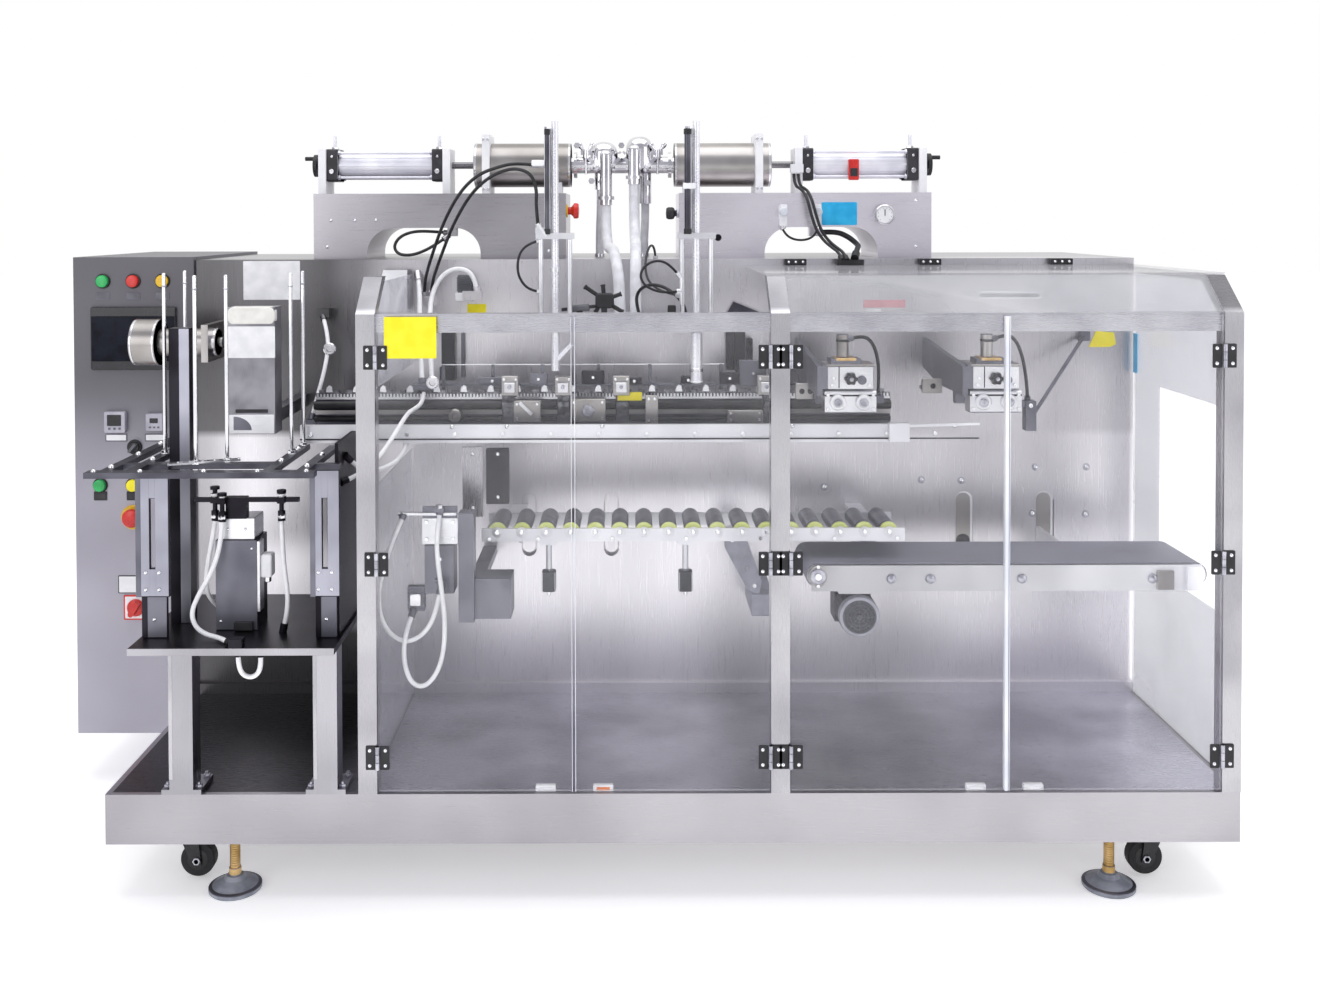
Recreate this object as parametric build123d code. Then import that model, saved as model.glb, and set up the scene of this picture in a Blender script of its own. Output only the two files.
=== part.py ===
from build123d import *
import math
import os

os.makedirs("parts", exist_ok=True)

# Premade pouch packing machine, millimetres, X right, Y back, Z up.
# X is measured from the middle of the base, Y from its front face, Z from the floor.

# Base and deck
base_length = 2400.0
base_depth = 1160.0
base_height = 106.0
base_underside = 124.0
deck_thickness = 4.0
deck_margin = 12.0
base_edge_fillet = 3.0

# Levelling feet
foot_x = 943.0
foot_inset = 58.0
pad_diameter = 112.0
pad_rim_height = 9.0
pad_crown_height = 32.0
spindle_diameter = 20.0
spindle_nut_flats = 32.0
spindle_nut_height = 16.0

# Casters
caster_x = 1058.0
caster_inset = 106.0
caster_plate_size = 76.0
caster_plate_thickness = 5.0
caster_floor_gap = 8.0
caster_trail = 22.0
wheel_diameter = 75.0
wheel_width = 26.0
fork_wall = 4.0
fork_gap = 3.0
kingpin_diameter = 16.0
axle_diameter = 10.0
axle_clearance = 0.05
race_diameter = 46.0
race_gap = 0.5

# Main cabinet
cabinet_front = 600.0
cabinet_top = 1341.0
cabinet_ledge_height = 25.0
cabinet_ledge_depth = 14.0
slot_width = 38.0
slot_height = 155.0
slot_depth = 30.0
slot_z = 656.0
slot_x = [-348.0, -137.0, 771.0, 979.0]
cabinet_fillet = 4.0

# Control cabinet, hung on the left end of the main cabinet
control_width = 307.0
control_front = 590.0
control_bottom = 127.0
control_top = 1349.0
control_door_gap = 3.0
control_door_thickness = 20.0

# Operator fittings on the control cabinet, offsets from its left edge
screen_left = 46.0
screen_width = 216.0
screen_height = 160.0
screen_z = 1142.0
screen_proud = 8.0
controller_size = 52.0
controller_small = 42.0
controller_proud = 14.0
controller_z = 929.0
controller_x = [107.0, 208.0]
button_diameter = 28.0
button_proud = 12.0
bezel_diameter = 38.0
bezel_thickness = 4.0
upper_button_z = 1288.0
upper_button_x = [76.0, 153.0, 228.0]
lower_button_z = 766.0
lower_button_x = [64.0, 148.0, 236.0]
knob_z = 864.0
knob_x = 153.0
stop_z = 684.0
stop_x = 148.0
stop_diameter = 40.0
stop_collar = 62.0
stop_proud = 26.0
switch_z = 452.0
switch_x = 153.0
switch_plate = 62.0
switch_plate_thickness = 4.0
switch_knob = 44.0
switch_knob_proud = 22.0
switch_shaft_diameter = 12.0

# Guard frame
tube = 40.0
guard_beam_top = 1245.0
guard_roof_rise = 80.0
guard_slope_run = 90.0
left_post_x = -644.0
middle_post_x = 228.0
beam_setback = 11.0
pane_thickness = 5.0
pane_gap = 0.3
roof_edge = 15.0
discharge_front = 108.0
discharge_back = 431.0
discharge_bottom = 580.0
discharge_top = 1033.0
roof_hinge_width = 54.0
lane_window_front = 60.0
lane_window_drop = 71.0
lane_window_rise = 60.0

# Guard doors
door_thickness = 8.0
door_bottom_gap = 6.0
door_top_gap = 5.0
door_side_gap = 3.0
door_meeting_gap = 6.0
hinge_height = 50.0
hinge_leaf = 20.0
hinge_leaf_thickness = 3.0
hinge_barrel = 9.0
hinge_pin = 4.0
hinge_pin_clearance = 0.05
hinge_low_margin = 72.0
hinge_high_margin = 86.0
hinge_middle_drop = 13.0
catch_width = 42.0
catch_height = 13.0
catch_depth = 10.0
catch_offset = 61.0

# Roller conveyor
roller_front = 250.0
roller_inner_width = 152.0
roller_rail_height = 30.0
roller_rail_top = 733.0
roller_rail_thickness = 6.0
roller_diameter = 40.0
roller_groove_depth = 2.5
roller_axle = 12.0
roller_count = 17
roller_pitch = 56.25
roller_first_x = -394.0
roller_drop = 8.0
roller_end_margin = 36.0
hanger_x = [-277.0, 39.0]
hanger_rod = 14.0
hanger_rod_length = 75.0
hanger_block = 30.0
hanger_block_height = 44.0
roller_web_drop = 90.0

# Belt conveyor
belt_front = 200.0
belt_width = 196.0
belt_left = 308.0
belt_right = 1217.0
belt_top = 663.0
belt_thickness = 3.0
belt_rail_height = 58.0
belt_rail_thickness = 6.0
belt_pulley = 48.0
belt_bearing = 36.0
belt_bearing_proud = 7.0
motor_x = 432.0
motor_z = 538.0
motor_diameter = 92.0
motor_length = 90.0
motor_front = 214.0
motor_plate = 6.0
belt_leg_inset = [200.0, 260.0]
belt_leg_drop = 60.0

# Pouch lane
lane_left = -845.0
lane_right = 538.0
lane_front = 250.0
lane_bar_bottom = 931.0
lane_bar_height = 41.0
lane_bar_thickness = 12.0
lane_wall_y = 400.0
lane_wall_thickness = 12.0
lane_wall_top = 1016.0
lane_bed_thickness = 10.0
lane_slot_count = 12
lane_slot_height = 12.0
chain_height = 17.0
chain_depth = 12.0
chain_tooth = 8.0
chain_pitch = 32.0
bracket_thickness = 12.0
lane_bracket_x = [-760.0, -330.0, 100.0, 500.0]
gripper_x = [-380.0, -247.0, -107.0, 245.0]
gripper_width = 26.0
gripper_height = 46.0
gripper_depth = 14.0

# Sealing stations, two alike
station_x = [408.0, 735.0]
jaw_width = 116.0
jaw_height = 50.0
jaw_depth = 44.0
jaw_bottom = 1005.0
jaw_front = 196.0
jaw_travel = 30.0
jaw_rod = 12.0
jaw_rod_spacing = 76.0
jaw_rod_clearance = 0.05
head_width = 102.0
head_height = 50.0
head_gap = 5.0
head_depth = 54.0
guide_block_depth = 26.0
guide_block_y = 306.0
strip_height = 13.0
strip_width = 68.0
press_cylinder = 26.0
press_cylinder_height = 54.0
gusset_thickness = 12.0
gusset_back_top = 1118.0
gusset_back_bottom = 1065.0
gusset_back_rise = 20.0

# Pouch opening station
opener_x = -505.0
opener_front = 110.0
opener_arm_z = 585.0
opener_column_width = 34.0
opener_column_depth = 40.0
opener_top = 800.0
opener_bottom = 560.0
opener_plate_width = 76.0
opener_plate_height = 56.0
opener_motor = 80.0
opener_body_width = 64.0
opener_body_height = 106.0
opener_body_depth = 60.0
opener_lip_left = -596.0
opener_lip_bottom = 797.0
opener_lip_width = 18.0
opener_lip_thickness = 8.0
opener_hose_block_x = [-514.0, -494.0]
opener_hose_blocks_z = [(18.0, 806.0, 816.0), (22.0, 638.0, 660.0)]
opener_union_block_x = [-576.0, -539.0]
opener_union_block_z = [586.0, 640.0]
opener_union_block_y = [-2.0, 16.0]

# Pouch magazine
magazine_post = 50.0
magazine_post_x = [-1038.0, -733.0]
magazine_foot = 84.0
magazine_foot_thickness = 10.0
table_left = -1126.0
table_right = -700.0
table_front = -60.0
table_back = 330.0
table_bottom = 546.0
table_thickness = 14.0
upright_thickness = 10.0
upright_slot = 12.0
upright_lap = 90.0
upright_places = [(-1129.0, -1059.0, 0.0), (-762.0, -700.0, 0.0)]
shelf_z = 918.0
shelf_thickness = 12.0
shelf_bar_depth = 30.0
shelf_front = -90.0
shelf_left = -1200.0
shelf_right = -732.0
arm_width = 22.0
arm_x = [-1166.0, -1113.0, -832.0, -762.0]
arm_end = [433.0, 296.0, 246.0, 228.0]
rod_diameter = 8.0
rod_top = 1325.0
rod_x = [-1113.0, -1113.0, -1004.0, -945.0, -832.0, -832.0]
rod_y = [135.0, 270.0, 10.0, 33.0, 125.0, 232.0]
rod_bar_y = 21.0
pusher_x = -926.0
pusher_width = 103.0
pusher_bottom = 969.0
pusher_top = 1250.0
pusher_front = 150.0
pusher_depth = 56.0
pusher_sheet = 3.0
pusher_arm_width = 30.0
mast_x = -1073.0
mast_width = 44.0
mast_depth = 40.0
mast_y = 110.0
mast_top = 1207.0
sucker_column_x = -936.0
sucker_column_width = 88.0
sucker_column_depth = 80.0
sucker_column_y = 60.0
sucker_column_top = 755.0
sucker_block_height = 46.0
drive_axis_y = 400.0
drive_axis_z = 1150.0
drive_big_diameter = 111.0
drive_small_diameter = 65.0
drive_left = -1275.0
drive_step = -1215.0
drive_right = -1077.0
drive_shaft_end = -1048.0
drive_shaft = 24.0

# Twin piston filler on the roof of the main cabinet
filler_centre = -107.0
filler_box_inner = 148.0
filler_box_length = 660.0
filler_box_height = 170.0
filler_box_front = 680.0
filler_box_depth = 250.0
filler_box_sheet = 12.0
arch_width = 297.0
arch_height = 80.0
arch_centre = 520.0
cylinder_y = 805.0
cylinder_z = 1589.0
air_inner = 481.0
air_length = 312.0
air_cap = 85.0
air_cap_length = 30.0
air_barrel = 68.0
air_tie_rod = 8.0
air_tie_offset = 33.0
mount_plate_thickness = 20.0
mount_plate_width = 100.0
piston_rod = 18.0
piston_stroke = 50.0
piston_joint = 30.0
piston_joint_length = 24.0
product_inner = 139.0
product_length = 259.0
product_diameter = 118.0
band_thickness = 20.0
band_offset = 24.0
band_width = 132.0
band_rise = 80.0
cap_fitting = 9.0
cap_fitting_rise = 37.0
cap_nut = 16.0
rod_clearance = 0.05
crank_radius = 30.0
crank_thickness = 10.0
crank_hub = 22.0
crank_hub_length = 20.0
crank_handle = 11.0
crank_handle_length = 26.0
crank_shaft = 12.0
header_tube = 46.0
dome_x = [-157.0, -61.0]
dome_rise = [63.0, 77.0]
dome_diameter = 74.0
outlet_x = [-152.0, -76.0]
outlet_tube = 34.0
outlet_forward = 36.0
outlet_drop = [108, 53]
outlet_top_drop = 24.0
ferrule_diameter = 46.0
ferrule_thickness = 9.0
clamp_diameter = 84.0
clamp_thickness = 9.0
clamp_lean = 40.0
wing_bolt = 7.0
wing_height = 52.0
drain_x = [-167.0, -46.0]
drain_y = 822.0
drain_tube = 34.0
drain_drop = [66.0, 104.0]

# Nozzle lifts
nozzle_x = [-263.0, 68.0]
nozzle_y = 325.0
nozzle_stroke = 60.0
nozzle_arm_z = 1182.0
nozzle_arm_thickness = 16.0
nozzle_arm_width = 90.0
nozzle_column_diameter = 17.0
nozzle_column_top = 1672.0
nozzle_tip = [1088.0, 1059.0]
nozzle_tip_diameter = [16.0, 28.0]
nozzle_clearance = 0.05
guide_post = 12.0
guide_post_spacing = 68.0
guide_post_top = 1397.0
guide_cap_height = 14.0
lift_cylinder = 16.0
lift_cylinder_offset = 17.0
lift_cylinder_top = 1655.0
hose_tie_y = [436.0, 516.0]
branch_diameter = 16.0
branch_reach = 38.0
branch_lean = 40.0

# Side plate of the magazine and the bar of suckers under its shelf
side_plate_x = -714.0
side_plate_thickness = 8.0
side_plate_front = 22.0
side_plate_back = 240.0
side_plate_rise = 410.0
side_plate_round = 60.0
sucker_bar_z = 838.0
sucker_bar_left = -1023.0
sucker_bar_right = -800.0
sucker_x = [-981.0, -962.0, -837.0]
sucker_y = [62.0, 50.0, 58.0]
sucker_low = 797.0
sucker_cup = 20.0
sucker_rise = [33.0, 21.0, 26.0]

# Struts, stops and guides beside the second sealing station
pivot_arm_reach = 70.0
pivot_size = 26.0
strut_diameter = 9.0
strut_top = (1071.0, 590.0, 1144.0)
lane_clamp_x = 526.0
lane_clamp_width = 46.0
guide_length = 165.0
guide_lean = 1.6

# Hoses and tubes: outer diameters, unions and the share of a run given to a bend
bend_share = 0.45
union_wall = 3.0
vacuum_hose = 12.0
sucker_hose = 10.0
air_tube = 8.0
thin_tube = 6.0
conduit = 14.0
product_hose = 28.0
drain_hose = 22.0

pieces = {}
cord_names = []


# Builds a block between two corners.
def block(x0, x1, y0, y1, z0, z1):
    size = (x1 - x0, y1 - y0, z1 - z0)
    centre = ((x0 + x1) / 2, (y0 + y1) / 2, (z0 + z1) / 2)
    return Pos(*centre) * Box(*size)


# Builds a round bar along X, Y or Z from one end to the other.
def bar_x(x0, x1, y, z, diameter):
    return Pos((x0 + x1) / 2, y, z) * Rot(0, 90, 0) * Cylinder(diameter / 2, x1 - x0)


def bar_y(x, y0, y1, z, diameter):
    return Pos(x, (y0 + y1) / 2, z) * Rot(90, 0, 0) * Cylinder(diameter / 2, y1 - y0)


def bar_z(x, y, z0, z1, diameter):
    return Pos(x, y, (z0 + z1) / 2) * Cylinder(diameter / 2, z1 - z0)


# Extrudes an outline drawn in the YZ plane along X.
def side_profile(points, x0, x1):
    face = Plane.YZ * make_face(Polyline(*points, close=True))
    return Pos(x0, 0, 0) * extrude(face, x1 - x0, dir=(1, 0, 0))


# Keeps separate solids of one sub-part together.
def group(solids):
    found = []
    for shape in solids:
        found.extend(shape.solids())
    return Compound(found)


def keep(name, shape):
    pieces[name] = shape


# An upright round tube with a rounded top
def dome(x, y, z0, z1, diameter):
    tube = bar_z(x, y, z0, z1, diameter)
    rim = tube.edges().filter_by(GeomType.CIRCLE).sort_by(Axis.Z)[-1]
    return fillet(rim, diameter * 0.44)


# A straight bar between two points in space
def strut(start, end, diameter):
    way = Vector(*end) - Vector(*start)
    return Plane(origin=start, z_dir=way) * Pos(0, 0, way.length / 2) * Cylinder(diameter / 2, way.length)


# A hose: straight runs joined by arcs that take a share of the shorter run
def hose(name, route, diameter):
    radii = []
    for a, b, c in zip(route, route[1:], route[2:]):
        before = Vector(*b) - Vector(*a)
        after = Vector(*c) - Vector(*b)
        half_turn = math.radians(before.get_angle(after) / 2)
        radii.append(bend_share * min(before.length, after.length) / math.tan(half_turn))
    path = FilletPolyline(*route, radius=radii)
    section = Plane(origin=path @ 0, z_dir=path % 0) * Circle(diameter / 2)
    bends = [round(radius / diameter, 1) for radius in radii]
    print(name, "length", round(path.length), "bend radii in diameters", bends)
    return sweep(section, path)


# A round union that carries on from a hose's end into the piece that holds it
def union(end, inner, length, diameter):
    away = (Vector(*end) - Vector(*inner)).normalized()
    far = Vector(*end) + away * length
    return strut(tuple(Vector(*end)), tuple(far), diameter + 2 * union_wall)


# Base tray with a recess for the deck plate
deck_z = base_underside + base_height
guard_roof_top = guard_beam_top + guard_roof_rise
base_half = base_length / 2
tray = block(-base_half, base_half, 0, base_depth, base_underside, deck_z)
tray = fillet(tray.edges().filter_by(Axis.Z), base_edge_fillet)
recess = block(
    -base_half + deck_margin,
    base_half - deck_margin,
    deck_margin,
    base_depth - deck_margin,
    deck_z - deck_thickness,
    deck_z,
)
tray = tray - recess
caster_y = [caster_inset, base_depth - caster_inset]
caster_places = [(x, y) for x in (-caster_x, caster_x) for y in caster_y]
plate_bottom = base_underside - caster_plate_thickness
for x, y in caster_places:
    half = caster_plate_size / 2
    tray = tray + block(x - half, x + half, y - half, y + half, plate_bottom, base_underside)
keep("base_tray", tray)
keep("deck_plate", recess)

# Levelling feet: ribbed pad, spindle and lock nut
foot_places = [(x, y) for x in (-foot_x, foot_x) for y in (foot_inset, base_depth - foot_inset)]
pad_radius = pad_diameter / 2
pad_profile = [
    (0, 0),
    (pad_radius - 2, 0),
    (pad_radius, 2),
    (pad_radius, pad_rim_height),
    (pad_radius * 0.42, pad_crown_height * 0.75),
    (pad_radius * 0.32, pad_crown_height),
    (0, pad_crown_height),
]
pad_face = Plane.XZ * make_face(Polyline(*pad_profile, close=True))
pad = revolve(pad_face, Axis.Z)
nut_top = base_underside
nut_bottom = nut_top - spindle_nut_height
spindle = bar_z(0, 0, pad_crown_height, base_underside, spindle_diameter)
nut_sketch = RegularPolygon(spindle_nut_flats / 2, 6, major_radius=False)
spindle = spindle + Pos(0, 0, nut_bottom) * extrude(nut_sketch, spindle_nut_height)
collar_top = pad_crown_height + spindle_nut_height
spindle = spindle + bar_z(0, 0, pad_crown_height, collar_top, spindle_nut_flats * 0.8)
foot = pad + spindle
keep("leveling_feet", group([Pos(x, y, 0) * foot for x, y in foot_places]))

# Swivel casters that hang clear of the floor while the feet carry the machine
wheel_z = caster_floor_gap + wheel_diameter / 2
race_bottom = plate_bottom - race_gap
fork_top = race_bottom
fork_outer = wheel_width / 2 + fork_gap + fork_wall
fork_crown = wheel_z + wheel_diameter / 2 + fork_gap
caster_names = ["left_front", "left_rear", "right_front", "right_rear"]
caster_axes = []
for name, place in zip(caster_names, caster_places):
    x, y = place
    side = 1 if x < 0 else -1
    wheel_x = x + side * caster_trail
    caster_axes.append((name, x, y, wheel_x, wheel_z))
    fork = block(
        x - race_diameter / 2,
        x + race_diameter / 2,
        y - fork_outer,
        y + fork_outer,
        fork_crown,
        fork_top,
    )
    for cheek in (-fork_outer, fork_outer - fork_wall):
        cheek_points = [
            (x - race_diameter / 2, fork_top),
            (x + race_diameter / 2, fork_top),
            (wheel_x + axle_diameter, wheel_z - axle_diameter),
            (wheel_x - axle_diameter, wheel_z - axle_diameter),
        ]
        cheek_face = Plane.XZ * make_face(Polyline(*cheek_points, close=True))
        plate = extrude(cheek_face, fork_wall, dir=(0, 1, 0))
        fork = fork + Pos(0, y + cheek, 0) * plate
    fork = fork + bar_y(
        wheel_x,
        y - fork_outer - fork_wall,
        y + fork_outer + fork_wall,
        wheel_z,
        axle_diameter,
    )
    keep("caster_fork_" + name, fork)
    wheel = bar_y(wheel_x, y - wheel_width / 2, y + wheel_width / 2, wheel_z, wheel_diameter)
    wheel = fillet(wheel.edges().filter_by(GeomType.CIRCLE), 3)
    wheel = wheel - bar_y(
        wheel_x,
        y - fork_outer,
        y + fork_outer,
        wheel_z,
        axle_diameter + 2 * axle_clearance,
    )
    keep("caster_wheel_" + name, wheel)

# Main cabinet with vertical obround slots in its front panel and a ledge at its foot
cabinet = block(-base_half, base_half, cabinet_front, base_depth, deck_z, cabinet_top)
ledge_front = cabinet_front - cabinet_ledge_depth
ledge_top = deck_z + cabinet_ledge_height
cabinet = cabinet + block(-base_half, base_half, ledge_front, cabinet_front, deck_z, ledge_top)
for x in slot_x:
    slot_face = Plane.XZ * Pos(x, slot_z) * SlotOverall(slot_height, slot_width, rotation=90)
    cabinet = cabinet - Pos(0, cabinet_front, 0) * extrude(slot_face, slot_depth, dir=(0, 1, 0))
# Valve block, pressure switch and hose tee on the cabinet's face, glands on its top
valve_top = 1250.0
cabinet = cabinet + block(-627, -583, cabinet_front - 40, cabinet_front, valve_top - 25, valve_top)
switch_top = 1262.0
cabinet = cabinet + block(-512, -464, cabinet_front - 36, cabinet_front, switch_top - 22, switch_top)
cabinet = cabinet + block(-882, -850, cabinet_front - 36, cabinet_front, 1196, 1218)
outer_bundle = [
    (-316, 325, 1571),
    (-356, 321, 1575),
    (-397, 329, 1566),
    (-439, 347, 1552),
    (-475, 371, 1527),
    (-505, 400, 1493),
    (-532, 435, 1452),
    (-555, 470, 1410),
    (-578, 510, 1360),
    (-599, 551, 1312),
    (-608, 573, 1283),
    (-610, 579, valve_top + 11),
]
inner_bundle = [
    (-303, 325, 1432),
    (-307, 316, 1473),
    (-304, 304, 1514),
    (-317, 298, 1550),
    (-353, 302, 1563),
    (-393, 319, 1554),
    (-431, 345, 1534),
    (-466, 376, 1503),
    (-495, 411, 1465),
    (-522, 448, 1422),
    (-546, 488, 1375),
    (-569, 530, 1328),
    (-587, 564, 1288),
    (-592, 577, valve_top + 11),
]
cable_loop = [
    (-22, 652, cabinet_top + 8),
    (-25, 640, 1372),
    (-36, 604, 1377),
    (-46, 566, 1355),
    (-50, 530, 1321),
    (-44, 492, 1292),
    (-26, 450, 1275),
    (0, 395, 1266),
    (24, 346, 1263),
]
drain_hoses = []
for x, drop in zip(drain_x, drain_drop):
    top = cylinder_z - drop
    low = cabinet_top + 8
    first_bend = top - (top - low) * 0.34
    second_bend = top - (top - low) * 0.67
    drain_hoses.append(
        [
            (x, drain_y, top),
            (x, drain_y, first_bend),
            (x - 3, drain_y + 2, second_bend),
            (x - 3, drain_y, low),
        ]
    )
cabinet = cabinet + union(outer_bundle[-1], outer_bundle[-2], 15, air_tube)
cabinet = cabinet + union(inner_bundle[-1], inner_bundle[-2], 15, air_tube)
cabinet = cabinet + union((-479, 576, 1273), (-484, 573, 1299), 14, vacuum_hose)
cabinet = cabinet + union((-625, 578, 1288), (-617, 550, 1262), 30, vacuum_hose)
cabinet = cabinet + union((-862, 562, 1190), (-850, 541, 1166), 16, sucker_hose)
keep("main_cabinet", cabinet)

# Control cabinet with a door on its front
control_right = -base_half
control_left = control_right - control_width
control = block(control_left, control_right, control_front, base_depth, control_bottom, control_top)
gap_depth = control_door_gap
groove_y = control_front + control_door_thickness
groove = block(
    control_left - 1,
    control_right + 1,
    groove_y,
    groove_y + gap_depth,
    control_bottom - 1,
    control_top + 1,
)
groove_core = block(
    control_left + gap_depth,
    control_right - gap_depth,
    groove_y - 1,
    groove_y + gap_depth + 1,
    control_bottom + gap_depth,
    control_top - gap_depth,
)
control = control - (groove - groove_core)
keep("control_cabinet", control)

# Touch screen and temperature controllers
screen_x0 = control_left + screen_left
screen_z0 = screen_z - screen_height / 2
screen = block(
    screen_x0,
    screen_x0 + screen_width,
    control_front - screen_proud,
    control_front,
    screen_z0,
    screen_z0 + screen_height,
)
screen = fillet(screen.edges().filter_by(Axis.Y), 5)
screen_face = block(
    screen_x0 + 12,
    screen_x0 + screen_width - 12,
    control_front - screen_proud,
    control_front - screen_proud + 1.5,
    screen_z0 + 14,
    screen_z0 + screen_height - 14,
)
screen = screen - screen_face
fittings = [screen]
for offset, size in zip(controller_x, (controller_size, controller_small)):
    x = control_left + offset
    case = block(
        x - size / 2,
        x + size / 2,
        control_front - controller_proud,
        control_front,
        controller_z - size / 2,
        controller_z + size / 2,
    )
    fittings.append(chamfer(case.faces().sort_by(Axis.Y)[0].edges(), 2))
keep("control_screen", group(fittings))

# Push buttons, selector knob and emergency stop, each with its bezel
buttons = []
for row_x, row_z in ((upper_button_x, upper_button_z), (lower_button_x, lower_button_z)):
    for offset in row_x:
        x = control_left + offset
        button = bar_y(x, control_front - bezel_thickness, control_front, row_z, bezel_diameter)
        buttons.append(
            button + bar_y(x, control_front - button_proud, control_front, row_z, button_diameter),
        )
knob_place = control_left + knob_x
knob = bar_y(knob_place, control_front - bezel_thickness, control_front, knob_z, bezel_diameter)
knob = knob + block(
    knob_place - button_diameter / 6,
    knob_place + button_diameter / 6,
    control_front - 2 * button_proud,
    control_front,
    knob_z - bezel_diameter / 2,
    knob_z + bezel_diameter / 2,
)
buttons.append(knob)
stop_place = control_left + stop_x
stop = bar_y(stop_place, control_front - bezel_thickness, control_front, stop_z, stop_collar)
stop = stop + bar_y(stop_place, control_front - stop_proud, control_front, stop_z, stop_diameter * 0.6)
stop = stop + bar_y(
    stop_place,
    control_front - stop_proud,
    control_front - stop_proud / 2,
    stop_z,
    stop_diameter,
)
buttons.append(stop)
switch_place = control_left + switch_x
plate_front = control_front - switch_plate_thickness
buttons.append(
    block(
        switch_place - switch_plate / 2,
        switch_place + switch_plate / 2,
        plate_front,
        control_front,
        switch_z - switch_plate / 2,
        switch_z + switch_plate / 2,
    )
)
keep("push_buttons", group(buttons))

# Rotary main switch, turned on its own shaft
switch_gap = 0.3
knob_back = plate_front - switch_gap
knob_front = knob_back - switch_knob_proud
switch = bar_y(switch_place, knob_back - switch_knob_proud / 2, knob_back, switch_z, switch_knob)
switch = switch + block(
    switch_place - switch_knob / 6,
    switch_place + switch_knob / 6,
    knob_front,
    knob_back - switch_knob_proud / 2,
    switch_z - switch_knob / 2,
    switch_z + switch_knob / 2,
)
keep("rotary_switch", switch)

# Guard posts of square tube
post_half = tube / 2
right_post_x = base_half - post_half
post_places = [left_post_x, middle_post_x, right_post_x]
posts = [block(x - post_half, x + post_half, 0, tube, deck_z, guard_beam_top) for x in post_places]
keep("guard_posts", group(posts))

# Front beams set back behind the doors, sloping tubes and the roof edge
beam_bottom = guard_beam_top - tube
bays = [
    (left_post_x + post_half, middle_post_x - post_half),
    (middle_post_x + post_half, right_post_x - post_half),
]
rails = [block(x0, x1, beam_setback, tube, beam_bottom, guard_beam_top) for x0, x1 in bays]
slope_points = [
    (0, guard_beam_top),
    (tube, guard_beam_top),
    (guard_slope_run + tube, guard_roof_top - pane_thickness - pane_gap),
    (guard_slope_run, guard_roof_top - pane_thickness - pane_gap),
]
for x in post_places:
    rails.append(side_profile(slope_points, x - post_half, x + post_half))
rail_under = guard_roof_top - pane_thickness - pane_gap
rails.append(
    block(
        right_post_x + post_half - roof_edge,
        right_post_x + post_half,
        guard_slope_run + tube,
        cabinet_front,
        rail_under - roof_edge,
        rail_under,
    )
)
keep("guard_rails", group(rails))

# Clear panes: roof, sloping window, left end and partition behind the middle post
roof_pane = block(
    middle_post_x - post_half,
    right_post_x + post_half,
    guard_slope_run,
    cabinet_front - pane_gap,
    guard_roof_top - pane_thickness,
    guard_roof_top,
)
window_points = [
    (0, guard_beam_top + pane_gap),
    (pane_thickness * 1.5, guard_beam_top + pane_gap),
    (guard_slope_run + pane_thickness * 1.5, rail_under),
    (guard_slope_run, rail_under),
]
window = side_profile(window_points, bays[1][0] + pane_gap, bays[1][1] - pane_gap)
end_points = [
    (tube + pane_gap, deck_z),
    (cabinet_front - cabinet_ledge_depth - pane_gap, deck_z),
    (cabinet_front - cabinet_ledge_depth - pane_gap, guard_roof_top),
    (guard_slope_run + tube + pane_gap, guard_roof_top),
    (guard_slope_run + tube + pane_gap, rail_under - pane_gap),
    (tube + pane_gap, guard_beam_top - pane_gap),
]
panes = [roof_pane, window]
keep("clear_panes", group(panes))


# Folds an end pane round the frame, from the deck to the roof.
def end_pane(x, top):
    back = cabinet_front - cabinet_ledge_depth - pane_gap
    points = [
        (tube + pane_gap, deck_z),
        (back, deck_z),
        (back, top),
        (guard_slope_run + tube + pane_gap, top),
        (tube + pane_gap, guard_beam_top - pane_gap),
    ]
    return side_profile(points, x - pane_thickness / 2, x + pane_thickness / 2)


pane_top = rail_under - roof_edge - pane_gap
lane_cut = block(
    left_post_x - tube,
    left_post_x + tube,
    lane_window_front,
    cabinet_front,
    lane_bar_bottom - lane_window_drop,
    lane_wall_top + lane_window_rise,
)
keep("end_pane", end_pane(left_post_x, pane_top) - lane_cut)
right_pane_x = right_post_x + post_half - pane_thickness / 2
discharge_cut = block(
    right_pane_x - tube,
    right_pane_x + tube,
    discharge_front,
    discharge_back,
    discharge_bottom,
    discharge_top,
)
keep("discharge_pane", end_pane(right_pane_x, pane_top) - discharge_cut)

# Guard doors, each a clear sheet with its own hinge leaves
door_bottom = deck_z + door_bottom_gap
door_top = guard_beam_top - door_top_gap
hinge_low_z = door_bottom + hinge_low_margin
hinge_high_z = door_top - hinge_high_margin
hinge_z = [hinge_low_z, (hinge_low_z + hinge_high_z) / 2 - hinge_middle_drop, hinge_high_z]
barrel_y = -hinge_barrel / 2
door_specs = []
for x0, x1 in bays:
    middle = (x0 + x1) / 2
    door_specs.append((x0, middle - door_meeting_gap / 2, 1))
    door_specs.append((x1, middle + door_meeting_gap / 2, -1))


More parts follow.
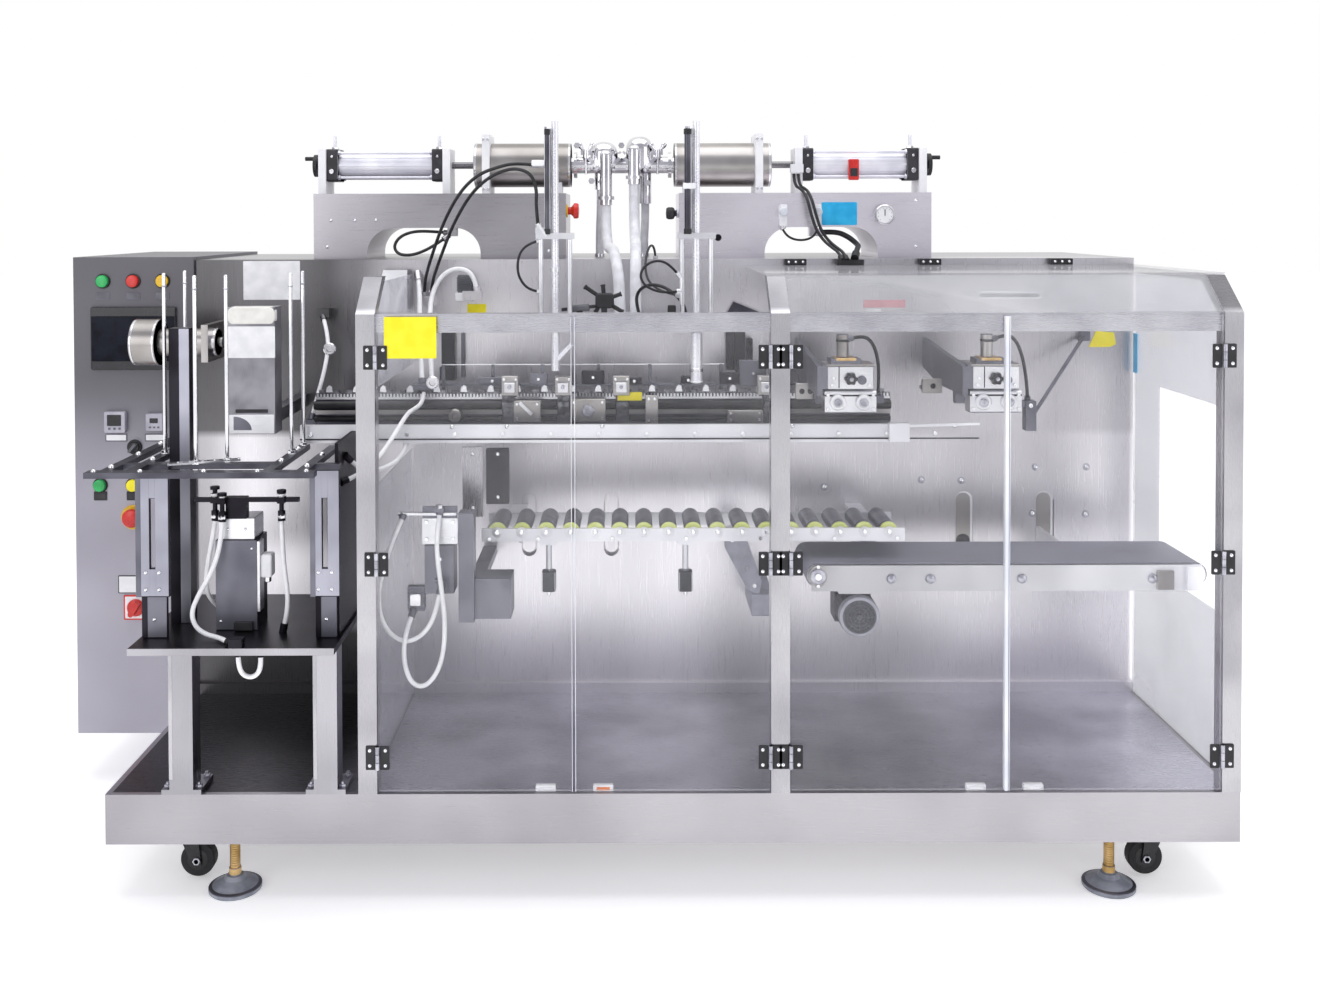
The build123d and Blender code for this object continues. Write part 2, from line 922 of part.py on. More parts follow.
# One leaf with its share of the barrel; side points away from the pin.
def hinge_half(pin_x, z, side, share):
    lean = side * (hinge_barrel / 2 - 1)
    leaf = block(
        min(pin_x + lean, pin_x + side * (hinge_leaf + hinge_barrel / 2)),
        max(pin_x + lean, pin_x + side * (hinge_leaf + hinge_barrel / 2)),
        -hinge_leaf_thickness,
        0,
        z - hinge_height / 2,
        z + hinge_height / 2,
    )
    third = hinge_height / 3
    spans = [(z - third / 2, z + third / 2)]
    if share == "outer":
        spans = [(z - hinge_height / 2, z - third / 2 - 0.3), (z + third / 2 + 0.3, z + hinge_height / 2)]
    for low, high in spans:
        leaf = leaf + bar_z(pin_x, barrel_y, low, high, hinge_barrel)
        wing_x = pin_x + side * hinge_barrel / 2
        wing = block(min(pin_x, wing_x), max(pin_x, wing_x), -hinge_leaf_thickness, 0, low, high)
        leaf = leaf + wing
    clear_low = z - third / 2 - 0.3
    clear_high = z + third / 2 + 0.3
    if share == "outer":
        room = bar_z(pin_x, barrel_y, clear_low, clear_high, hinge_barrel + 1)
        leaf = leaf - room
    else:
        room_low = bar_z(pin_x, barrel_y, z - hinge_height / 2 - 1, z - third / 2, hinge_barrel + 1)
        room_high = bar_z(pin_x, barrel_y, z + third / 2, z + hinge_height / 2 + 1, hinge_barrel + 1)
        leaf = leaf - room_low - room_high
    return leaf


# The pin belongs to the fixed half and the moving half turns on it.
fixed_hinges = []
door_hinge_x = []
for index, (hang_x, free_x, side) in enumerate(door_specs, start=1):
    pin_x = hang_x + side * door_side_gap / 2
    door_hinge_x.append((pin_x, side))
    near = hang_x + side * door_side_gap
    sheet = block(min(near, free_x), max(near, free_x), 0, door_thickness, door_bottom, door_top)
    door = sheet
    for z in hinge_z:
        bore = bar_z(
            pin_x,
            barrel_y,
            z - hinge_height,
            z + hinge_height,
            hinge_pin + 2 * hinge_pin_clearance,
        )
        door = door + (hinge_half(pin_x, z, side, "middle") - bore)
        half = hinge_half(pin_x, z, -side, "outer")
        half = half + bar_z(pin_x, barrel_y, z - hinge_height / 2, z + hinge_height / 2, hinge_pin)
        fixed_hinges.append(half)
    keep("door_" + str(index), door)

# Roof hinges over the cabinet edge
hinge_run = right_post_x - middle_post_x
for share in (0.11, 0.47, 0.82):
    x = middle_post_x + hinge_run * share
    hinge_block = block(
        x - roof_hinge_width / 2,
        x + roof_hinge_width / 2,
        cabinet_front - 24,
        cabinet_front,
        guard_roof_top + pane_gap,
        guard_roof_top + pane_gap + 6,
    )
    hinge_block = hinge_block + block(
        x - roof_hinge_width / 2,
        x + roof_hinge_width / 2,
        cabinet_front - 6,
        cabinet_front,
        guard_roof_top + pane_gap,
        cabinet_top - 1,
    )
    fixed_hinges.append(hinge_block)

# Magnetic catches at the foot of the doors
catches = []
for x0, x1 in bays:
    middle = (x0 + x1) / 2
    for side in (-1, 1):
        x = middle + side * catch_offset
        catch_y = door_thickness + 2
        catches.append(
            block(
                x - catch_width / 2,
                x + catch_width / 2,
                catch_y,
                catch_y + catch_depth,
                deck_z,
                deck_z + catch_height,
            )
        )
# Cable gland block on the roof pane behind the middle post
gland_z0 = guard_roof_top + pane_gap
gland_z1 = gland_z0 + 14
gland = block(434, 502, 544, 586, gland_z0, gland_z1)
gland = fillet(gland.edges().filter_by(Axis.Z), 8)
first_drop = [
    (361, 745, 1562),
    (362, 741, 1543),
    (365, 722, 1528),
    (370, 694, 1523),
    (377, 668, 1514),
    (384, 646, 1492),
    (392, 634, 1455),
    (404, 629, 1414),
    (423, 622, 1386),
    (441, 602, 1369),
    (454, 579, 1358),
    (457, 568, gland_z1 + 8),
]
second_drop = [(x - 12, y, z) for x, y, z in first_drop]
arch_conduit = [
    (422, 712, 1407),
    (456, 706, 1409),
    (484, 690, 1396),
    (500, 662, 1380),
    (501, 626, 1372),
    (493, 593, 1370),
    (485, 571, gland_z1 + 16),
    (483, 566, gland_z1 + 4),
]
arch_conduit = arch_conduit[:-1]
gland = gland + union(first_drop[-1], first_drop[-2], 14, air_tube)
gland = gland + union(second_drop[-1], second_drop[-2], 14, air_tube)
gland = gland + union(arch_conduit[-1], arch_conduit[-2], 22, conduit)
gland = gland - block(400, 540, 500, 620, deck_z, gland_z0)
keep("door_hardware", group(fixed_hinges + catches + [gland]))

# Roller conveyor frame
rail_bottom = roller_rail_top - roller_rail_height
roller_back = roller_front + 2 * roller_rail_thickness + roller_inner_width
roller_z = roller_rail_top - roller_drop
roller_last_x = roller_first_x + (roller_count - 1) * roller_pitch
rail_x0 = roller_first_x - roller_end_margin
rail_x1 = roller_last_x + roller_end_margin
frame = group([])
front_rail = block(
    rail_x0,
    rail_x1,
    roller_front,
    roller_front + roller_rail_thickness,
    rail_bottom,
    roller_rail_top,
)
back_rail = block(
    rail_x0,
    rail_x1,
    roller_back - roller_rail_thickness,
    roller_back,
    rail_bottom,
    roller_rail_top,
)
tie_y0 = roller_front + roller_rail_thickness
tie_y1 = roller_back - roller_rail_thickness
frame = front_rail + back_rail
for x in (rail_x0 + 7, rail_x1 - 7):
    frame = frame + bar_y(x, tie_y0, tie_y1, rail_bottom + 8, 10)
for x in (rail_x0 + 60, rail_x1 - 60):
    arm = block(x - 20, x + 20, roller_back, cabinet_front, rail_bottom, rail_bottom + 10)
    web = side_profile(
        [
            (roller_back, rail_bottom),
            (cabinet_front, rail_bottom),
            (cabinet_front, rail_bottom - roller_web_drop),
        ],
        x - 4,
        x + 4,
    )
    frame = frame + arm + web
for index in range(roller_count):
    x = roller_first_x + index * roller_pitch
    hole = bar_y(x, roller_front - 1, roller_back + 1, roller_z, roller_axle)
    frame = frame - hole
for x in hanger_x:
    rod_y_place = roller_front + roller_rail_thickness + 20
    rod_bottom = rail_bottom - hanger_rod_length
    frame = frame + block(x - 18, x + 18, roller_front, rod_y_place + 20, rail_bottom - 8, rail_bottom)
    frame = frame + bar_z(x, rod_y_place, rod_bottom, rail_bottom - 4, hanger_rod)
    half = hanger_block / 2
    frame = frame + block(
        x - half,
        x + half,
        rod_y_place - half,
        rod_y_place + half,
        rod_bottom - hanger_block_height,
        rod_bottom,
    )
keep("roller_frame", frame)

# Rollers with a belt groove near the front end, on fixed axles
rollers = []
for index in range(roller_count):
    x = roller_first_x + index * roller_pitch
    roller = bar_y(x, tie_y0 + 1, tie_y1 - 1, roller_z, roller_diameter)
    groove_ring = bar_y(x, tie_y0 + 12, tie_y0 + 18, roller_z, roller_diameter)
    core = bar_y(x, tie_y0 + 12, tie_y0 + 18, roller_z, roller_diameter - 2 * roller_groove_depth)
    roller = roller - (groove_ring - core)
    roller = roller + bar_y(x, roller_front - 2, roller_back + 2, roller_z, roller_axle)
    rollers.append(roller)
keep("rollers", group(rollers))

# Belt conveyor: side rails, pulleys inside the belt loop, flanged bearings
belt_back = belt_front + belt_width + 2 * belt_rail_thickness
rail_top = belt_top - 4
rail_low = rail_top - belt_rail_height
pulley_z = belt_top - belt_thickness - belt_pulley / 2
pulley_x = [belt_left + belt_pulley / 2 + belt_thickness, belt_right - belt_pulley / 2 - belt_thickness]
conveyor = group([])
rail_pair = []
for y0 in (belt_front, belt_back - belt_rail_thickness):
    side_rail = block(belt_left + 14, belt_right - 14, y0, y0 + belt_rail_thickness, rail_low, rail_top)
    rail_pair.append(side_rail)
conveyor = rail_pair[0] + rail_pair[1]
in_y0 = belt_front + belt_rail_thickness
in_y1 = belt_back - belt_rail_thickness
for x in pulley_x:
    conveyor = conveyor + bar_y(x, in_y0, in_y1, pulley_z, belt_pulley - 0.6)
    conveyor = conveyor + bar_y(x, belt_front - belt_bearing_proud, belt_front, pulley_z, belt_bearing)
for x in (belt_left + belt_leg_inset[0], belt_right - belt_leg_inset[1]):
    leg_web = side_profile(
        [
            (belt_back, rail_low),
            (belt_back, rail_top - 6),
            (cabinet_front, rail_top - 6),
            (cabinet_front, rail_low - belt_leg_drop),
        ],
        x - 5,
        x + 5,
    )
    conveyor = conveyor + leg_web
motor_seat = block(motor_x - 50, motor_x + 50, belt_front, belt_back, rail_low - motor_plate, rail_low)
conveyor = conveyor + motor_seat
keep("belt_frame", conveyor)
loop_outer_height = belt_pulley + 2 * belt_thickness
loop_z = pulley_z
loop_length = pulley_x[1] - pulley_x[0]
outer_sketch = SlotCenterToCenter(loop_length, loop_outer_height)
inner_sketch = SlotCenterToCenter(loop_length, belt_pulley)
loop_face = Plane.XZ * Pos((pulley_x[0] + pulley_x[1]) / 2, loop_z) * (outer_sketch - inner_sketch)
belt = Pos(0, in_y0 + 1, 0) * extrude(loop_face, in_y1 - in_y0 - 2, dir=(0, 1, 0))
keep("conveyor_belt", belt)

# Gear motor under the belt conveyor
motor = bar_y(motor_x, motor_front, motor_front + motor_length, motor_z, motor_diameter)
motor = fillet(motor.edges().filter_by(GeomType.CIRCLE).sort_by(Axis.Y)[0], 8)
gear_y0 = motor_front + motor_length
gearbox = block(motor_x - 42, motor_x + 42, gear_y0, gear_y0 + 70, motor_z - 38, rail_low - motor_plate)
motor = motor + gearbox
keep("belt_motor", motor)

# Pouch lane: light front bar, dark bed and wall, toothed chain, grippers
bar_top = lane_bar_bottom + lane_bar_height
lane_bar = block(
    lane_left,
    lane_right,
    lane_front,
    lane_front + lane_bar_thickness,
    lane_bar_bottom,
    bar_top,
)
clamp_x0 = lane_clamp_x - lane_clamp_width / 2
clamp_x1 = lane_clamp_x + lane_clamp_width / 2
clamp_front = lane_front - 18
lane_bar = lane_bar + block(clamp_x0, clamp_x1, clamp_front, lane_front, lane_bar_bottom + 3, bar_top + 4)
guide_box = block(0, guide_length, lane_front - 10, lane_front - 5, bar_top - 6, bar_top)
guide_hinge = Pos(clamp_x1 - 3, 0, bar_top) * Rot(0, -guide_lean, 0) * Pos(0, 0, -bar_top)
lane_bar = lane_bar + guide_hinge * guide_box
drop_hose = [
    (-604, lane_front + lane_bar_thickness / 2, lane_bar_bottom - 6),
    (-610, 238, 902),
    (-632, 192, 888),
    (-656, 142, 888),
    (-680, 106, 900),
    (-694, 88, 921),
]
lane_bar = lane_bar + union(drop_hose[0], drop_hose[1], 9, sucker_hose - union_wall)
keep("lane_bar", lane_bar)
bed_y0 = lane_front + lane_bar_thickness
wall_back = lane_wall_y + lane_wall_thickness
bed = block(lane_left, lane_right, bed_y0, wall_back, lane_bar_bottom, lane_bar_bottom + lane_bed_thickness)
bed = bed + block(lane_left, lane_right, lane_wall_y, wall_back, lane_bar_bottom, lane_wall_top)
slot_pitch = (lane_right - lane_left) / lane_slot_count
for index in range(lane_slot_count):
    x = lane_left + (index + 0.5) * slot_pitch
    z = lane_bar_bottom + 48
    bed = bed - block(
        x - slot_pitch * 0.36,
        x + slot_pitch * 0.36,
        lane_wall_y,
        lane_wall_y + 5,
        z,
        z + lane_slot_height,
    )
for x in lane_bracket_x:
    bracket_points = [
        (wall_back, lane_bar_bottom),
        (wall_back, lane_wall_top - 20),
        (cabinet_front, lane_wall_top - 20),
        (cabinet_front, lane_bar_bottom - 50),
    ]
    bed = bed + side_profile(bracket_points, x - bracket_thickness / 2, x + bracket_thickness / 2)
chain_top = lane_wall_top + chain_height
# Bracket over the chain that holds the hoses, and a stop block at the lane's left end
hose_bracket_x0 = -608.0
hose_bracket_x1 = -556.0
hose_bracket_top = chain_top + 17
hose_bracket_front = lane_wall_y - 34
bed = bed + block(
    hose_bracket_x0,
    hose_bracket_x1,
    wall_back,
    wall_back + 18,
    lane_wall_top - 16,
    hose_bracket_top,
)
bed = bed + block(
    hose_bracket_x0,
    hose_bracket_x1,
    hose_bracket_front,
    wall_back + 18,
    chain_top + 5,
    hose_bracket_top,
)
end_block_top = lane_bar_bottom + 31
bed = bed + block(lane_left - 26, lane_left, lane_wall_y - 4, wall_back + 16, lane_bar_bottom, end_block_top)
arch_hose = [
    (-567, 415, hose_bracket_top + 8),
    (-574, 441, 1106),
    (-580, 470, 1155),
    (-586, 506, 1206),
    (-587, 545, 1250),
    (-574, 562, 1289),
    (-544, 568, 1316),
    (-508, 570, 1319),
    (-484, 573, 1299),
    (-479, 576, 1273),
]
wall_hose = [
    (-591, 415, hose_bracket_top + 8),
    (-598, 440, 1106),
    (-604, 470, 1154),
    (-611, 505, 1206),
    (-617, 550, 1262),
    (-625, 578, 1288),
]
lane_hose = [
    (-580, 374, chain_top - 3),
    (-582, 362, 1008),
    (-592, 322, 1000),
    (-600, 276, 998),
    (-608, 236, 983),
    (-627, 182, 944),
    (-650, 128, 910),
    (-674, 84, 892),
    (-695, 54, 886),
]
tee_hose = [
    (-862, 562, 1190),
    (-850, 541, 1166),
    (-839, 510, 1125),
    (-841, 475, 1072),
    (-850, 442, 1016),
    (-856, 416, end_block_top + 11),
]
bed = bed + union(arch_hose[0], arch_hose[1], 13, vacuum_hose)
bed = bed + union(wall_hose[0], wall_hose[1], 13, vacuum_hose)
bed = bed + union(lane_hose[0], lane_hose[1], 13, sucker_hose)
bed = bed + union(tee_hose[-1], tee_hose[-2], 16, sucker_hose)
keep("lane_bed", bed)
chain = block(
    lane_left,
    lane_right,
    lane_wall_y,
    lane_wall_y + chain_depth,
    lane_wall_top,
    chain_top - chain_tooth,
)
tooth_count = int((lane_right - lane_left) / chain_pitch)
for index in range(tooth_count):
    x = lane_left + (index + 0.5) * chain_pitch
    tooth = block(
        x - chain_pitch / 4,
        x + chain_pitch / 4,
        lane_wall_y,
        lane_wall_y + chain_depth,
        chain_top - chain_tooth,
        chain_top,
    )
    chain = chain + tooth

for x in gripper_x:
    body = block(
        x - gripper_width / 2,
        x + gripper_width / 2,
        lane_wall_y - gripper_depth,
        lane_wall_y,
        lane_wall_top - gripper_height,
        lane_wall_top + 6,
    )
    finger = block(
        x - gripper_width / 2,
        x + gripper_width / 2,
        lane_wall_y - gripper_depth - 26,
        lane_wall_y - gripper_depth,
        lane_wall_top - 18,
        lane_wall_top - 8,
    )
    chain = chain + body + finger
keep("pouch_chain", chain)

# Sealing stations: dark gusset from the cabinet, head block, guided jaw
jaw_top = jaw_bottom + jaw_height
jaw_mid_z = (jaw_bottom + jaw_top) / 2
head_bottom = jaw_top + head_gap
head_top = head_bottom + head_height
guide_y0 = guide_block_y
guide_y1 = guide_block_y + guide_block_depth
mounts = []
for index, x in enumerate(station_x, start=1):
    gusset_x1 = x - jaw_width / 2 - head_gap
    gusset_x0 = gusset_x1 - gusset_thickness
    gusset = side_profile(
        [
            (jaw_front, jaw_mid_z + 14),
            (jaw_front, head_top),
            (cabinet_front, gusset_back_top + gusset_back_rise),
            (cabinet_front, gusset_back_bottom),
            (wall_back + 20, chain_top + 8),
        ],
        gusset_x0,
        gusset_x1,
    )
    head_x0 = x - head_width / 2
    head_x1 = x + head_width / 2
    head_y1 = jaw_front + head_depth
    head = block(gusset_x1, head_x1, jaw_front, head_y1, head_bottom, head_top)
    top_plate = block(gusset_x1, head_x1, jaw_front, head_y1 + 24, head_top, head_top + 4)
    head = head + top_plate
    half = strip_width / 2
    head = head + block(
        x - half - 10,
        x + half - 10,
        jaw_front,
        head_y1,
        head_top + 4,
        head_top + 4 + strip_height,
    )
    press_z = head_top + 4 + strip_height
    head = head + bar_z(
        x - 14,
        jaw_front + head_depth / 2,
        press_z,
        press_z + press_cylinder_height,
        press_cylinder,
    )
    hanger = block(gusset_x1, head_x1, guide_y0, guide_y1, jaw_bottom + 6, head_top)
    for sign in (-1, 1):
        rod_x_place = x + sign * jaw_rod_spacing / 2
        bore = bar_y(rod_x_place, guide_y0 - 1, guide_y1 + 1, jaw_mid_z, jaw_rod + 2 * jaw_rod_clearance)
        hanger = hanger - bore
    screw_x = head_x1 - 26
    hanger = hanger + bar_y(screw_x, jaw_front - 7, jaw_front, head_bottom + head_height * 0.4, 20)
    press_side = jaw_front + head_depth / 2
    if index == 1:
        outlet = head_x1 + 46
        hanger = hanger + block(head_x1, outlet, guide_y0 + 2, guide_y1 - 4, jaw_bottom + 7, jaw_mid_z)
    else:
        outlet = head_x1 + pivot_arm_reach
        pivot_y0 = guide_y0 + 2
        hanger = hanger + block(head_x1, outlet, pivot_y0, guide_y1 - 4, jaw_bottom - 3, jaw_bottom + 11)
        pivot_x0 = outlet - 20
        pivot_top = jaw_bottom + 11
        hanger = hanger + block(pivot_x0, outlet + 4, pivot_y0 - 4, guide_y1 + 2, pivot_top - 70, pivot_top)
    mounts.append(gusset + hanger + head)
    jaw = block(x - jaw_width / 2, x + jaw_width / 2, jaw_front, jaw_front + jaw_depth, jaw_bottom, jaw_top)
    jaw = chamfer(jaw.edges().filter_by(Axis.X), 3)
    for sign in (-1, 1):
        boss_x = x + sign * jaw_width / 4
        jaw = jaw + bar_y(boss_x, jaw_front - 5, jaw_front, jaw_mid_z, jaw_height * 0.7)
        rod_x_place = x + sign * jaw_rod_spacing / 2
        jaw = jaw + bar_y(rod_x_place, jaw_front + jaw_depth, guide_y1 + 12, jaw_mid_z, jaw_rod)
    keep("seal_jaw_" + str(index), jaw)
press_top = head_top + 4 + strip_height + press_cylinder_height
press_ports = [station_x[0] - 14, station_x[1] - 14]
first_press_tube = [
    (press_ports[0] + 23, press_side + 2, press_top - 9),
    (444, 233, press_top - 4),
    (467, 247, 1160),
    (482, 266, 1124),
    (489, 288, 1086),
    (492, 308, jaw_mid_z + 26),
    (493, 316, jaw_mid_z + 8),
]
second_press_tube = [
    (press_ports[1] + 23, press_side + 2, press_top - 9),
    (770, 232, press_top - 1),
    (796, 247, 1163),
    (816, 270, 1126),
    (830, 292, 1086),
    (840, 310, 1044),
    (843, 318, jaw_bottom + 20),
]
mounts[0] = mounts[0] + union(first_press_tube[0], first_press_tube[1], 14, air_tube)
mounts[0] = mounts[0] + union(first_press_tube[-1], first_press_tube[-2], 13, air_tube)
mounts[1] = mounts[1] + union(second_press_tube[0], second_press_tube[1], 14, air_tube)
mounts[1] = mounts[1] + union(second_press_tube[-1], second_press_tube[-2], 14, air_tube)
strut_foot = (station_x[1] + 112, guide_y0 + 14, jaw_bottom - 40)
mounts[1] = mounts[1] + strut(strut_foot, strut_top, strut_diameter)
lug_x, lug_y, lug_z = strut_top
mounts[1] = mounts[1] + block(lug_x - 12, lug_x + 12, lug_y - 8, cabinet_front, lug_z - 14, lug_z + 14)
keep("sealing_stations", group(mounts))

# Pouch opening station on an arm from the cabinet
arm_x0 = opener_x + 40
arm_x1 = arm_x0 + opener_column_width
column_y1 = opener_front + opener_column_depth
opener = block(
    arm_x0,
    arm_x1,
    opener_front + opener_column_depth,
    cabinet_front,
    opener_arm_z,
    opener_arm_z + 20,
)
opener = opener + block(arm_x0, arm_x1, opener_front, column_y1, opener_bottom, opener_top)
opener = opener + block(
    opener_x - opener_column_width,
    arm_x0,
    opener_front + 10,
    column_y1,
    opener_top - 70,
    opener_top - 50,
)
opener = opener + block(
    arm_x1,
    arm_x1 + opener_motor,
    opener_front + 10,
    opener_front + 10 + opener_motor,
    opener_bottom + 5,
    opener_bottom + 5 + opener_motor * 1.1,
)
grip_z1 = opener_top - 70
opener_grip = block(
    opener_x - opener_column_width,
    opener_x - opener_column_width + opener_body_width,
    opener_front,
    opener_front + opener_body_depth,
    grip_z1 - opener_body_height,
    grip_z1,
)
opener_grip = opener_grip + block(
    opener_x - opener_plate_width / 2,
    opener_x + opener_plate_width / 2,
    opener_front,
    opener_front + 6,
    opener_top - 40,
    opener_top - 40 + opener_plate_height,
)
opener_grip = opener_grip + block(
    opener_x - 10,
    opener_x + 10,
    opener_front,
    opener_front + 18,
    opener_top - 50,
    opener_top - 40,
)
left_loop = [
    (-587, 104, 790),
    (-607, 94, 742),
    (-626, 84, 684),
    (-636, 80, 628),
    (-630, 80, 578),
    (-610, 82, 543),
    (-580, 84, 526),
    (-551, 85, 533),
    (-526, 86, 557),
    (-511, 88, 593),
    (-504, 91, 629),
]
right_loop = [
    (-504, 98, 799),
    (-509, 82, 754),
    (-504, 70, 703),
    (-495, 64, 643),
    (-488, 62, 580),
    (-490, 62, 519),
    (-503, 62, 469),
    (-530, 61, 436),
    (-558, 62, 440),
    (-574, 64, 472),
    (-579, 68, 514),
    (-575, 82, 550),
    (-567, 98, 576),
]
plate_mid = opener_top - 40 + opener_plate_height / 2
wing_top = plate_mid + 14
opener_grip = opener_grip + block(
    opener_lip_left,
    opener_x - opener_plate_width / 2,
    opener_front,
    opener_front + opener_lip_thickness,
    opener_lip_bottom,
    wing_top,
)
opener_grip = opener_grip + block(
    opener_lip_left,
    opener_lip_left + opener_lip_width,
    opener_front - opener_lip_thickness,
    opener_front + opener_lip_thickness,
    opener_lip_bottom,
    wing_top,
)
hose_x0, hose_x1 = opener_hose_block_x
for proud, z0, z1 in opener_hose_blocks_z:
    opener_grip = opener_grip + block(hose_x0, hose_x1, opener_front - proud, opener_front, z0, z1)
union_x0, union_x1 = opener_union_block_x
union_y0, union_y1 = opener_union_block_y
union_z0, union_z1 = opener_union_block_z
opener_grip = opener_grip + block(
    union_x0,
    union_x1,
    opener_front + union_y0,
    opener_front + union_y1,
    union_z0,
    union_z1,
)
opener_grip = opener_grip + union(left_loop[0], left_loop[1], 12, sucker_hose)
opener_grip = opener_grip + union(left_loop[-1], left_loop[-2], 14, sucker_hose)
opener_grip = opener_grip + union(right_loop[0], right_loop[1], 12, sucker_hose)
opener_grip = opener_grip + union(right_loop[-1], right_loop[-2], 18, sucker_hose)
keep("opening_station", opener + opener_grip)

# Pouch magazine posts with foot plates
magazine_posts = []
for x in magazine_post_x:
    half = magazine_post / 2
    foot_half = magazine_foot / 2
    post = block(x - half, x + half, 0, magazine_post, deck_z, table_bottom)
    foot = block(
        x - foot_half,
        x + foot_half,
        0,
        magazine_post + 30,
        deck_z,
        deck_z + magazine_foot_thickness,
    )
    magazine_posts.append(post + foot)
keep("magazine_posts", group(magazine_posts))

# Magazine table with slotted side uprights and shelf supports
table_top = table_bottom + table_thickness
table = block(table_left, table_right, table_front, table_back, table_bottom, table_top)
shelf_bottom = shelf_z
upright_split = table_top + upright_lap
for x0, x1, front in upright_places:
    lower = block(
        x0 + 9,
        x1 - 9,
        front + upright_thickness,
        front + 2 * upright_thickness,
        table_top,
        upright_split + 30,
    )
    upper = block(x0, x1, front, front + upright_thickness, upright_split, shelf_bottom)
    x_mid = (x0 + x1) / 2
    slot_half = upright_slot / 2
    slot_y1 = front + upright_thickness
    upper = upper - block(
        x_mid - slot_half,
        x_mid + slot_half,
        front,
        slot_y1,
        upright_split + 60,
        shelf_bottom - 60,
    )
    table = table + lower + upper
side_top = table_top + side_plate_rise
side_plate = block(
    side_plate_x,
    side_plate_x + side_plate_thickness,
    side_plate_front,
    side_plate_back,
    table_top,
    side_top,
)
round_edge = side_plate.edges().filter_by(Axis.X).sort_by(Axis.Z)[-2:].sort_by(Axis.Y)[-1]
side_plate = fillet(round_edge, side_plate_round)
table = table + side_plate
table = table + union(lane_hose[-1], lane_hose[-2], 18, sucker_hose)
table = table + union(drop_hose[-1], drop_hose[-2], 22, sucker_hose)
feed_hose = [
    (sucker_x[1], sucker_y[1], sucker_low),
    (-964, 44, 750),
    (-979, 32, 694),
    (-1004, 20, 650),
    (-1018, 12, 613),
    (-1008, 8, 584),
    (-984, 2, 570),
    (-957, -10, 568),
    (-937, -27, 568),
    (-925, -40, 568),
]
under_loop = [
    (-902, -44, table_bottom - 7),
    (-901, -44, table_bottom - 28),
    (-893, -43, table_bottom - 46),
    (-876, -43, table_bottom - 52),
    (-861, -44, table_bottom - 44),
    (-855, -44, table_bottom - 26),
    (-855, -45, table_bottom - 7),
]
right_sucker_hose = [
    (sucker_x[2], sucker_y[2], sucker_low),
    (-834, 52, 745),
    (-829, 48, 694),
    (-822, 46, 645),
    (-823, 46, 607),
    (-829, 46, table_top + 20),
]
table = table + block(-918, -890, -60, -36, table_top, table_top + 18)
table = table + union(feed_hose[-1], feed_hose[-2], 14, sucker_hose)
table = table + union(under_loop[0], under_loop[1], 12, sucker_hose)
table = table + union(under_loop[-1], under_loop[-2], 12, sucker_hose)
table = table + union(right_sucker_hose[-1], right_sucker_hose[-2], 26, sucker_hose)
keep("magazine_table", table)

# Shelf: front crossbar and four arms
shelf_top = shelf_bottom + shelf_thickness
shelf = block(shelf_left, shelf_right, shelf_front, shelf_front + shelf_bar_depth, shelf_bottom, shelf_top)
for x, end in zip(arm_x, arm_end):
    start = shelf_front + shelf_bar_depth
    shelf = shelf + block(x - arm_width / 2, x + arm_width / 2, start, end, shelf_bottom, shelf_top)
for x0, x1, front in upright_places:
    reach = arm_x[0] if x0 < pusher_x else arm_x[3]
    bridge_y1 = front + 2 * upright_thickness
    shelf = shelf + block(min(x0, reach), max(x1, reach), front, bridge_y1, shelf_bottom, shelf_top)
cross_half = arm_width / 2
shelf = shelf + block(
    arm_x[1],
    arm_x[2],
    rod_bar_y - cross_half,
    rod_bar_y + cross_half,
    shelf_bottom,
    shelf_top,
)
keep("magazine_shelf", shelf)
rods = [bar_z(x, y, shelf_top, rod_top, rod_diameter) for x, y in zip(rod_x, rod_y)]
keep("magazine_rods", group(rods))

# Pouch weight: bent sheet box, open behind, on a guide foot
half = pusher_width / 2
pusher_back = pusher_front + pusher_depth
pusher = block(pusher_x - half, pusher_x + half, pusher_front, pusher_back, pusher_bottom, pusher_top)
hollow = block(
    pusher_x - half + pusher_sheet,
    pusher_x + half - pusher_sheet,
    pusher_front + pusher_sheet,
    pusher_back + 1,
    pusher_bottom - 1,
    pusher_top - pusher_sheet,
)
pusher = pusher - hollow
arm_half = pusher_arm_width / 2
arm_z1 = pusher_bottom + pusher_arm_width
pusher = pusher + block(
    pusher_x - half,
    pusher_x + half,
    pusher_back - pusher_sheet,
    pusher_back,
    pusher_bottom,
    arm_z1 + 20,
)
pusher = pusher + block(
    pusher_x - arm_half,
    pusher_x + arm_half,
    pusher_back,
    cabinet_front,
    pusher_bottom,
    arm_z1,
)
keep("pouch_pusher", pusher)

# Mast beside the magazine and sucker column on the table
mast_half = mast_width / 2
mast = block(mast_x - mast_half, mast_x + mast_half, mast_y, mast_y + mast_depth, table_top, mast_top)
column_half = sucker_column_width / 2
sucker_y1 = sucker_column_y + sucker_column_depth
sucker_column = block(
    sucker_column_x - column_half,
    sucker_column_x + column_half,
    sucker_column_y,
    sucker_y1,
    table_top,
    sucker_column_top,
)
sucker_column = sucker_column + block(
    sucker_column_x - column_half + 6,
    sucker_column_x + column_half - 6,
    sucker_column_y + 6,
    sucker_y1 - 6,
    sucker_column_top,
    sucker_column_top + sucker_block_height,
)
block_top = sucker_column_top + sucker_block_height
bar_y0 = sucker_y[0] - 6
bar_y1 = sucker_y[0] + 6
sucker_column = sucker_column + block(
    sucker_bar_left,
    sucker_bar_right,
    bar_y0,
    bar_y1,
    sucker_bar_z,
    sucker_bar_z + 9,
)
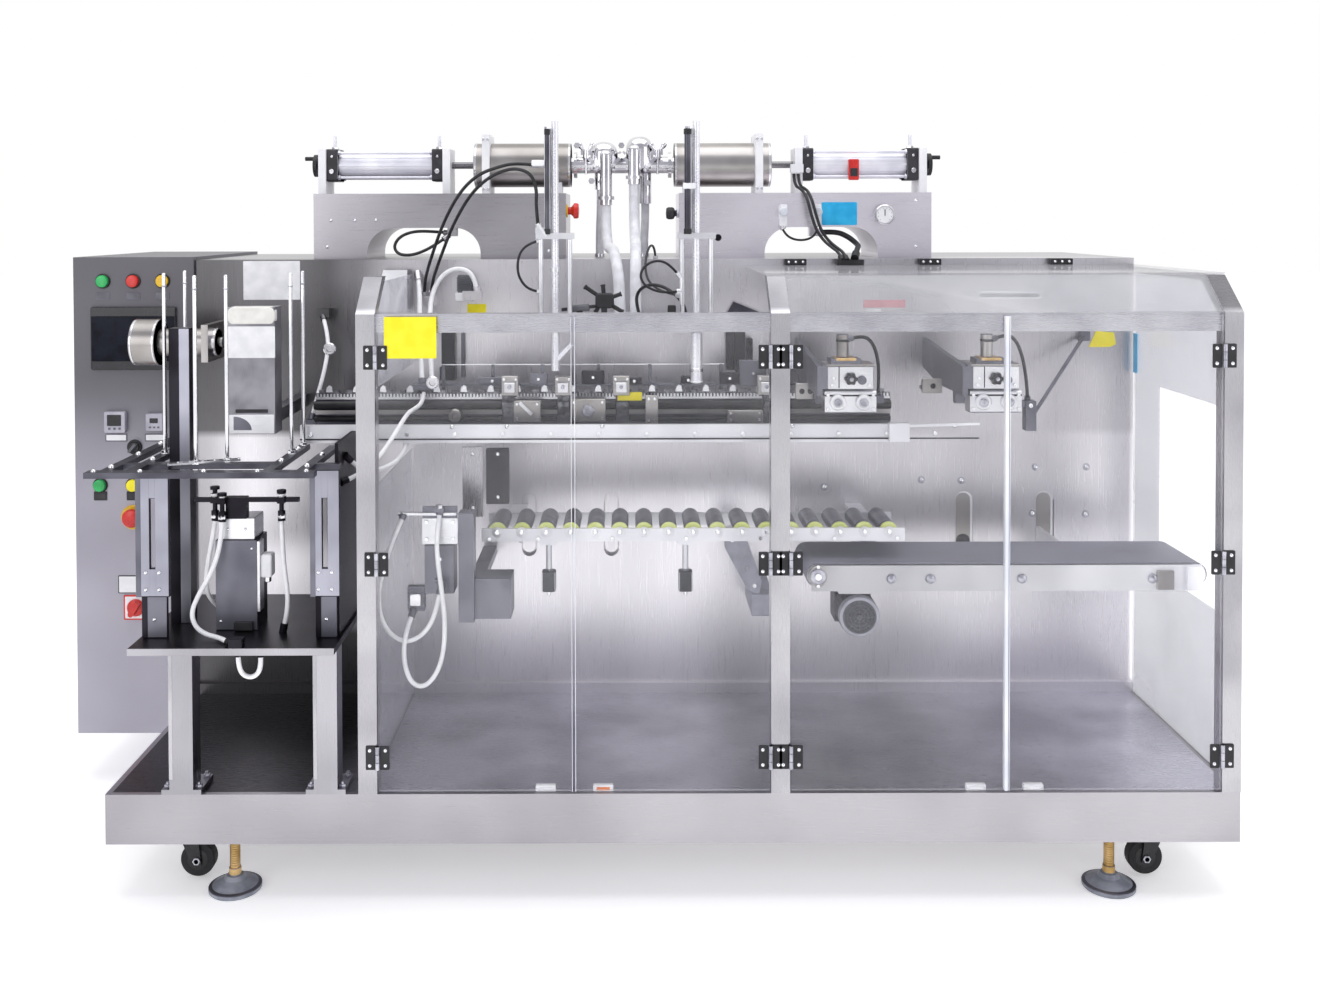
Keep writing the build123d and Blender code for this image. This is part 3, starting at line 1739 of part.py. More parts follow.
lift_post = block(
    sucker_column_x - 22,
    sucker_column_x + 22,
    bar_y0 + 4,
    bar_y1 + 14,
    block_top,
    sucker_bar_z + 9,
)
sucker_column = sucker_column + lift_post
for x, y, rise in zip(sucker_x, sucker_y, sucker_rise):
    holder = block(x - 8, x + 8, min(y - 8, bar_y0), bar_y1, sucker_bar_z - 2, sucker_bar_z + 11)
    stem = bar_z(x, y, sucker_low + 4, sucker_bar_z + rise, sucker_hose)
    nut = bar_z(x, y, sucker_low + 12, sucker_low + 22, sucker_hose + 2 * union_wall)
    cup = bar_z(x, y, sucker_bar_z + rise - 6, sucker_bar_z + rise, sucker_cup)
    sucker_column = sucker_column + holder + stem + nut + cup
column_hose = [
    (sucker_x[0], sucker_y[0], sucker_low),
    (-988, 58, 749),
    (-998, 58, 698),
    (-1004, 66, 652),
    (-999, 82, 620),
    (-986, 98, 600),
]
sucker_column = sucker_column + union(column_hose[-1], column_hose[-2], 18, sucker_hose)
for route in (column_hose, feed_hose, right_sucker_hose):
    sucker_column = sucker_column + union(route[0], route[1], 14, sucker_hose)
keep("magazine_columns", group([mast, sucker_column]))

# Stainless drive cylinder on a bracket from the cabinet
drive = bar_x(drive_left, drive_step, drive_axis_y, drive_axis_z, drive_big_diameter)
drive = drive + bar_x(drive_step, drive_right, drive_axis_y, drive_axis_z, drive_small_diameter)
drive = drive + bar_x(drive_right, drive_shaft_end, drive_axis_y, drive_axis_z, drive_shaft)
cradle_x1 = drive_right - 12
cradle_x0 = cradle_x1 - 16
cradle = block(
    cradle_x0,
    cradle_x1,
    drive_axis_y - drive_small_diameter / 2 - 12,
    cabinet_front,
    drive_axis_z - drive_small_diameter / 2 - 12,
    drive_axis_z + drive_small_diameter / 2 + 12,
)
keep("drive_cylinder", drive + cradle)

# Filler boxes with an arched way through, one each side of the filler's middle
box_floor = cabinet_top
box_top = box_floor + filler_box_height
box_back = filler_box_front + filler_box_depth
boxes = []
for side in (-1, 1):
    inner = filler_centre + side * filler_box_inner
    outer = inner + side * filler_box_length
    x0 = min(inner, outer)
    x1 = max(inner, outer)
    housing = block(x0, x1, filler_box_front, box_back, box_floor, box_top)
    arch_x = filler_centre + side * arch_centre
    arch_half = arch_width / 2
    corner = arch_height * 0.85
    arch_points = [
        (arch_x - arch_half, box_floor),
        (arch_x - arch_half, box_floor + arch_height - corner),
        (arch_x - arch_half + corner, box_floor + arch_height),
        (arch_x + arch_half - corner, box_floor + arch_height),
        (arch_x + arch_half, box_floor + arch_height - corner),
        (arch_x + arch_half, box_floor),
    ]
    left_side = Line(arch_points[0], arch_points[1])
    left_curve = JernArc(arch_points[1], (0, 1), corner, -90)
    top_side = Line(arch_points[2], arch_points[3])
    right_curve = JernArc(arch_points[3], (1, 0), corner, -90)
    right_side = Line(arch_points[4], arch_points[5])
    floor_side = Line(arch_points[5], arch_points[0])
    outline = [left_side, left_curve, top_side, right_curve, right_side, floor_side]
    arch_face = Plane.XZ * make_face(Curve() + outline)
    arch = Pos(0, filler_box_front - 1, 0) * extrude(arch_face, filler_box_depth + 2, dir=(0, 1, 0))
    boxes.append(housing - arch)
# Fitting blocks in the arches, and small valves on the right box's face
ceiling = box_floor + arch_height
coil = [
    (-579, 702, 1409),
    (-621, 694, 1413),
    (-661, 684, 1411),
    (-691, 673, 1397),
    (-704, 666, 1372),
    (-690, 660, 1352),
    (-656, 655, 1350),
    (-623, 655, 1361),
    (-597, 664, 1376),
    (-576, 677, 1391),
]
boxes[0] = boxes[0] + block(-566, -542, 686, 716, ceiling - 22, ceiling)
boxes[0] = boxes[0] + union(coil[0], coil[1], 15, air_tube)
boxes[0] = boxes[0] + union(coil[-1], coil[-2], 20, air_tube)
boxes[1] = boxes[1] + block(384, 411, 698, 726, ceiling - 24, ceiling)
boxes[1] = boxes[1] + union(arch_conduit[0], arch_conduit[1], 16, conduit)
valve_front = filler_box_front - 26
small_loop = [
    (311, valve_front + 13, ceiling - 6),
    (318, valve_front + 9, 1400),
    (343, valve_front + 7, 1387),
    (375, valve_front + 7, 1388),
    (396, valve_front + 10, 1402),
    (400, valve_front + 13, ceiling - 5),
]
for x in (311.0, 400.0):
    boxes[1] = boxes[1] + block(x - 9, x + 9, valve_front, filler_box_front, ceiling + 3, ceiling + 58)
    boxes[1] = boxes[1] + bar_y(x, valve_front - 8, valve_front, ceiling + 40, 22)
boxes[1] = boxes[1] + union(small_loop[0], small_loop[1], 14, thin_tube)
boxes[1] = boxes[1] + union(small_loop[-1], small_loop[-2], 12, thin_tube)
gauge_x = filler_centre + filler_box_inner + filler_box_length - 125
boxes[1] = boxes[1] + bar_y(gauge_x, filler_box_front - 12, filler_box_front, box_floor + 112, 52)
keep("filler_boxes", group(boxes))

# Air cylinders on mounting plates
air = []
plates = []
products = []
rod_names = ["left", "right"]
crank_axes = []
for name, side in zip(rod_names, (-1, 1)):
    near = filler_centre + side * air_inner
    far = near + side * air_length
    x0 = min(near, far)
    x1 = max(near, far)
    barrel = bar_x(x0, x1, cylinder_y, cylinder_z, air_barrel)
    half = air_cap / 2
    for cap0 in (x0, x1 - air_cap_length):
        cap = block(
            cap0,
            cap0 + air_cap_length,
            cylinder_y - half,
            cylinder_y + half,
            cylinder_z - half,
            cylinder_z + half,
        )
        barrel = barrel + chamfer(cap.edges().filter_by(Axis.X), 6)
    for dy in (-air_tie_offset, air_tie_offset):
        for dz in (-air_tie_offset, air_tie_offset):
            barrel = barrel + bar_x(x0, x1, cylinder_y + dy, cylinder_z + dz, air_tie_rod)
    for cap0 in (x0, x1 - air_cap_length):
        nipple_x = cap0 + air_cap_length / 2
        nipple_top = cylinder_z + half + cap_fitting_rise
        barrel = barrel + bar_z(nipple_x, cylinder_y, cylinder_z + half - 4, nipple_top, cap_fitting)
        barrel = barrel + bar_z(nipple_x, cylinder_y, cylinder_z + half - 4, cylinder_z + half + 9, cap_nut)
    rod_room = bar_x(x0 - 1, x1 + 1, cylinder_y, cylinder_z, piston_rod + 2 * rod_clearance)
    barrel = barrel - rod_room
    air.append(barrel)
    # Plates under both ends of the air cylinder
    plate_half = mount_plate_width / 2
    near_plate = near - side * mount_plate_thickness
    far_plate = far + side * mount_plate_thickness
    for a, b in ((near, near_plate), (far, far_plate)):
        plate = block(
            min(a, b),
            max(a, b),
            cylinder_y - plate_half,
            cylinder_y + plate_half,
            box_top,
            cylinder_z + half,
        )
        bore = piston_rod + 2 * rod_clearance
        plate = plate - bar_x(min(a, b) - 1, max(a, b) + 1, cylinder_y, cylinder_z, bore)
        plates.append(plate)
    # Product cylinder with its band plates
    p0 = filler_centre + side * product_inner
    p1 = p0 + side * product_length
    tube_solid = bar_x(min(p0, p1), max(p0, p1), cylinder_y, cylinder_z, product_diameter)
    b0 = p1 - side * band_offset
    b1 = b0 - side * band_thickness
    seat_half = band_width / 2
    band = block(
        min(b0, b1),
        max(b0, b1),
        cylinder_y - seat_half,
        cylinder_y + seat_half,
        box_top,
        cylinder_z + band_rise,
    )
    band = band - bar_x(min(b0, b1) - 1, max(b0, b1) + 1, cylinder_y, cylinder_z, product_diameter)
    plates.append(band)
    saddle_half = product_diameter * 0.3
    c0 = p0 + side * band_offset
    c1 = c0 + side * band_thickness
    saddle = block(
        min(c0, c1),
        max(c0, c1),
        cylinder_y - saddle_half,
        cylinder_y + saddle_half,
        box_top,
        cylinder_z,
    )
    plates.append(saddle - bar_x(min(c0, c1) - 1, max(c0, c1) + 1, cylinder_y, cylinder_z, product_diameter))
    bore_end = p1 - side * (product_length - 40)
    rod_bore = bar_x(
        min(p1, bore_end),
        max(p1, bore_end),
        cylinder_y,
        cylinder_z,
        piston_rod + 2 * rod_clearance,
    )
    tube_solid = tube_solid - rod_bore
    products.append(tube_solid)
    # Piston rod with its coupling between the two cylinders
    r0 = p1 - side * (product_length - 40 - piston_stroke - 20)
    r1 = far - side * (piston_stroke + 40)
    rod = bar_x(min(r0, r1), max(r0, r1), cylinder_y, cylinder_z, piston_rod)
    gap_mid = (p1 + near_plate) / 2
    keep("piston_rod_" + name, rod)
    # Crank on the outer end
    hub0 = far_plate + side * 0.3
    hub1 = hub0 + side * crank_hub_length
    crank = bar_x(min(hub0, hub1), max(hub0, hub1), cylinder_y, cylinder_z, crank_hub)
    disc0 = hub1 - side * crank_thickness
    crank = crank + bar_x(min(disc0, hub1), max(disc0, hub1), cylinder_y, cylinder_z, 2 * crank_radius)
    grip1 = hub1 + side * crank_handle_length
    grip_z = cylinder_z + crank_radius - crank_handle
    crank = crank + bar_x(min(hub1, grip1), max(hub1, grip1), cylinder_y, grip_z, crank_handle)
    pin1 = far_plate - side * 12
    crank = crank + bar_x(min(hub0, pin1), max(hub0, pin1), cylinder_y, cylinder_z, piston_rod)
    keep("crank_" + name, crank)
keep("air_cylinders", group(air))
keep("product_cylinders", group(products))
# Elbow block on the front of the right cylinder's inner plate
for index, plate in enumerate(plates):
    box = plate.bounding_box()
    if box.min.X - 1 < first_drop[0][0] < box.max.X + 1:
        elbow = block(340, box.max.X, box.min.Y - 18, box.min.Y, first_drop[0][2] + 4, first_drop[0][2] + 26)
        plates[index] = plate + elbow
        plates[index] = plates[index] + union(first_drop[0], first_drop[1], 12, air_tube)
        plates[index] = plates[index] + union(second_drop[0], second_drop[1], 12, air_tube)
keep("cylinder_plates", group(plates))

# Valve manifold between the product cylinders: header, two domed elbows, clamps and outlets
span0 = filler_centre - product_inner
span1 = filler_centre + product_inner
body = bar_x(span0, span1, cylinder_y, cylinder_z, header_tube)
for x in (span0 + 12, span1 - 12):
    body = body + bar_x(
        x - clamp_thickness / 2,
        x + clamp_thickness / 2,
        cylinder_y,
        cylinder_z,
        clamp_diameter * 0.85,
    )
dome_radius = dome_diameter / 2
outlet_y = cylinder_y - outlet_forward
for side, x, rise, out_x, drop in zip((-1, 1), dome_x, dome_rise, outlet_x, outlet_drop):
    crown = cylinder_z + rise
    body = body + dome(x, cylinder_y, cylinder_z - 10, crown, dome_diameter)
    outlet_top = crown - outlet_top_drop
    body = body + dome(out_x, outlet_y, cylinder_z - drop, outlet_top, outlet_tube)
    foot = cylinder_z - drop
    body = body + bar_z(out_x, outlet_y, foot + 14, foot + 14 + ferrule_thickness, ferrule_diameter)
    for along, lean in ((-side, clamp_lean), (side, -clamp_lean * 0.6)):
        ring = Rot(0, 90 + along * clamp_lean, 0) * Cylinder(clamp_diameter / 2, clamp_thickness)
        body = body + Pos(x + along * dome_radius * 0.8, cylinder_y, cylinder_z + 4) * ring
    bolt_x = x + side * dome_radius * 1.3
    bolt_y = cylinder_y - clamp_diameter * 0.36
    body = body + bar_z(
        bolt_x,
        bolt_y,
        cylinder_z - wing_height / 2,
        cylinder_z + wing_height / 2,
        wing_bolt,
    )
    wing = block(
        bolt_x - 14,
        bolt_x + 14,
        bolt_y - 3,
        bolt_y + 3,
        cylinder_z + wing_height / 2,
        cylinder_z + wing_height / 2 + 13,
    )
    wing = wing + bar_z(
        bolt_x,
        bolt_y,
        cylinder_z + wing_height / 2 - 7,
        cylinder_z + wing_height / 2 + 2,
        16,
    )
    body = body + wing
for x, drop in zip(drain_x, drain_drop):
    body = body + bar_z(x, drain_y, cylinder_z - drop, cylinder_z + 6, drain_tube)
drain_glands = [union(route[-1], route[-2], 12, drain_hose) - cabinet for route in drain_hoses]
keep("valve_manifold", group([body] + drain_glands))

# Routes of the hoses and tubes that end on the nozzle guides
tie_top = nozzle_arm_z + nozzle_arm_thickness
first_outlet = (outlet_x[0], outlet_y, cylinder_z - outlet_drop[0])
second_outlet = (outlet_x[1], outlet_y, cylinder_z - outlet_drop[1])
left_product = [
    first_outlet,
    (-152, 769, 1431),
    (-149, 742, 1388),
    (-144, 698, 1366),
    (-134, 624, 1368),
    (-127, 568, 1356),
    (-119, 526, 1322),
    (-114, 504, 1276),
    (-112, 498, tie_top + 6),
]
right_product = [
    second_outlet,
    (-76, 769, 1470),
    (-75, 745, 1420),
    (-74, 697, 1388),
    (-73, 620, 1379),
    (-73, 560, 1359),
    (-74, 521, 1323),
    (-74, 502, 1276),
    (-74, 498, tie_top + 6),
]
product_routes = [left_product, right_product]
side_loop = [
    (-308, 324, 1391),
    (-328, 316, 1384),
    (-344, 308, 1366),
    (-350, 304, 1340),
    (-348, 304, 1314),
    (-337, 309, 1292),
    (-322, 317, 1279),
    (-308, 324, 1275),
]
post_loop = [
    (21, 318, 1318),
    (5, 311, 1337),
    (-22, 307, 1348),
    (-50, 307, 1338),
    (-65, 308, 1315),
    (-57, 309, 1291),
    (-32, 312, 1276),
    (-4, 316, 1271),
    (21, 322, 1273),
]
post_tube = [
    (-64, 452, tie_top + 8),
    (-74, 443, 1240),
    (-68, 426, 1270),
    (-44, 405, 1286),
    (-13, 385, 1284),
    (14, 366, 1269),
    (36, 355, 1247),
    (45, 354, 1221),
    (46, 356, tie_top + 8),
]

# Nozzle lifts: arm from the cabinet, guide posts, lift cylinder, tie bar under the hoses
lifts = []
for index, (x, tip, tip_diameter) in enumerate(zip(nozzle_x, nozzle_tip, nozzle_tip_diameter), start=1):
    arm_half = nozzle_arm_width / 2
    arm_top = nozzle_arm_z + nozzle_arm_thickness
    arm = block(x - arm_half, x + arm_half, nozzle_y - 30, cabinet_front, nozzle_arm_z, arm_top)
    for sign in (-1, 1):
        px = x + sign * guide_post_spacing / 2
        arm = arm + bar_z(px, nozzle_y, arm_top, guide_post_top, guide_post)
    cap_bottom = guide_post_top
    cap_top = cap_bottom + guide_cap_height
    cap = block(x - arm_half, x + arm_half, nozzle_y - 12, nozzle_y + 12, cap_bottom, cap_top)
    arm = arm + cap
    lx = x - lift_cylinder_offset
    arm = arm + bar_z(lx, nozzle_y, cap_top, lift_cylinder_top, lift_cylinder)
    room = nozzle_column_diameter + 2 * nozzle_clearance
    arm = arm - bar_z(x, nozzle_y, nozzle_arm_z - 1, cap_top + 1, room)
    if index == 1:
        tie_x1 = nozzle_x[1] - arm_half
        arm = arm + block(x + arm_half, tie_x1, hose_tie_y[0], hose_tie_y[1], nozzle_arm_z, arm_top)
        arm = arm + bar_x(
            outer_bundle[0][0] + 4,
            lx,
            nozzle_y,
            outer_bundle[0][2],
            air_tube + 2 * union_wall,
        )
        arm = arm + union(outer_bundle[0], outer_bundle[1], 10, air_tube)
        arm = arm + block(
            x - 46,
            lx,
            nozzle_y - 8,
            nozzle_y + 8,
            inner_bundle[0][2] - 22,
            inner_bundle[0][2] - 8,
        )
        arm = arm + union(inner_bundle[0], inner_bundle[1], 14, air_tube)
        arm = arm + union(side_loop[0], side_loop[1], 12, thin_tube)
        arm = arm + union(side_loop[-1], side_loop[-2], 12, thin_tube)
        for route in product_routes:
            arm = arm + union(route[-1], route[-2], 14, product_hose)
        arm = arm + union(post_tube[0], post_tube[1], 12, air_tube)
    else:
        arm = arm + union(post_loop[0], post_loop[1], 16, thin_tube)
        arm = arm + union(post_loop[-1], post_loop[-2], 13, thin_tube)
        arm = arm + union(cable_loop[-1], cable_loop[-2], 22, thin_tube)
        arm = arm + union(post_tube[-1], post_tube[-2], 16, air_tube)
    lifts.append(arm)
    nozzle = bar_z(x, nozzle_y, nozzle_arm_z - 10, nozzle_column_top, nozzle_column_diameter)
    if index == 1:
        branch_z = tip + 22
        branch_end = (x + branch_reach, nozzle_y, branch_z + branch_lean)
        nozzle = nozzle + strut((x, nozzle_y, branch_z), branch_end, branch_diameter)
    nozzle = nozzle + bar_z(
        x,
        nozzle_y,
        tip,
        nozzle_arm_z - 6,
        max(tip_diameter, nozzle_column_diameter + 3),
    )
    keep("nozzle_" + str(index), nozzle)
cable_gland = union(cable_loop[0], cable_loop[1], 12, thin_tube) - cabinet
lifts.append(cable_gland)
keep("nozzle_guides", group(lifts))

# White vacuum hoses, black air tubes and milky product hoses
vacuum_routes = [
    ("arch hose", arch_hose, vacuum_hose),
    ("wall hose", wall_hose, vacuum_hose),
    ("lane hose", lane_hose, sucker_hose),
    ("drop hose", drop_hose, sucker_hose),
    ("tee hose", tee_hose, sucker_hose),
    ("column hose", column_hose, sucker_hose),
    ("feed hose", feed_hose, sucker_hose),
    ("under loop", under_loop, sucker_hose),
    ("right sucker hose", right_sucker_hose, sucker_hose),
    ("left loop", left_loop, sucker_hose),
    ("right loop", right_loop, sucker_hose),
]
air_routes = [
    ("outer bundle", outer_bundle, air_tube),
    ("inner bundle", inner_bundle, air_tube),
    ("first drop", first_drop, air_tube),
    ("second drop", second_drop, air_tube),
    ("arch conduit", arch_conduit, conduit),
    ("coil", coil, air_tube),
    ("side loop", side_loop, thin_tube),
    ("post loop", post_loop, thin_tube),
    ("post tube", post_tube, air_tube),
    ("cable loop", cable_loop, thin_tube),
    ("small loop", small_loop, thin_tube),
    ("first press tube", first_press_tube, air_tube),
    ("second press tube", second_press_tube, air_tube),
]
product_hose_routes = [
    ("left product hose", left_product, product_hose),
    ("right product hose", right_product, product_hose),
    ("left drain hose", drain_hoses[0], drain_hose),
    ("right drain hose", drain_hoses[1], drain_hose),
]
cord_groups = {
    "vacuum_hoses": vacuum_routes,
    "air_tubes": air_routes,
    "product_hoses": product_hose_routes,
}
for node, routes in cord_groups.items():
    keep(node, group([hose(name, route, diameter) for name, route, diameter in routes]))
    cord_names.append(node)

# The origin is the middle of the bounding box, at floor level
boxes_found = [shape.bounding_box() for name, shape in pieces.items() if name not in cord_names]
low = [min(getattr(box.min, axis) for box in boxes_found) for axis in "XYZ"]
high = [max(getattr(box.max, axis) for box in boxes_found) for axis in "XYZ"]
origin = ((low[0] + high[0]) / 2, (low[1] + high[1]) / 2, low[2])
shift = Pos(-origin[0], -origin[1], -origin[2])

if __name__ == "__main__":
    for name, shape in pieces.items():
        export_step(shift * shape, "parts/" + name + ".step")
    size = [round(b - a, 1) for a, b in zip(low, high)]
    print("origin", [round(v, 3) for v in origin], "size", size)
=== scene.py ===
import math
import bpy
import numpy as np
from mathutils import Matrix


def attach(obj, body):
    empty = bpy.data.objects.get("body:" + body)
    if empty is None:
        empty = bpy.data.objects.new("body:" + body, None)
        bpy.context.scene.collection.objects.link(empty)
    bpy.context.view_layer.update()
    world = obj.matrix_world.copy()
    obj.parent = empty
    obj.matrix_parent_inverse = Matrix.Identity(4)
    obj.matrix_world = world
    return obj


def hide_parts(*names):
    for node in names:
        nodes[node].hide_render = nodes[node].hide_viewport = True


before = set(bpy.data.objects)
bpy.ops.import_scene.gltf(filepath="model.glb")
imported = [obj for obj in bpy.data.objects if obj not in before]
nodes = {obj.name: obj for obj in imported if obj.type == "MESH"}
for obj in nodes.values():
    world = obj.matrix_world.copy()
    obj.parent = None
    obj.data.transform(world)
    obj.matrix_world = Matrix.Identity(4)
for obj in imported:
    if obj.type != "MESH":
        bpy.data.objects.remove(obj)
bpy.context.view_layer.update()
machineZero = np.array((-145.0, 535.0, 0.0))  # the row frame's origin in the machine's own millimetres


def metres(points):
    # machine millimetres to row-frame metres: subtract the zero, divide by a thousand
    return (np.asarray(points, float) - machineZero) / 1000


# Colours and materials

def linear(hexText):
    # sRGB channel c to linear: c / 12.92 when dark, else ((c + 0.055) / 1.055) to the 2.4
    c = np.array([int(hexText[i:i + 2], 16) for i in (0, 2, 4)]) / 255
    return (*np.where(c <= 0.04045, c / 12.92, ((c + 0.055) / 1.055) ** 2.4), 1.0)


def addNode(tree, kind, settings=None, links=None):
    node = tree.nodes.new(kind)
    for key, value in (settings or {}).items():
        if isinstance(key, str) and hasattr(node, key):
            setattr(node, key, value)
        else:
            node.inputs[key].default_value = value
    for key, source in (links or {}).items():
        tree.links.new(source, node.inputs[key])
    return node


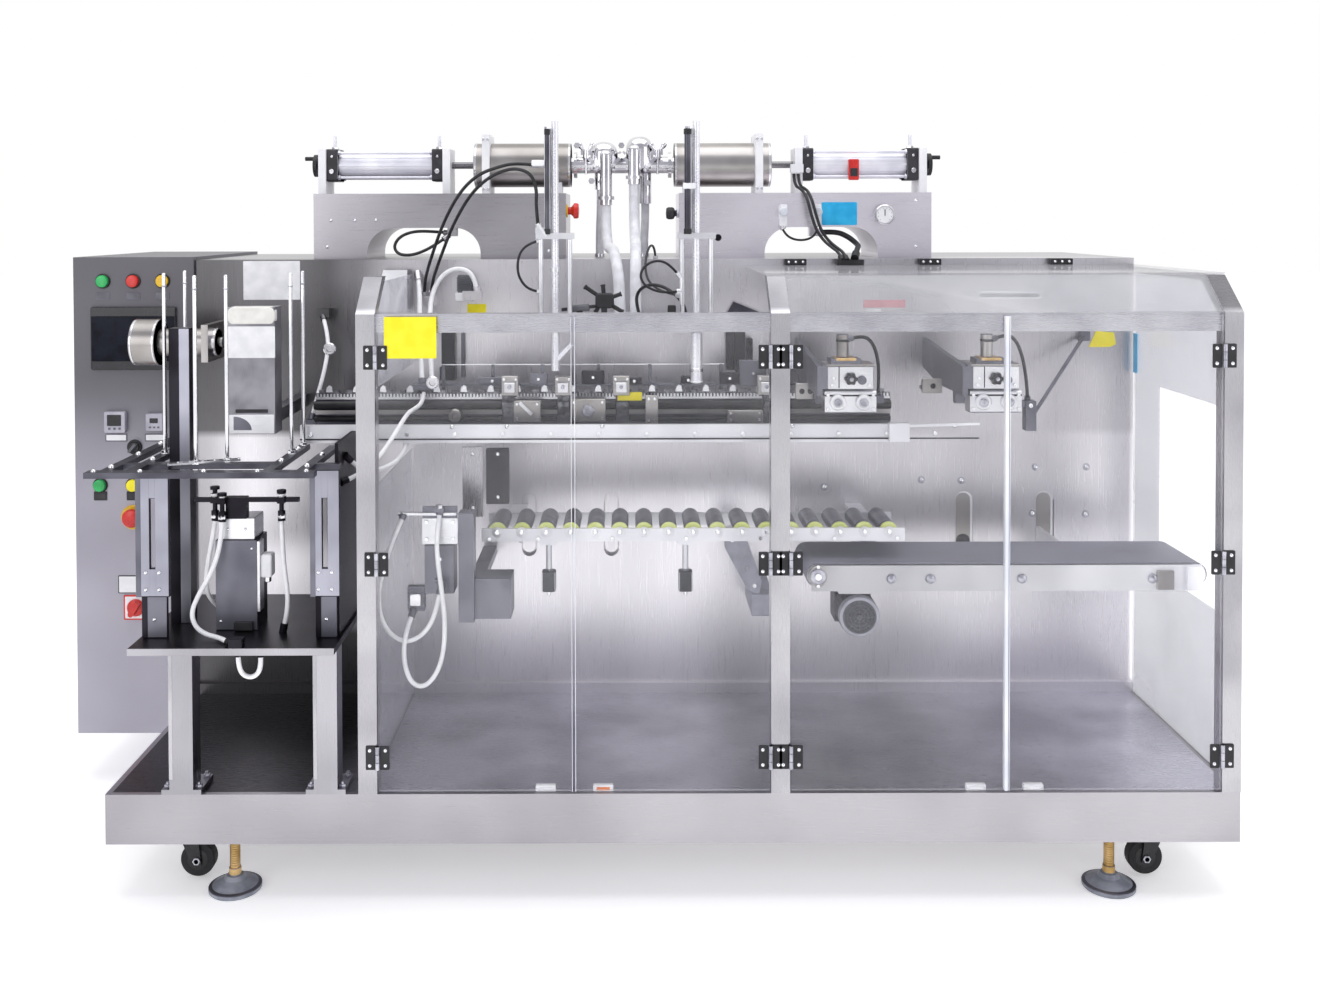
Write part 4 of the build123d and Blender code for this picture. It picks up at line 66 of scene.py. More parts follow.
# Every finish: two tones that a soft cloud mixes, a fine grain stretched along the way it was worked,
# and the shader's own constants. Grain, cloud and bump, the height of the grain, are millimetres.
# some finishes also carry painted light: a painted darkening by height and painted reflection bands along X
finishes = {
    # AISI 304 sheet, brushed along the machine: soft lengthwise streaks and a cloudy sheen
    "brushedStainless": dict(tones=("A29FA4", "B9B6BA"), cloud=420, stretch=(0.02, 1, 1),
                             rough=(0.26, 0.36), streak=0.06),
    # the same sheet bent into the two magazine columns, brushed upright
    "columnStainless": dict(tones=("A09EA3", "B7B5BA"), cloud=300, stretch=(1, 1, 0.02), rough=(0.26, 0.36),
                            streak=0.08),
    # 304 sheet of the tall cabinet face, brushed upright, greyer because it sees the room
    # its tone carries painted reflection bands along X, a painted darkening up high, and low down a painted
    # shade patch at the left end
    "uprightStainless": dict(tones=("D4D1D5", "F8F5F9"), cloud=560, stretch=(1, 1, 0.02),
                             rough=(0.26, 0.36), bump=0.006, streak=0.03, paintedHeightFade=(0.85, 1.34, 0.80),
                             paintedReflectionBands=((-1.04, 0.15), (-0.82, 0.23), (-0.72, 0.20), (-0.66, 0.34),
                                    (-0.52, 0.88), (-0.36, 1.0), (-0.20, 0.94), (0.10, 1.0), (0.34, 1.0),
                                    (0.46, 0.78), (0.80, 0.74), (1.00, 0.84), (1.30, 0.80)),
                             paintedLowBands=((0.885, 0.905,
                                         ((-1.04, 0.50), (-0.90, 1.0), (-0.80, 1.0), (-0.64, 0.60),
                                          (-0.52, 0.94), (-0.36, 1.0), (-0.20, 0.97), (0.10, 1.0),
                                          (0.34, 1.0), (0.46, 1.0), (0.80, 0.90), (0.96, 0.78),
                                          (1.30, 1.02))),
                                        (0.38, 0.44,
                                         ((-1.04, 0.10), (-0.64, 0.12), (-0.60, 0.66), (-0.50, 0.96),
                                          (0.34, 1.0), (0.80, 0.88), (1.30, 1.0)))),
                             rear=(0.10, 0.22, 0.62)),
    # square tube, satin ground: brighter, with fine lines along its length
    # above about 1.25 m a painted darkening drops its tone to under half
    "satinTube": dict(tones=("A6A4A9", "BDBCBF"), cloud=200, grain=1.4, stretch=(1, 1, 0.03),
                      rough=(0.22, 0.32), bump=0.003, streak=0.04, paintedHeightFade=(1.244, 1.258, 0.45)),
    # the same tube lying along the machine
    # with the same painted darkening above about 1.25 m
    "satinRail": dict(tones=("ADACB3", "CDCCD1"), cloud=160, grain=1.4, stretch=(0.03, 1, 1),
                      rough=(0.22, 0.32), bump=0.003, streak=0.03, paintedHeightFade=(1.246, 1.258, 0.45)),
    # mill-finish deck sheet under the works, darkened by painted reflection bands along X that stand for
    # the works it mirrors, deepest at the left end
    "deckSheet": dict(tones=("A8A6B1", "D3D1DB"), cloud=260, grain=1.8, stretch=(0.08, 1, 1),
                      rough=(0.24, 0.36), bump=0.002, streak=0.06,
                      paintedReflectionBands=((-1.04, 0.08), (-0.62, 0.08), (-0.47, 0.98), (-0.30, 1.06), (0.20, 0.94),
                             (0.36, 0.72), (0.70, 0.68), (0.95, 0.96), (1.30, 1.30))),
    # powder-coated steel door of the control cabinet: satin, faint orange peel
    # painted shade darkens it upwards from 0.72 m to about a quarter of its tone at 1.06 m
    "greyEnamel": dict(tones=("A29FAA", "B3B0BB"), cloud=380, grain=2.2, rough=(0.36, 0.46), bump=0.02,
                       metallic=0.0, paintedHeightFade=(0.72, 1.06, 0.26)),
    # bent sheet of the pouch weight, dull and a little stained
    "dullSheet": dict(tones=("77767C", "9B9AA0"), cloud=70, stretch=(1, 1, 0.1), rough=(0.34, 0.48),
                      bump=0.006),
    # clear anodised aluminium extrusion and machined bar: pale, faint die lines along X
    "clearAnodised": dict(tones=("DADADE", "EEEEF1"), cloud=90, grain=1.4, stretch=(0.03, 1, 1),
                          rough=(0.26, 0.36)),
    # dark hard-anodised plate: almost charcoal with a metallic bloom
    "darkAnodised": dict(tones=("1B191E", "2E2C33"), cloud=120, grain=1.8, rough=(0.30, 0.44), bump=0.01,
                         metallic=0.85),
    # bead-blasted grey anodised plate, between the dark and the clear
    "midAnodised": dict(tones=("62626C", "7E7E88"), cloud=110, grain=1.8, rough=(0.34, 0.48), bump=0.01,
                        metallic=0.8),
    # brushed aluminium cover plates of the magazine, mid grey with a blue cast
    "coverPlate": dict(tones=("9696A2", "B5B5C1"), cloud=160, stretch=(1, 1, 0.03), rough=(0.30, 0.40),
                       metallic=0.9, streak=0.08),
    # shelf bars, worn grey anodised
    "shelfAnodised": dict(tones=("45444C", "62626B"), cloud=90, grain=1.8, rough=(0.30, 0.44), bump=0.01,
                          metallic=0.85),
    # flame-polished edge of the acrylic doors: its near-white tone is a painted highlight of the light the
    # edge gathers
    "paintedEdgeHighlight": dict(tones=("E6E9F2", "F8F9FD"), cloud=120, stretch=(1, 1, 0.05), rough=(0.14, 0.24),
                         bump=0.002, metallic=0.0, ior=1.49, streak=0.05),
    # zinc-plated nuts, washers and pins: soft blue-white
    "zincedSteel": dict(tones=("9C9CA6", "C6C6CF"), cloud=20, grain=1.4, rough=(0.22, 0.34), bump=0.006),
    # ground and hard-chromed rod: bright, nearly mirror
    "chromedRod": dict(tones=("E6E6EA", "F6F6F8"), cloud=60, rough=(0.08, 0.16), bump=0.003),
    # electropolished tri-clamp fittings
    "polishedFitting": dict(tones=("C9C8CC", "E8E7EA"), cloud=50, grain=1.8, rough=(0.12, 0.24)),
    # rolled and welded product cylinder, satin
    "satinBarrel": dict(tones=("999592", "B3B0AE"), cloud=130, grain=1.4, stretch=(1, 0.03, 0.03),
                        rough=(0.28, 0.36), bump=0.002, streak=0.04),
    # sheet boxes under the filling cylinders; painted reflection bands along X darken the left-hand box and
    # leave the right-hand one paler
    "boxStainless": dict(tones=("D9D5DC", "F4F0F6"), cloud=420, stretch=(0.02, 1, 1), rough=(0.26, 0.36),
                         streak=0.05,
                         paintedReflectionBands=((-0.80, 0.54), (-0.50, 0.42), (-0.10, 0.50), (0.20, 0.86), (0.50, 1.0),
                                (0.90, 1.0))),
    # side rails of the belt conveyor; painted reflection bands along X darken them near the infeed and
    # brighten them towards the outfeed
    "railAnodised": dict(tones=("DADADE", "EEEEF1"), cloud=160, grain=1.4, stretch=(0.03, 1, 1),
                         rough=(0.30, 0.40), bump=0.003, metallic=0.45, streak=0.04,
                         paintedReflectionBands=((0.40, 0.66), (0.90, 0.72), (1.12, 0.90), (1.36, 1.30))),
    # bright rail and bar stock that glows a little under the lamps
    "brightRail": dict(tones=("DCDCE1", "F0F0F4"), cloud=160, grain=1.4, stretch=(0.03, 1, 1),
                       rough=(0.30, 0.40), bump=0.003, metallic=0.45, streak=0.05),
    # hard-chromed column with a milky sheen
    "paleRod": dict(tones=("DEDEE6", "F2F2F6"), cloud=60, rough=(0.24, 0.32), bump=0.002, metallic=0.55),
    # grey vinyl sleeve of the conveyor rollers
    "greyRoller": dict(tones=("75747C", "97969E"), cloud=60, stretch=(1, 0.05, 1), rough=(0.30, 0.42),
                       bump=0.006, metallic=0.6),
    # extruded air cylinder barrel, milky anodised
    "milkyBarrel": dict(tones=("D9D9E2", "EFEFF5"), cloud=70, grain=1.8, stretch=(0.03, 1, 1),
                        rough=(0.34, 0.46), bump=0.006, metallic=0.55),
    # white powder-coated band plates
    "whiteEnamel": dict(tones=("E4E4E8", "F4F4F6"), cloud=80, rough=(0.38, 0.5), bump=0.01, metallic=0.0),
    # moulded black nylon: matt with faint grain
    "blackNylon": dict(tones=("141416", "26262A"), cloud=40, grain=1.4, rough=(0.42, 0.58), bump=0.02,
                       metallic=0.0),
    # cast and painted gear motor
    "darkCasting": dict(tones=("3A3B40", "55565C"), cloud=60, grain=2.0, rough=(0.40, 0.55), bump=0.05,
                        metallic=0.4),
    # roller-chain steel, oiled
    "oiledChain": dict(tones=("4A4A4E", "8D8D92"), cloud=14, grain=2.0, rough=(0.26, 0.44), bump=0.03),
    # PU conveyor belt, charcoal, matt with a woven back's faint ribs
    "charcoalBelt": dict(tones=("7A7A86", "8E8E9B"), cloud=200, grain=2.2, stretch=(1, 0.1, 1),
                         rough=(0.50, 0.66), bump=0.03, metallic=0.0),
    # solid rubber tread
    "blackRubber": dict(tones=("0E0E10", "1C1C1F"), cloud=30, rough=(0.60, 0.75), bump=0.03, metallic=0.0),
    # pressed steel caster fork, black enamel
    "blackEnamel": dict(tones=("101012", "1E1E22"), cloud=30, grain=1.8, rough=(0.26, 0.36), bump=0.01,
                        metallic=0.0),
}


def bandRamp(tree, coordinate, bandList):
    # tone factors at places in metres, eased from one to the next: share = (place - first) / (last - first)
    low, high = bandList[0][0], bandList[-1][0]
    share = addNode(tree, "ShaderNodeMapRange", {"From Min": low, "From Max": high}, {"Value": coordinate})
    ramp = addNode(tree, "ShaderNodeValToRGB", links={0: share.outputs["Result"]})
    ramp.color_ramp.interpolation = "EASE"
    stops = ramp.color_ramp.elements
    for n, (place, factor) in enumerate(bandList):
        inner = 0 < n < len(bandList) - 1
        stop = stops.new((place - low) / (high - low)) if inner else stops[0] if n == 0 else stops[-1]
        stop.color = (factor, factor, factor, 1)
    return ramp.outputs["Color"]


# how the fine grain shows: its noise, the span that blends the two tones and the sheen, and its relief
grainMix = {"detail": 3.0, "roughness": 0.6, "lowTone": 0.38, "highTone": 0.62, "lowSheen": 0.3,
            "highSheen": 0.7, "reliefStrength": 0.35}


def makeFinish(name, tones, cloud, rough, bump=0.004, grain=1.6, stretch=(1, 1, 1), metallic=1.0, ior=1.5,
               streak=0.14, paintedHeightFade=None, paintedReflectionBands=None, paintedLowBands=(), rear=None):
    material = bpy.data.materials.new(name)
    material.use_nodes = True
    tree = material.node_tree
    shader = tree.nodes["Principled BSDF"]
    shader.inputs["Metallic"].default_value = metallic
    shader.inputs["IOR"].default_value = ior
    place = addNode(tree, "ShaderNodeTexCoord")
    scaled = addNode(tree, "ShaderNodeMapping", {"Scale": tuple(s * 1000 / grain for s in stretch)},
                     {"Vector": place.outputs["Object"]})
    lines = addNode(tree, "ShaderNodeTexNoise",
                    {"Scale": 1.0, "Detail": grainMix["detail"], "Roughness": grainMix["roughness"]},
                    {"Vector": scaled.outputs["Vector"]})
    haze = addNode(tree, "ShaderNodeTexNoise", {"Scale": 1000 / cloud, "Detail": 2.0, "Roughness": 0.5},
                   {"Vector": place.outputs["Object"]})
    both = addNode(tree, "ShaderNodeMix", {"data_type": "FLOAT", 0: streak},
                   {2: haze.outputs["Fac"], 3: lines.outputs["Fac"]})
    toneMix = addNode(tree, "ShaderNodeMapRange",
                      {"From Min": grainMix["lowTone"], "From Max": grainMix["highTone"]},
                      {"Value": both.outputs[0]})
    colour = addNode(tree, "ShaderNodeMix", {"data_type": "RGBA", 6: linear(tones[0]), 7: linear(tones[1])},
                     {0: toneMix.outputs["Result"]})
    shown = colour.outputs[2]
    if paintedHeightFade:
        # painted darkening between two heights in metres: on the stainless a painted reflection of the
        # darker upper room, on the enamel painted shade
        height = addNode(tree, "ShaderNodeSeparateXYZ", links={0: place.outputs["Object"]})
        amount = addNode(tree, "ShaderNodeMapRange",
                         {"interpolation_type": "SMOOTHSTEP", "From Min": paintedHeightFade[0], "From Max": paintedHeightFade[1],
                          "To Min": 1.0, "To Max": paintedHeightFade[2]}, {"Value": height.outputs["Z"]})
        shaded = addNode(tree, "ShaderNodeVectorMath", {"operation": "SCALE"},
                         {0: shown, "Scale": amount.outputs["Result"]})
        shown = shaded.outputs["Vector"]
    if paintedReflectionBands:
        # painted reflection bands along the machine, standing for the soft boxes the sheet mirrors: tone
        # factors at X in metres
        along = addNode(tree, "ShaderNodeSeparateXYZ", links={0: place.outputs["Object"]})
        band = bandRamp(tree, along.outputs["X"], paintedReflectionBands)
        for lowHeight, highHeight, lowBands in paintedLowBands:
            # lower down other painted bands take over within a little height: painted reflections of other
            # things, and painted shade
            level = addNode(tree, "ShaderNodeMapRange", {"From Min": lowHeight, "From Max": highHeight},
                            {"Value": along.outputs["Z"]})
            joined = addNode(tree, "ShaderNodeMix", {"data_type": "RGBA"},
                             {0: level.outputs["Result"], 6: bandRamp(tree, along.outputs["X"], lowBands),
                              7: band})
            band = joined.outputs[2]
        if rear:
            # behind the front face the painted bands give way to one even tone factor
            depth = addNode(tree, "ShaderNodeMapRange", {"From Min": rear[0], "From Max": rear[1]},
                            {"Value": along.outputs["Y"]})
            even = addNode(tree, "ShaderNodeMix", {"data_type": "RGBA", 7: (rear[2], rear[2], rear[2], 1)},
                           {0: depth.outputs["Result"], 6: band})
            band = even.outputs[2]
        banded = addNode(tree, "ShaderNodeVectorMath", {"operation": "MULTIPLY"}, {0: shown, 1: band})
        shown = banded.outputs["Vector"]
    sheen = addNode(tree, "ShaderNodeMapRange",
                    {"From Min": grainMix["lowSheen"], "From Max": grainMix["highSheen"],
                     "To Min": rough[0], "To Max": rough[1]}, {"Value": lines.outputs["Fac"]})
    relief = addNode(tree, "ShaderNodeBump",
                     {"Strength": grainMix["reliefStrength"], "Distance": bump / 1000},
                     {"Height": lines.outputs["Fac"]})
    tree.links.new(shown, shader.inputs["Base Color"])
    tree.links.new(sheen.outputs["Result"], shader.inputs["Roughness"])
    tree.links.new(relief.outputs["Normal"], shader.inputs["Normal"])
    return material


def finishOf(name):
    if name not in bpy.data.materials:
        makeFinish(name, **finishes[name])
    return bpy.data.materials[name]


# Cast acrylic sheet: clear, a faint white haze, and a reflection that grows towards a grazing angle
clearSheet = {"tone": "EDEEF6", "haze": 0.035, "edge": 0.30, "rough": 0.03}
# the end panes are seen edge on against the light; their bluish grey tone and heavier haze are painted,
# standing for that edge-on light and shade
endSheet = {"tone": "9C9CBA", "haze": 0.22, "edge": 0.34, "rough": 0.05}
# the roof glazing is dustier, and its grey tone is partly a painted reflection of the ceiling
roofSheet = {"tone": "A2A4B0", "haze": 0.17, "edge": 0.30, "rough": 0.06}
acrylicIor = 1.49


def makeClearSheet(name, tone, haze, edge, rough):
    material = bpy.data.materials.new(name)
    material.use_nodes = True
    tree = material.node_tree
    shader = tree.nodes["Principled BSDF"]
    shader.inputs["Roughness"].default_value = rough
    shader.inputs["IOR"].default_value = acrylicIor
    place = addNode(tree, "ShaderNodeTexCoord")
    smear = addNode(tree, "ShaderNodeTexNoise", {"Scale": 2.4, "Detail": 4.0, "Roughness": 0.6},
                    {"Vector": place.outputs["Object"]})
    facing = addNode(tree, "ShaderNodeLayerWeight", {"Blend": 0.25})
    film = addNode(tree, "ShaderNodeMapRange",
                   {"From Min": 0.35, "From Max": 0.7, "To Min": haze * 0.6, "To Max": haze * 1.5},
                   {"Value": smear.outputs["Fac"]})
    rim = addNode(tree, "ShaderNodeMath", {"operation": "MULTIPLY_ADD", 1: edge},
                  {0: facing.outputs["Fresnel"], 2: film.outputs["Result"]})
    colour = addNode(tree, "ShaderNodeMix", {"data_type": "RGBA", 6: linear(tone), 7: linear("FFFFFF")},
                     {0: smear.outputs["Fac"]})
    tree.links.new(rim.outputs["Value"], shader.inputs["Alpha"])
    tree.links.new(colour.outputs[2], shader.inputs["Base Color"])
    return material


makeClearSheet("castAcrylic", **clearSheet)
makeClearSheet("paintedEdgeOnAcrylic", **endSheet)
makeClearSheet("dustAndReflectionAcrylic", **roofSheet)


# Plastics and paints in one even colour: a moulded skin with a faint cloud and fine grain
plainTones = {
    "mauveTag": ("5E5A66", "726E7C"), "controllerGrey": ("A9A7B4", "BBB9C4"),
    "clearCup": ("C6CBD2", "E2E6EC"), "redPlastic": ("C21F1B", "D8352C"),
    "greenPlastic": ("1E9A4C", "2BB560"), "yellowPlastic": ("E2B414", "F2C62A"),
    "orangePlastic": ("E0702A", "F08A3C"), "signalYellow": ("F6E600", "FFF02A"),
    "plateBlue": ("0AA5DC", "2AB8EA"), "plateRed": ("C8505E", "DC6A78"),
    "tagWhite": ("E9E9EC", "F6F6F8"), "whiteSilicone": ("EDEDF0", "FAFAFC"),
    "blackTube": ("17171A", "26262A"), "milkySilicone": ("D8D9DE", "ECEDF2"),
    "footGrey": ("7E828C", "989CA6"), "ringLime": ("D3DC78", "E6EE9A"),
    "brassPlate": ("B8965A", "DDBB84"), "screenGlass": ("17171C", "202027"),
    "panelGlass": ("0B0D18", "171A27"), "blackCap": ("1C1C20", "303036"),
    "cableGrey": ("55565C", "6A6B72"), "driveGrey": ("A4A5B2", "B8B9C6"),
    "fanGrey": ("A6A7B1", "BBBCC5"), "creamPaint": ("E2E0DA", "F2F0EA"),
}
shinyTones = {"screenGlass": 0.16, "panelGlass": 0.12, "redPlastic": 0.22, "greenPlastic": 0.22,
              "yellowPlastic": 0.22, "milkySilicone": 0.30, "whiteSilicone": 0.36, "brassPlate": 0.26,
              "plateBlue": 0.3}
plainShare = {"roughness": 0.42, "spread": 0.12, "cloud": 30, "grainHeight": 0.008, "brassMetal": 0.9,
              "panelIor": 1.2}
for plainName, tonePair in plainTones.items():
    low = shinyTones.get(plainName, plainShare["roughness"])
    finishes[plainName] = dict(tones=tonePair, cloud=plainShare["cloud"],
                               rough=(low, low + plainShare["spread"]), bump=plainShare["grainHeight"],
                               metallic=plainShare["brassMetal"] if plainName == "brassPlate" else 0.0,
                               ior=plainShare["panelIor"] if plainName == "panelGlass" else 1.5)


# Shapes: every solid is a stack of closed rings, each ring the same number of points
forward = (0, -1, 0)
upward = (0, 0, 1)


def stackFaces(ringCount, around):
    # quads between neighbouring rings, and one flat face at each end
    i, j = np.meshgrid(np.arange(ringCount - 1), np.arange(around), indexing="ij")
    k = (j + 1) % around
    quads = np.stack([i * around + j, i * around + k, (i + 1) * around + k, (i + 1) * around + j], -1)
    ends = np.array((np.arange(around)[::-1], (ringCount - 1) * around + np.arange(around)))
    return quads.reshape(-1, 4), ends


def crossAxes(axis):
    # two unit directions square to the axis, so that first x second points along it
    axis = np.asarray(axis, float) / np.linalg.norm(axis)
    other = np.array((0, 0, 1.0)) if abs(axis[2]) < 0.9 else np.array((1.0, 0, 0))
    first = np.cross(other, axis)
    first = first / np.linalg.norm(first)
    return axis, first, np.cross(axis, first)


def turned(base, axis, profile, around=20):
    # ring n, angle t: base + height n x axis + radius n x (cos t x first + sin t x second)
    axis, first, second = crossAxes(axis)
    profile = np.asarray(profile, float)
    t = np.linspace(0, 2 * np.pi, around, endpoint=False)
    circle = np.cos(t)[:, None] * first + np.sin(t)[:, None] * second
    return np.asarray(base, float) + profile[:, 1, None, None] * axis + profile[:, 0, None, None] * circle


def rod(start, end, diameter, around=16, edge=0.12):
    # a turned bar with a small chamfer at both ends
    start, end = np.asarray(start, float), np.asarray(end, float)
    length, r = np.linalg.norm(end - start), diameter / 2
    c = min(edge * r, length / 4)
    return turned(start, end - start, [(r - c, 0), (r, c), (r, length - c), (r - c, length)], around)


def slab(low, high, facing="y", corner=2.0, bevel=0.8, steps=4):
    # rounded rectangle at angle t: corner centre + corner radius x (cos t, sin t), bevelled at both ends
    low, high = np.minimum(low, high).astype(float), np.maximum(low, high).astype(float)
    axisNo = "xyz".index(facing)
    u, v = [(1, 2), (2, 0), (0, 1)][axisNo]
    half = (high - low) / 2
    middle = (high + low) / 2
    r = min(corner, half[u] * 0.98, half[v] * 0.98)
    bevel = min(bevel, half[axisNo] * 0.5, r * 0.8)
    t = np.concatenate([np.linspace(q, q + 1, steps + 1) for q in range(4)]) * np.pi / 2
    signU = np.repeat([1, -1, -1, 1], steps + 1)
    signV = np.repeat([1, 1, -1, -1], steps + 1)
    rings = []
    for depth, draw in ((-half[axisNo], bevel), (bevel - half[axisNo], 0), (half[axisNo] - bevel, 0),
                        (half[axisNo], bevel)):
        ring = np.zeros((len(t), 3))
        ring[:, u] = middle[u] + signU * (half[u] - r) + (r - draw) * np.cos(t)
        ring[:, v] = middle[v] + signV * (half[v] - r) + (r - draw) * np.sin(t)
        ring[:, axisNo] = middle[axisNo] + depth
        rings.append(ring)
    return np.stack(rings)


def prism(outline, low, high, facing="y"):
    # the outline's two coordinates follow the facing axis in turn order, carried from low to high
    axisNo = "xyz".index(facing)
    u, v = [(1, 2), (2, 0), (0, 1)][axisNo]
    outline = np.asarray(outline, float)
    turn = np.sum(outline[:, 0] * np.roll(outline[:, 1], -1) - outline[:, 1] * np.roll(outline[:, 0], -1))
    outline = outline if turn > 0 else outline[::-1]
    rings = np.zeros((2, len(outline), 3))
    rings[:, :, u] = outline[:, 0]
    rings[:, :, v] = outline[:, 1]
    rings[0, :, axisNo], rings[1, :, axisNo] = low, high
    return rings


def swept(path, diameter, around=10):
    # a round section carried along the path, each ring square to the mean of its two runs
    path = np.asarray(path, float)
    way = np.gradient(path, axis=0)
    way = way / np.linalg.norm(way, axis=1)[:, None]
    axis, first, second = crossAxes(way[0])
    rings = []
    t = np.linspace(0, 2 * np.pi, around, endpoint=False)
    for point, along in zip(path, way):
        first = first - along * np.dot(first, along)
        first = first / np.linalg.norm(first)
        second = np.cross(along, first)
        rings.append(point + diameter / 2 * (np.cos(t)[:, None] * first + np.sin(t)[:, None] * second))
    return np.stack(rings)


# The same shapes with their finish, ready for makePiece
def block(low, high, finish, corner=2.0, bevel=0.8, facing="y"):
    return slab(low, high, facing, corner, bevel), finish


def bar(start, end, diameter, finish, around=16, edge=0.12):
    return rod(start, end, diameter, around, edge), finish


def lathe(base, profile, finish, around=20, axis=forward):
    return turned(base, axis, profile, around), finish


def makePiece(name, parts, body="machine", replaces=(), sharp=32):
    # parts are (stack of rings, finish name), all in machine millimetres; one mesh in row-frame metres
    points, faces, indices, names = [], [], [], []
    count = 0
    for rings, finish in parts:
        if finish not in names:
            names.append(finish)
        ringCount, around = rings.shape[:2]
        quads, ends = stackFaces(ringCount, around)
        faces += (quads + count).tolist() + (ends + count).tolist()
        indices += [names.index(finish)] * (len(quads) + 2)
        points.append(rings.reshape(-1, 3))
        count += ringCount * around
    mesh = bpy.data.meshes.new(name)
    mesh.from_pydata(metres(np.concatenate(points)), [], faces)
    for finish in names:
        mesh.materials.append(finishOf(finish))
    mesh.polygons.foreach_set("material_index", indices)
    mesh.shade_smooth()
    mesh.set_sharp_from_angle(angle=math.radians(sharp))
    mesh.update()
    piece = bpy.data.objects.new(name, mesh)
    bpy.context.scene.collection.objects.link(piece)
    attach(piece, body)
    if replaces:
        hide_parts(*replaces)
    return piece


def dress(nodeName, finish):
    materials = nodes[nodeName].data.materials
    materials.clear()
    materials.append(finishOf(finish))


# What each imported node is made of
nodeFinish = {
    "brushedStainless": ["base_tray"],
    "boxStainless": ["filler_boxes"],
    "greyRoller": ["rollers"],
    "columnStainless": ["magazine_posts"],
    "satinRail": ["guard_rails"],
    # the end panes' bluish grey tone is painted edge-on light and shade
    "paintedEdgeOnAcrylic": ["end_pane", "discharge_pane"],
    "dustAndReflectionAcrylic": ["clear_panes"],
    # the roof panes carry dust and a painted reflection of the ceiling
    "dullSheet": ["pouch_pusher"],
    "uprightStainless": ["main_cabinet"],
    "satinTube": ["guard_posts", "piston_rod_left", "piston_rod_right"],
    "deckSheet": ["deck_plate"],
    "greyEnamel": ["control_cabinet"],
    "brightRail": ["roller_frame", "lane_bar"],
    "railAnodised": ["belt_frame"],
    "clearAnodised": ["seal_jaw_1", "seal_jaw_2", "nozzle_guides"],
    "darkAnodised": ["magazine_table", "magazine_columns"],
    "shelfAnodised": ["magazine_shelf"],
    "midAnodised": ["lane_bed", "opening_station", "sealing_stations"],
    "chromedRod": ["magazine_rods"],
    "paleRod": ["nozzle_1", "nozzle_2"],
    "polishedFitting": ["valve_manifold"],
    "satinBarrel": ["product_cylinders", "drive_cylinder"],
    "milkyBarrel": ["air_cylinders"],
    "whiteEnamel": ["cylinder_plates"],
    "blackNylon": ["door_hardware", "crank_left", "crank_right", "control_screen"],
    "darkCasting": ["belt_motor"],
    "oiledChain": ["pouch_chain"],
    "charcoalBelt": ["conveyor_belt"],
    "footGrey": ["leveling_feet"],
    "redPlastic": ["push_buttons", "rotary_switch"],
    "castAcrylic": ["door_1", "door_2", "door_3", "door_4"],
    "whiteSilicone": ["vacuum_hoses"],
    "blackTube": ["air_tubes"],
    "milkySilicone": ["product_hoses"],
}
for side in ("left", "right"):
    for end in ("front", "rear"):
        nodeFinish.setdefault("blackEnamel", []).append(f"caster_fork_{side}_{end}")
        nodeFinish.setdefault("blackRubber", []).append(f"caster_wheel_{side}_{end}")
for finishName, members in nodeFinish.items():
    for member in members:
        dress(member, finishName)
print("nodes dressed:", sum(len(m) for m in nodeFinish.values()), "of", len(nodes))


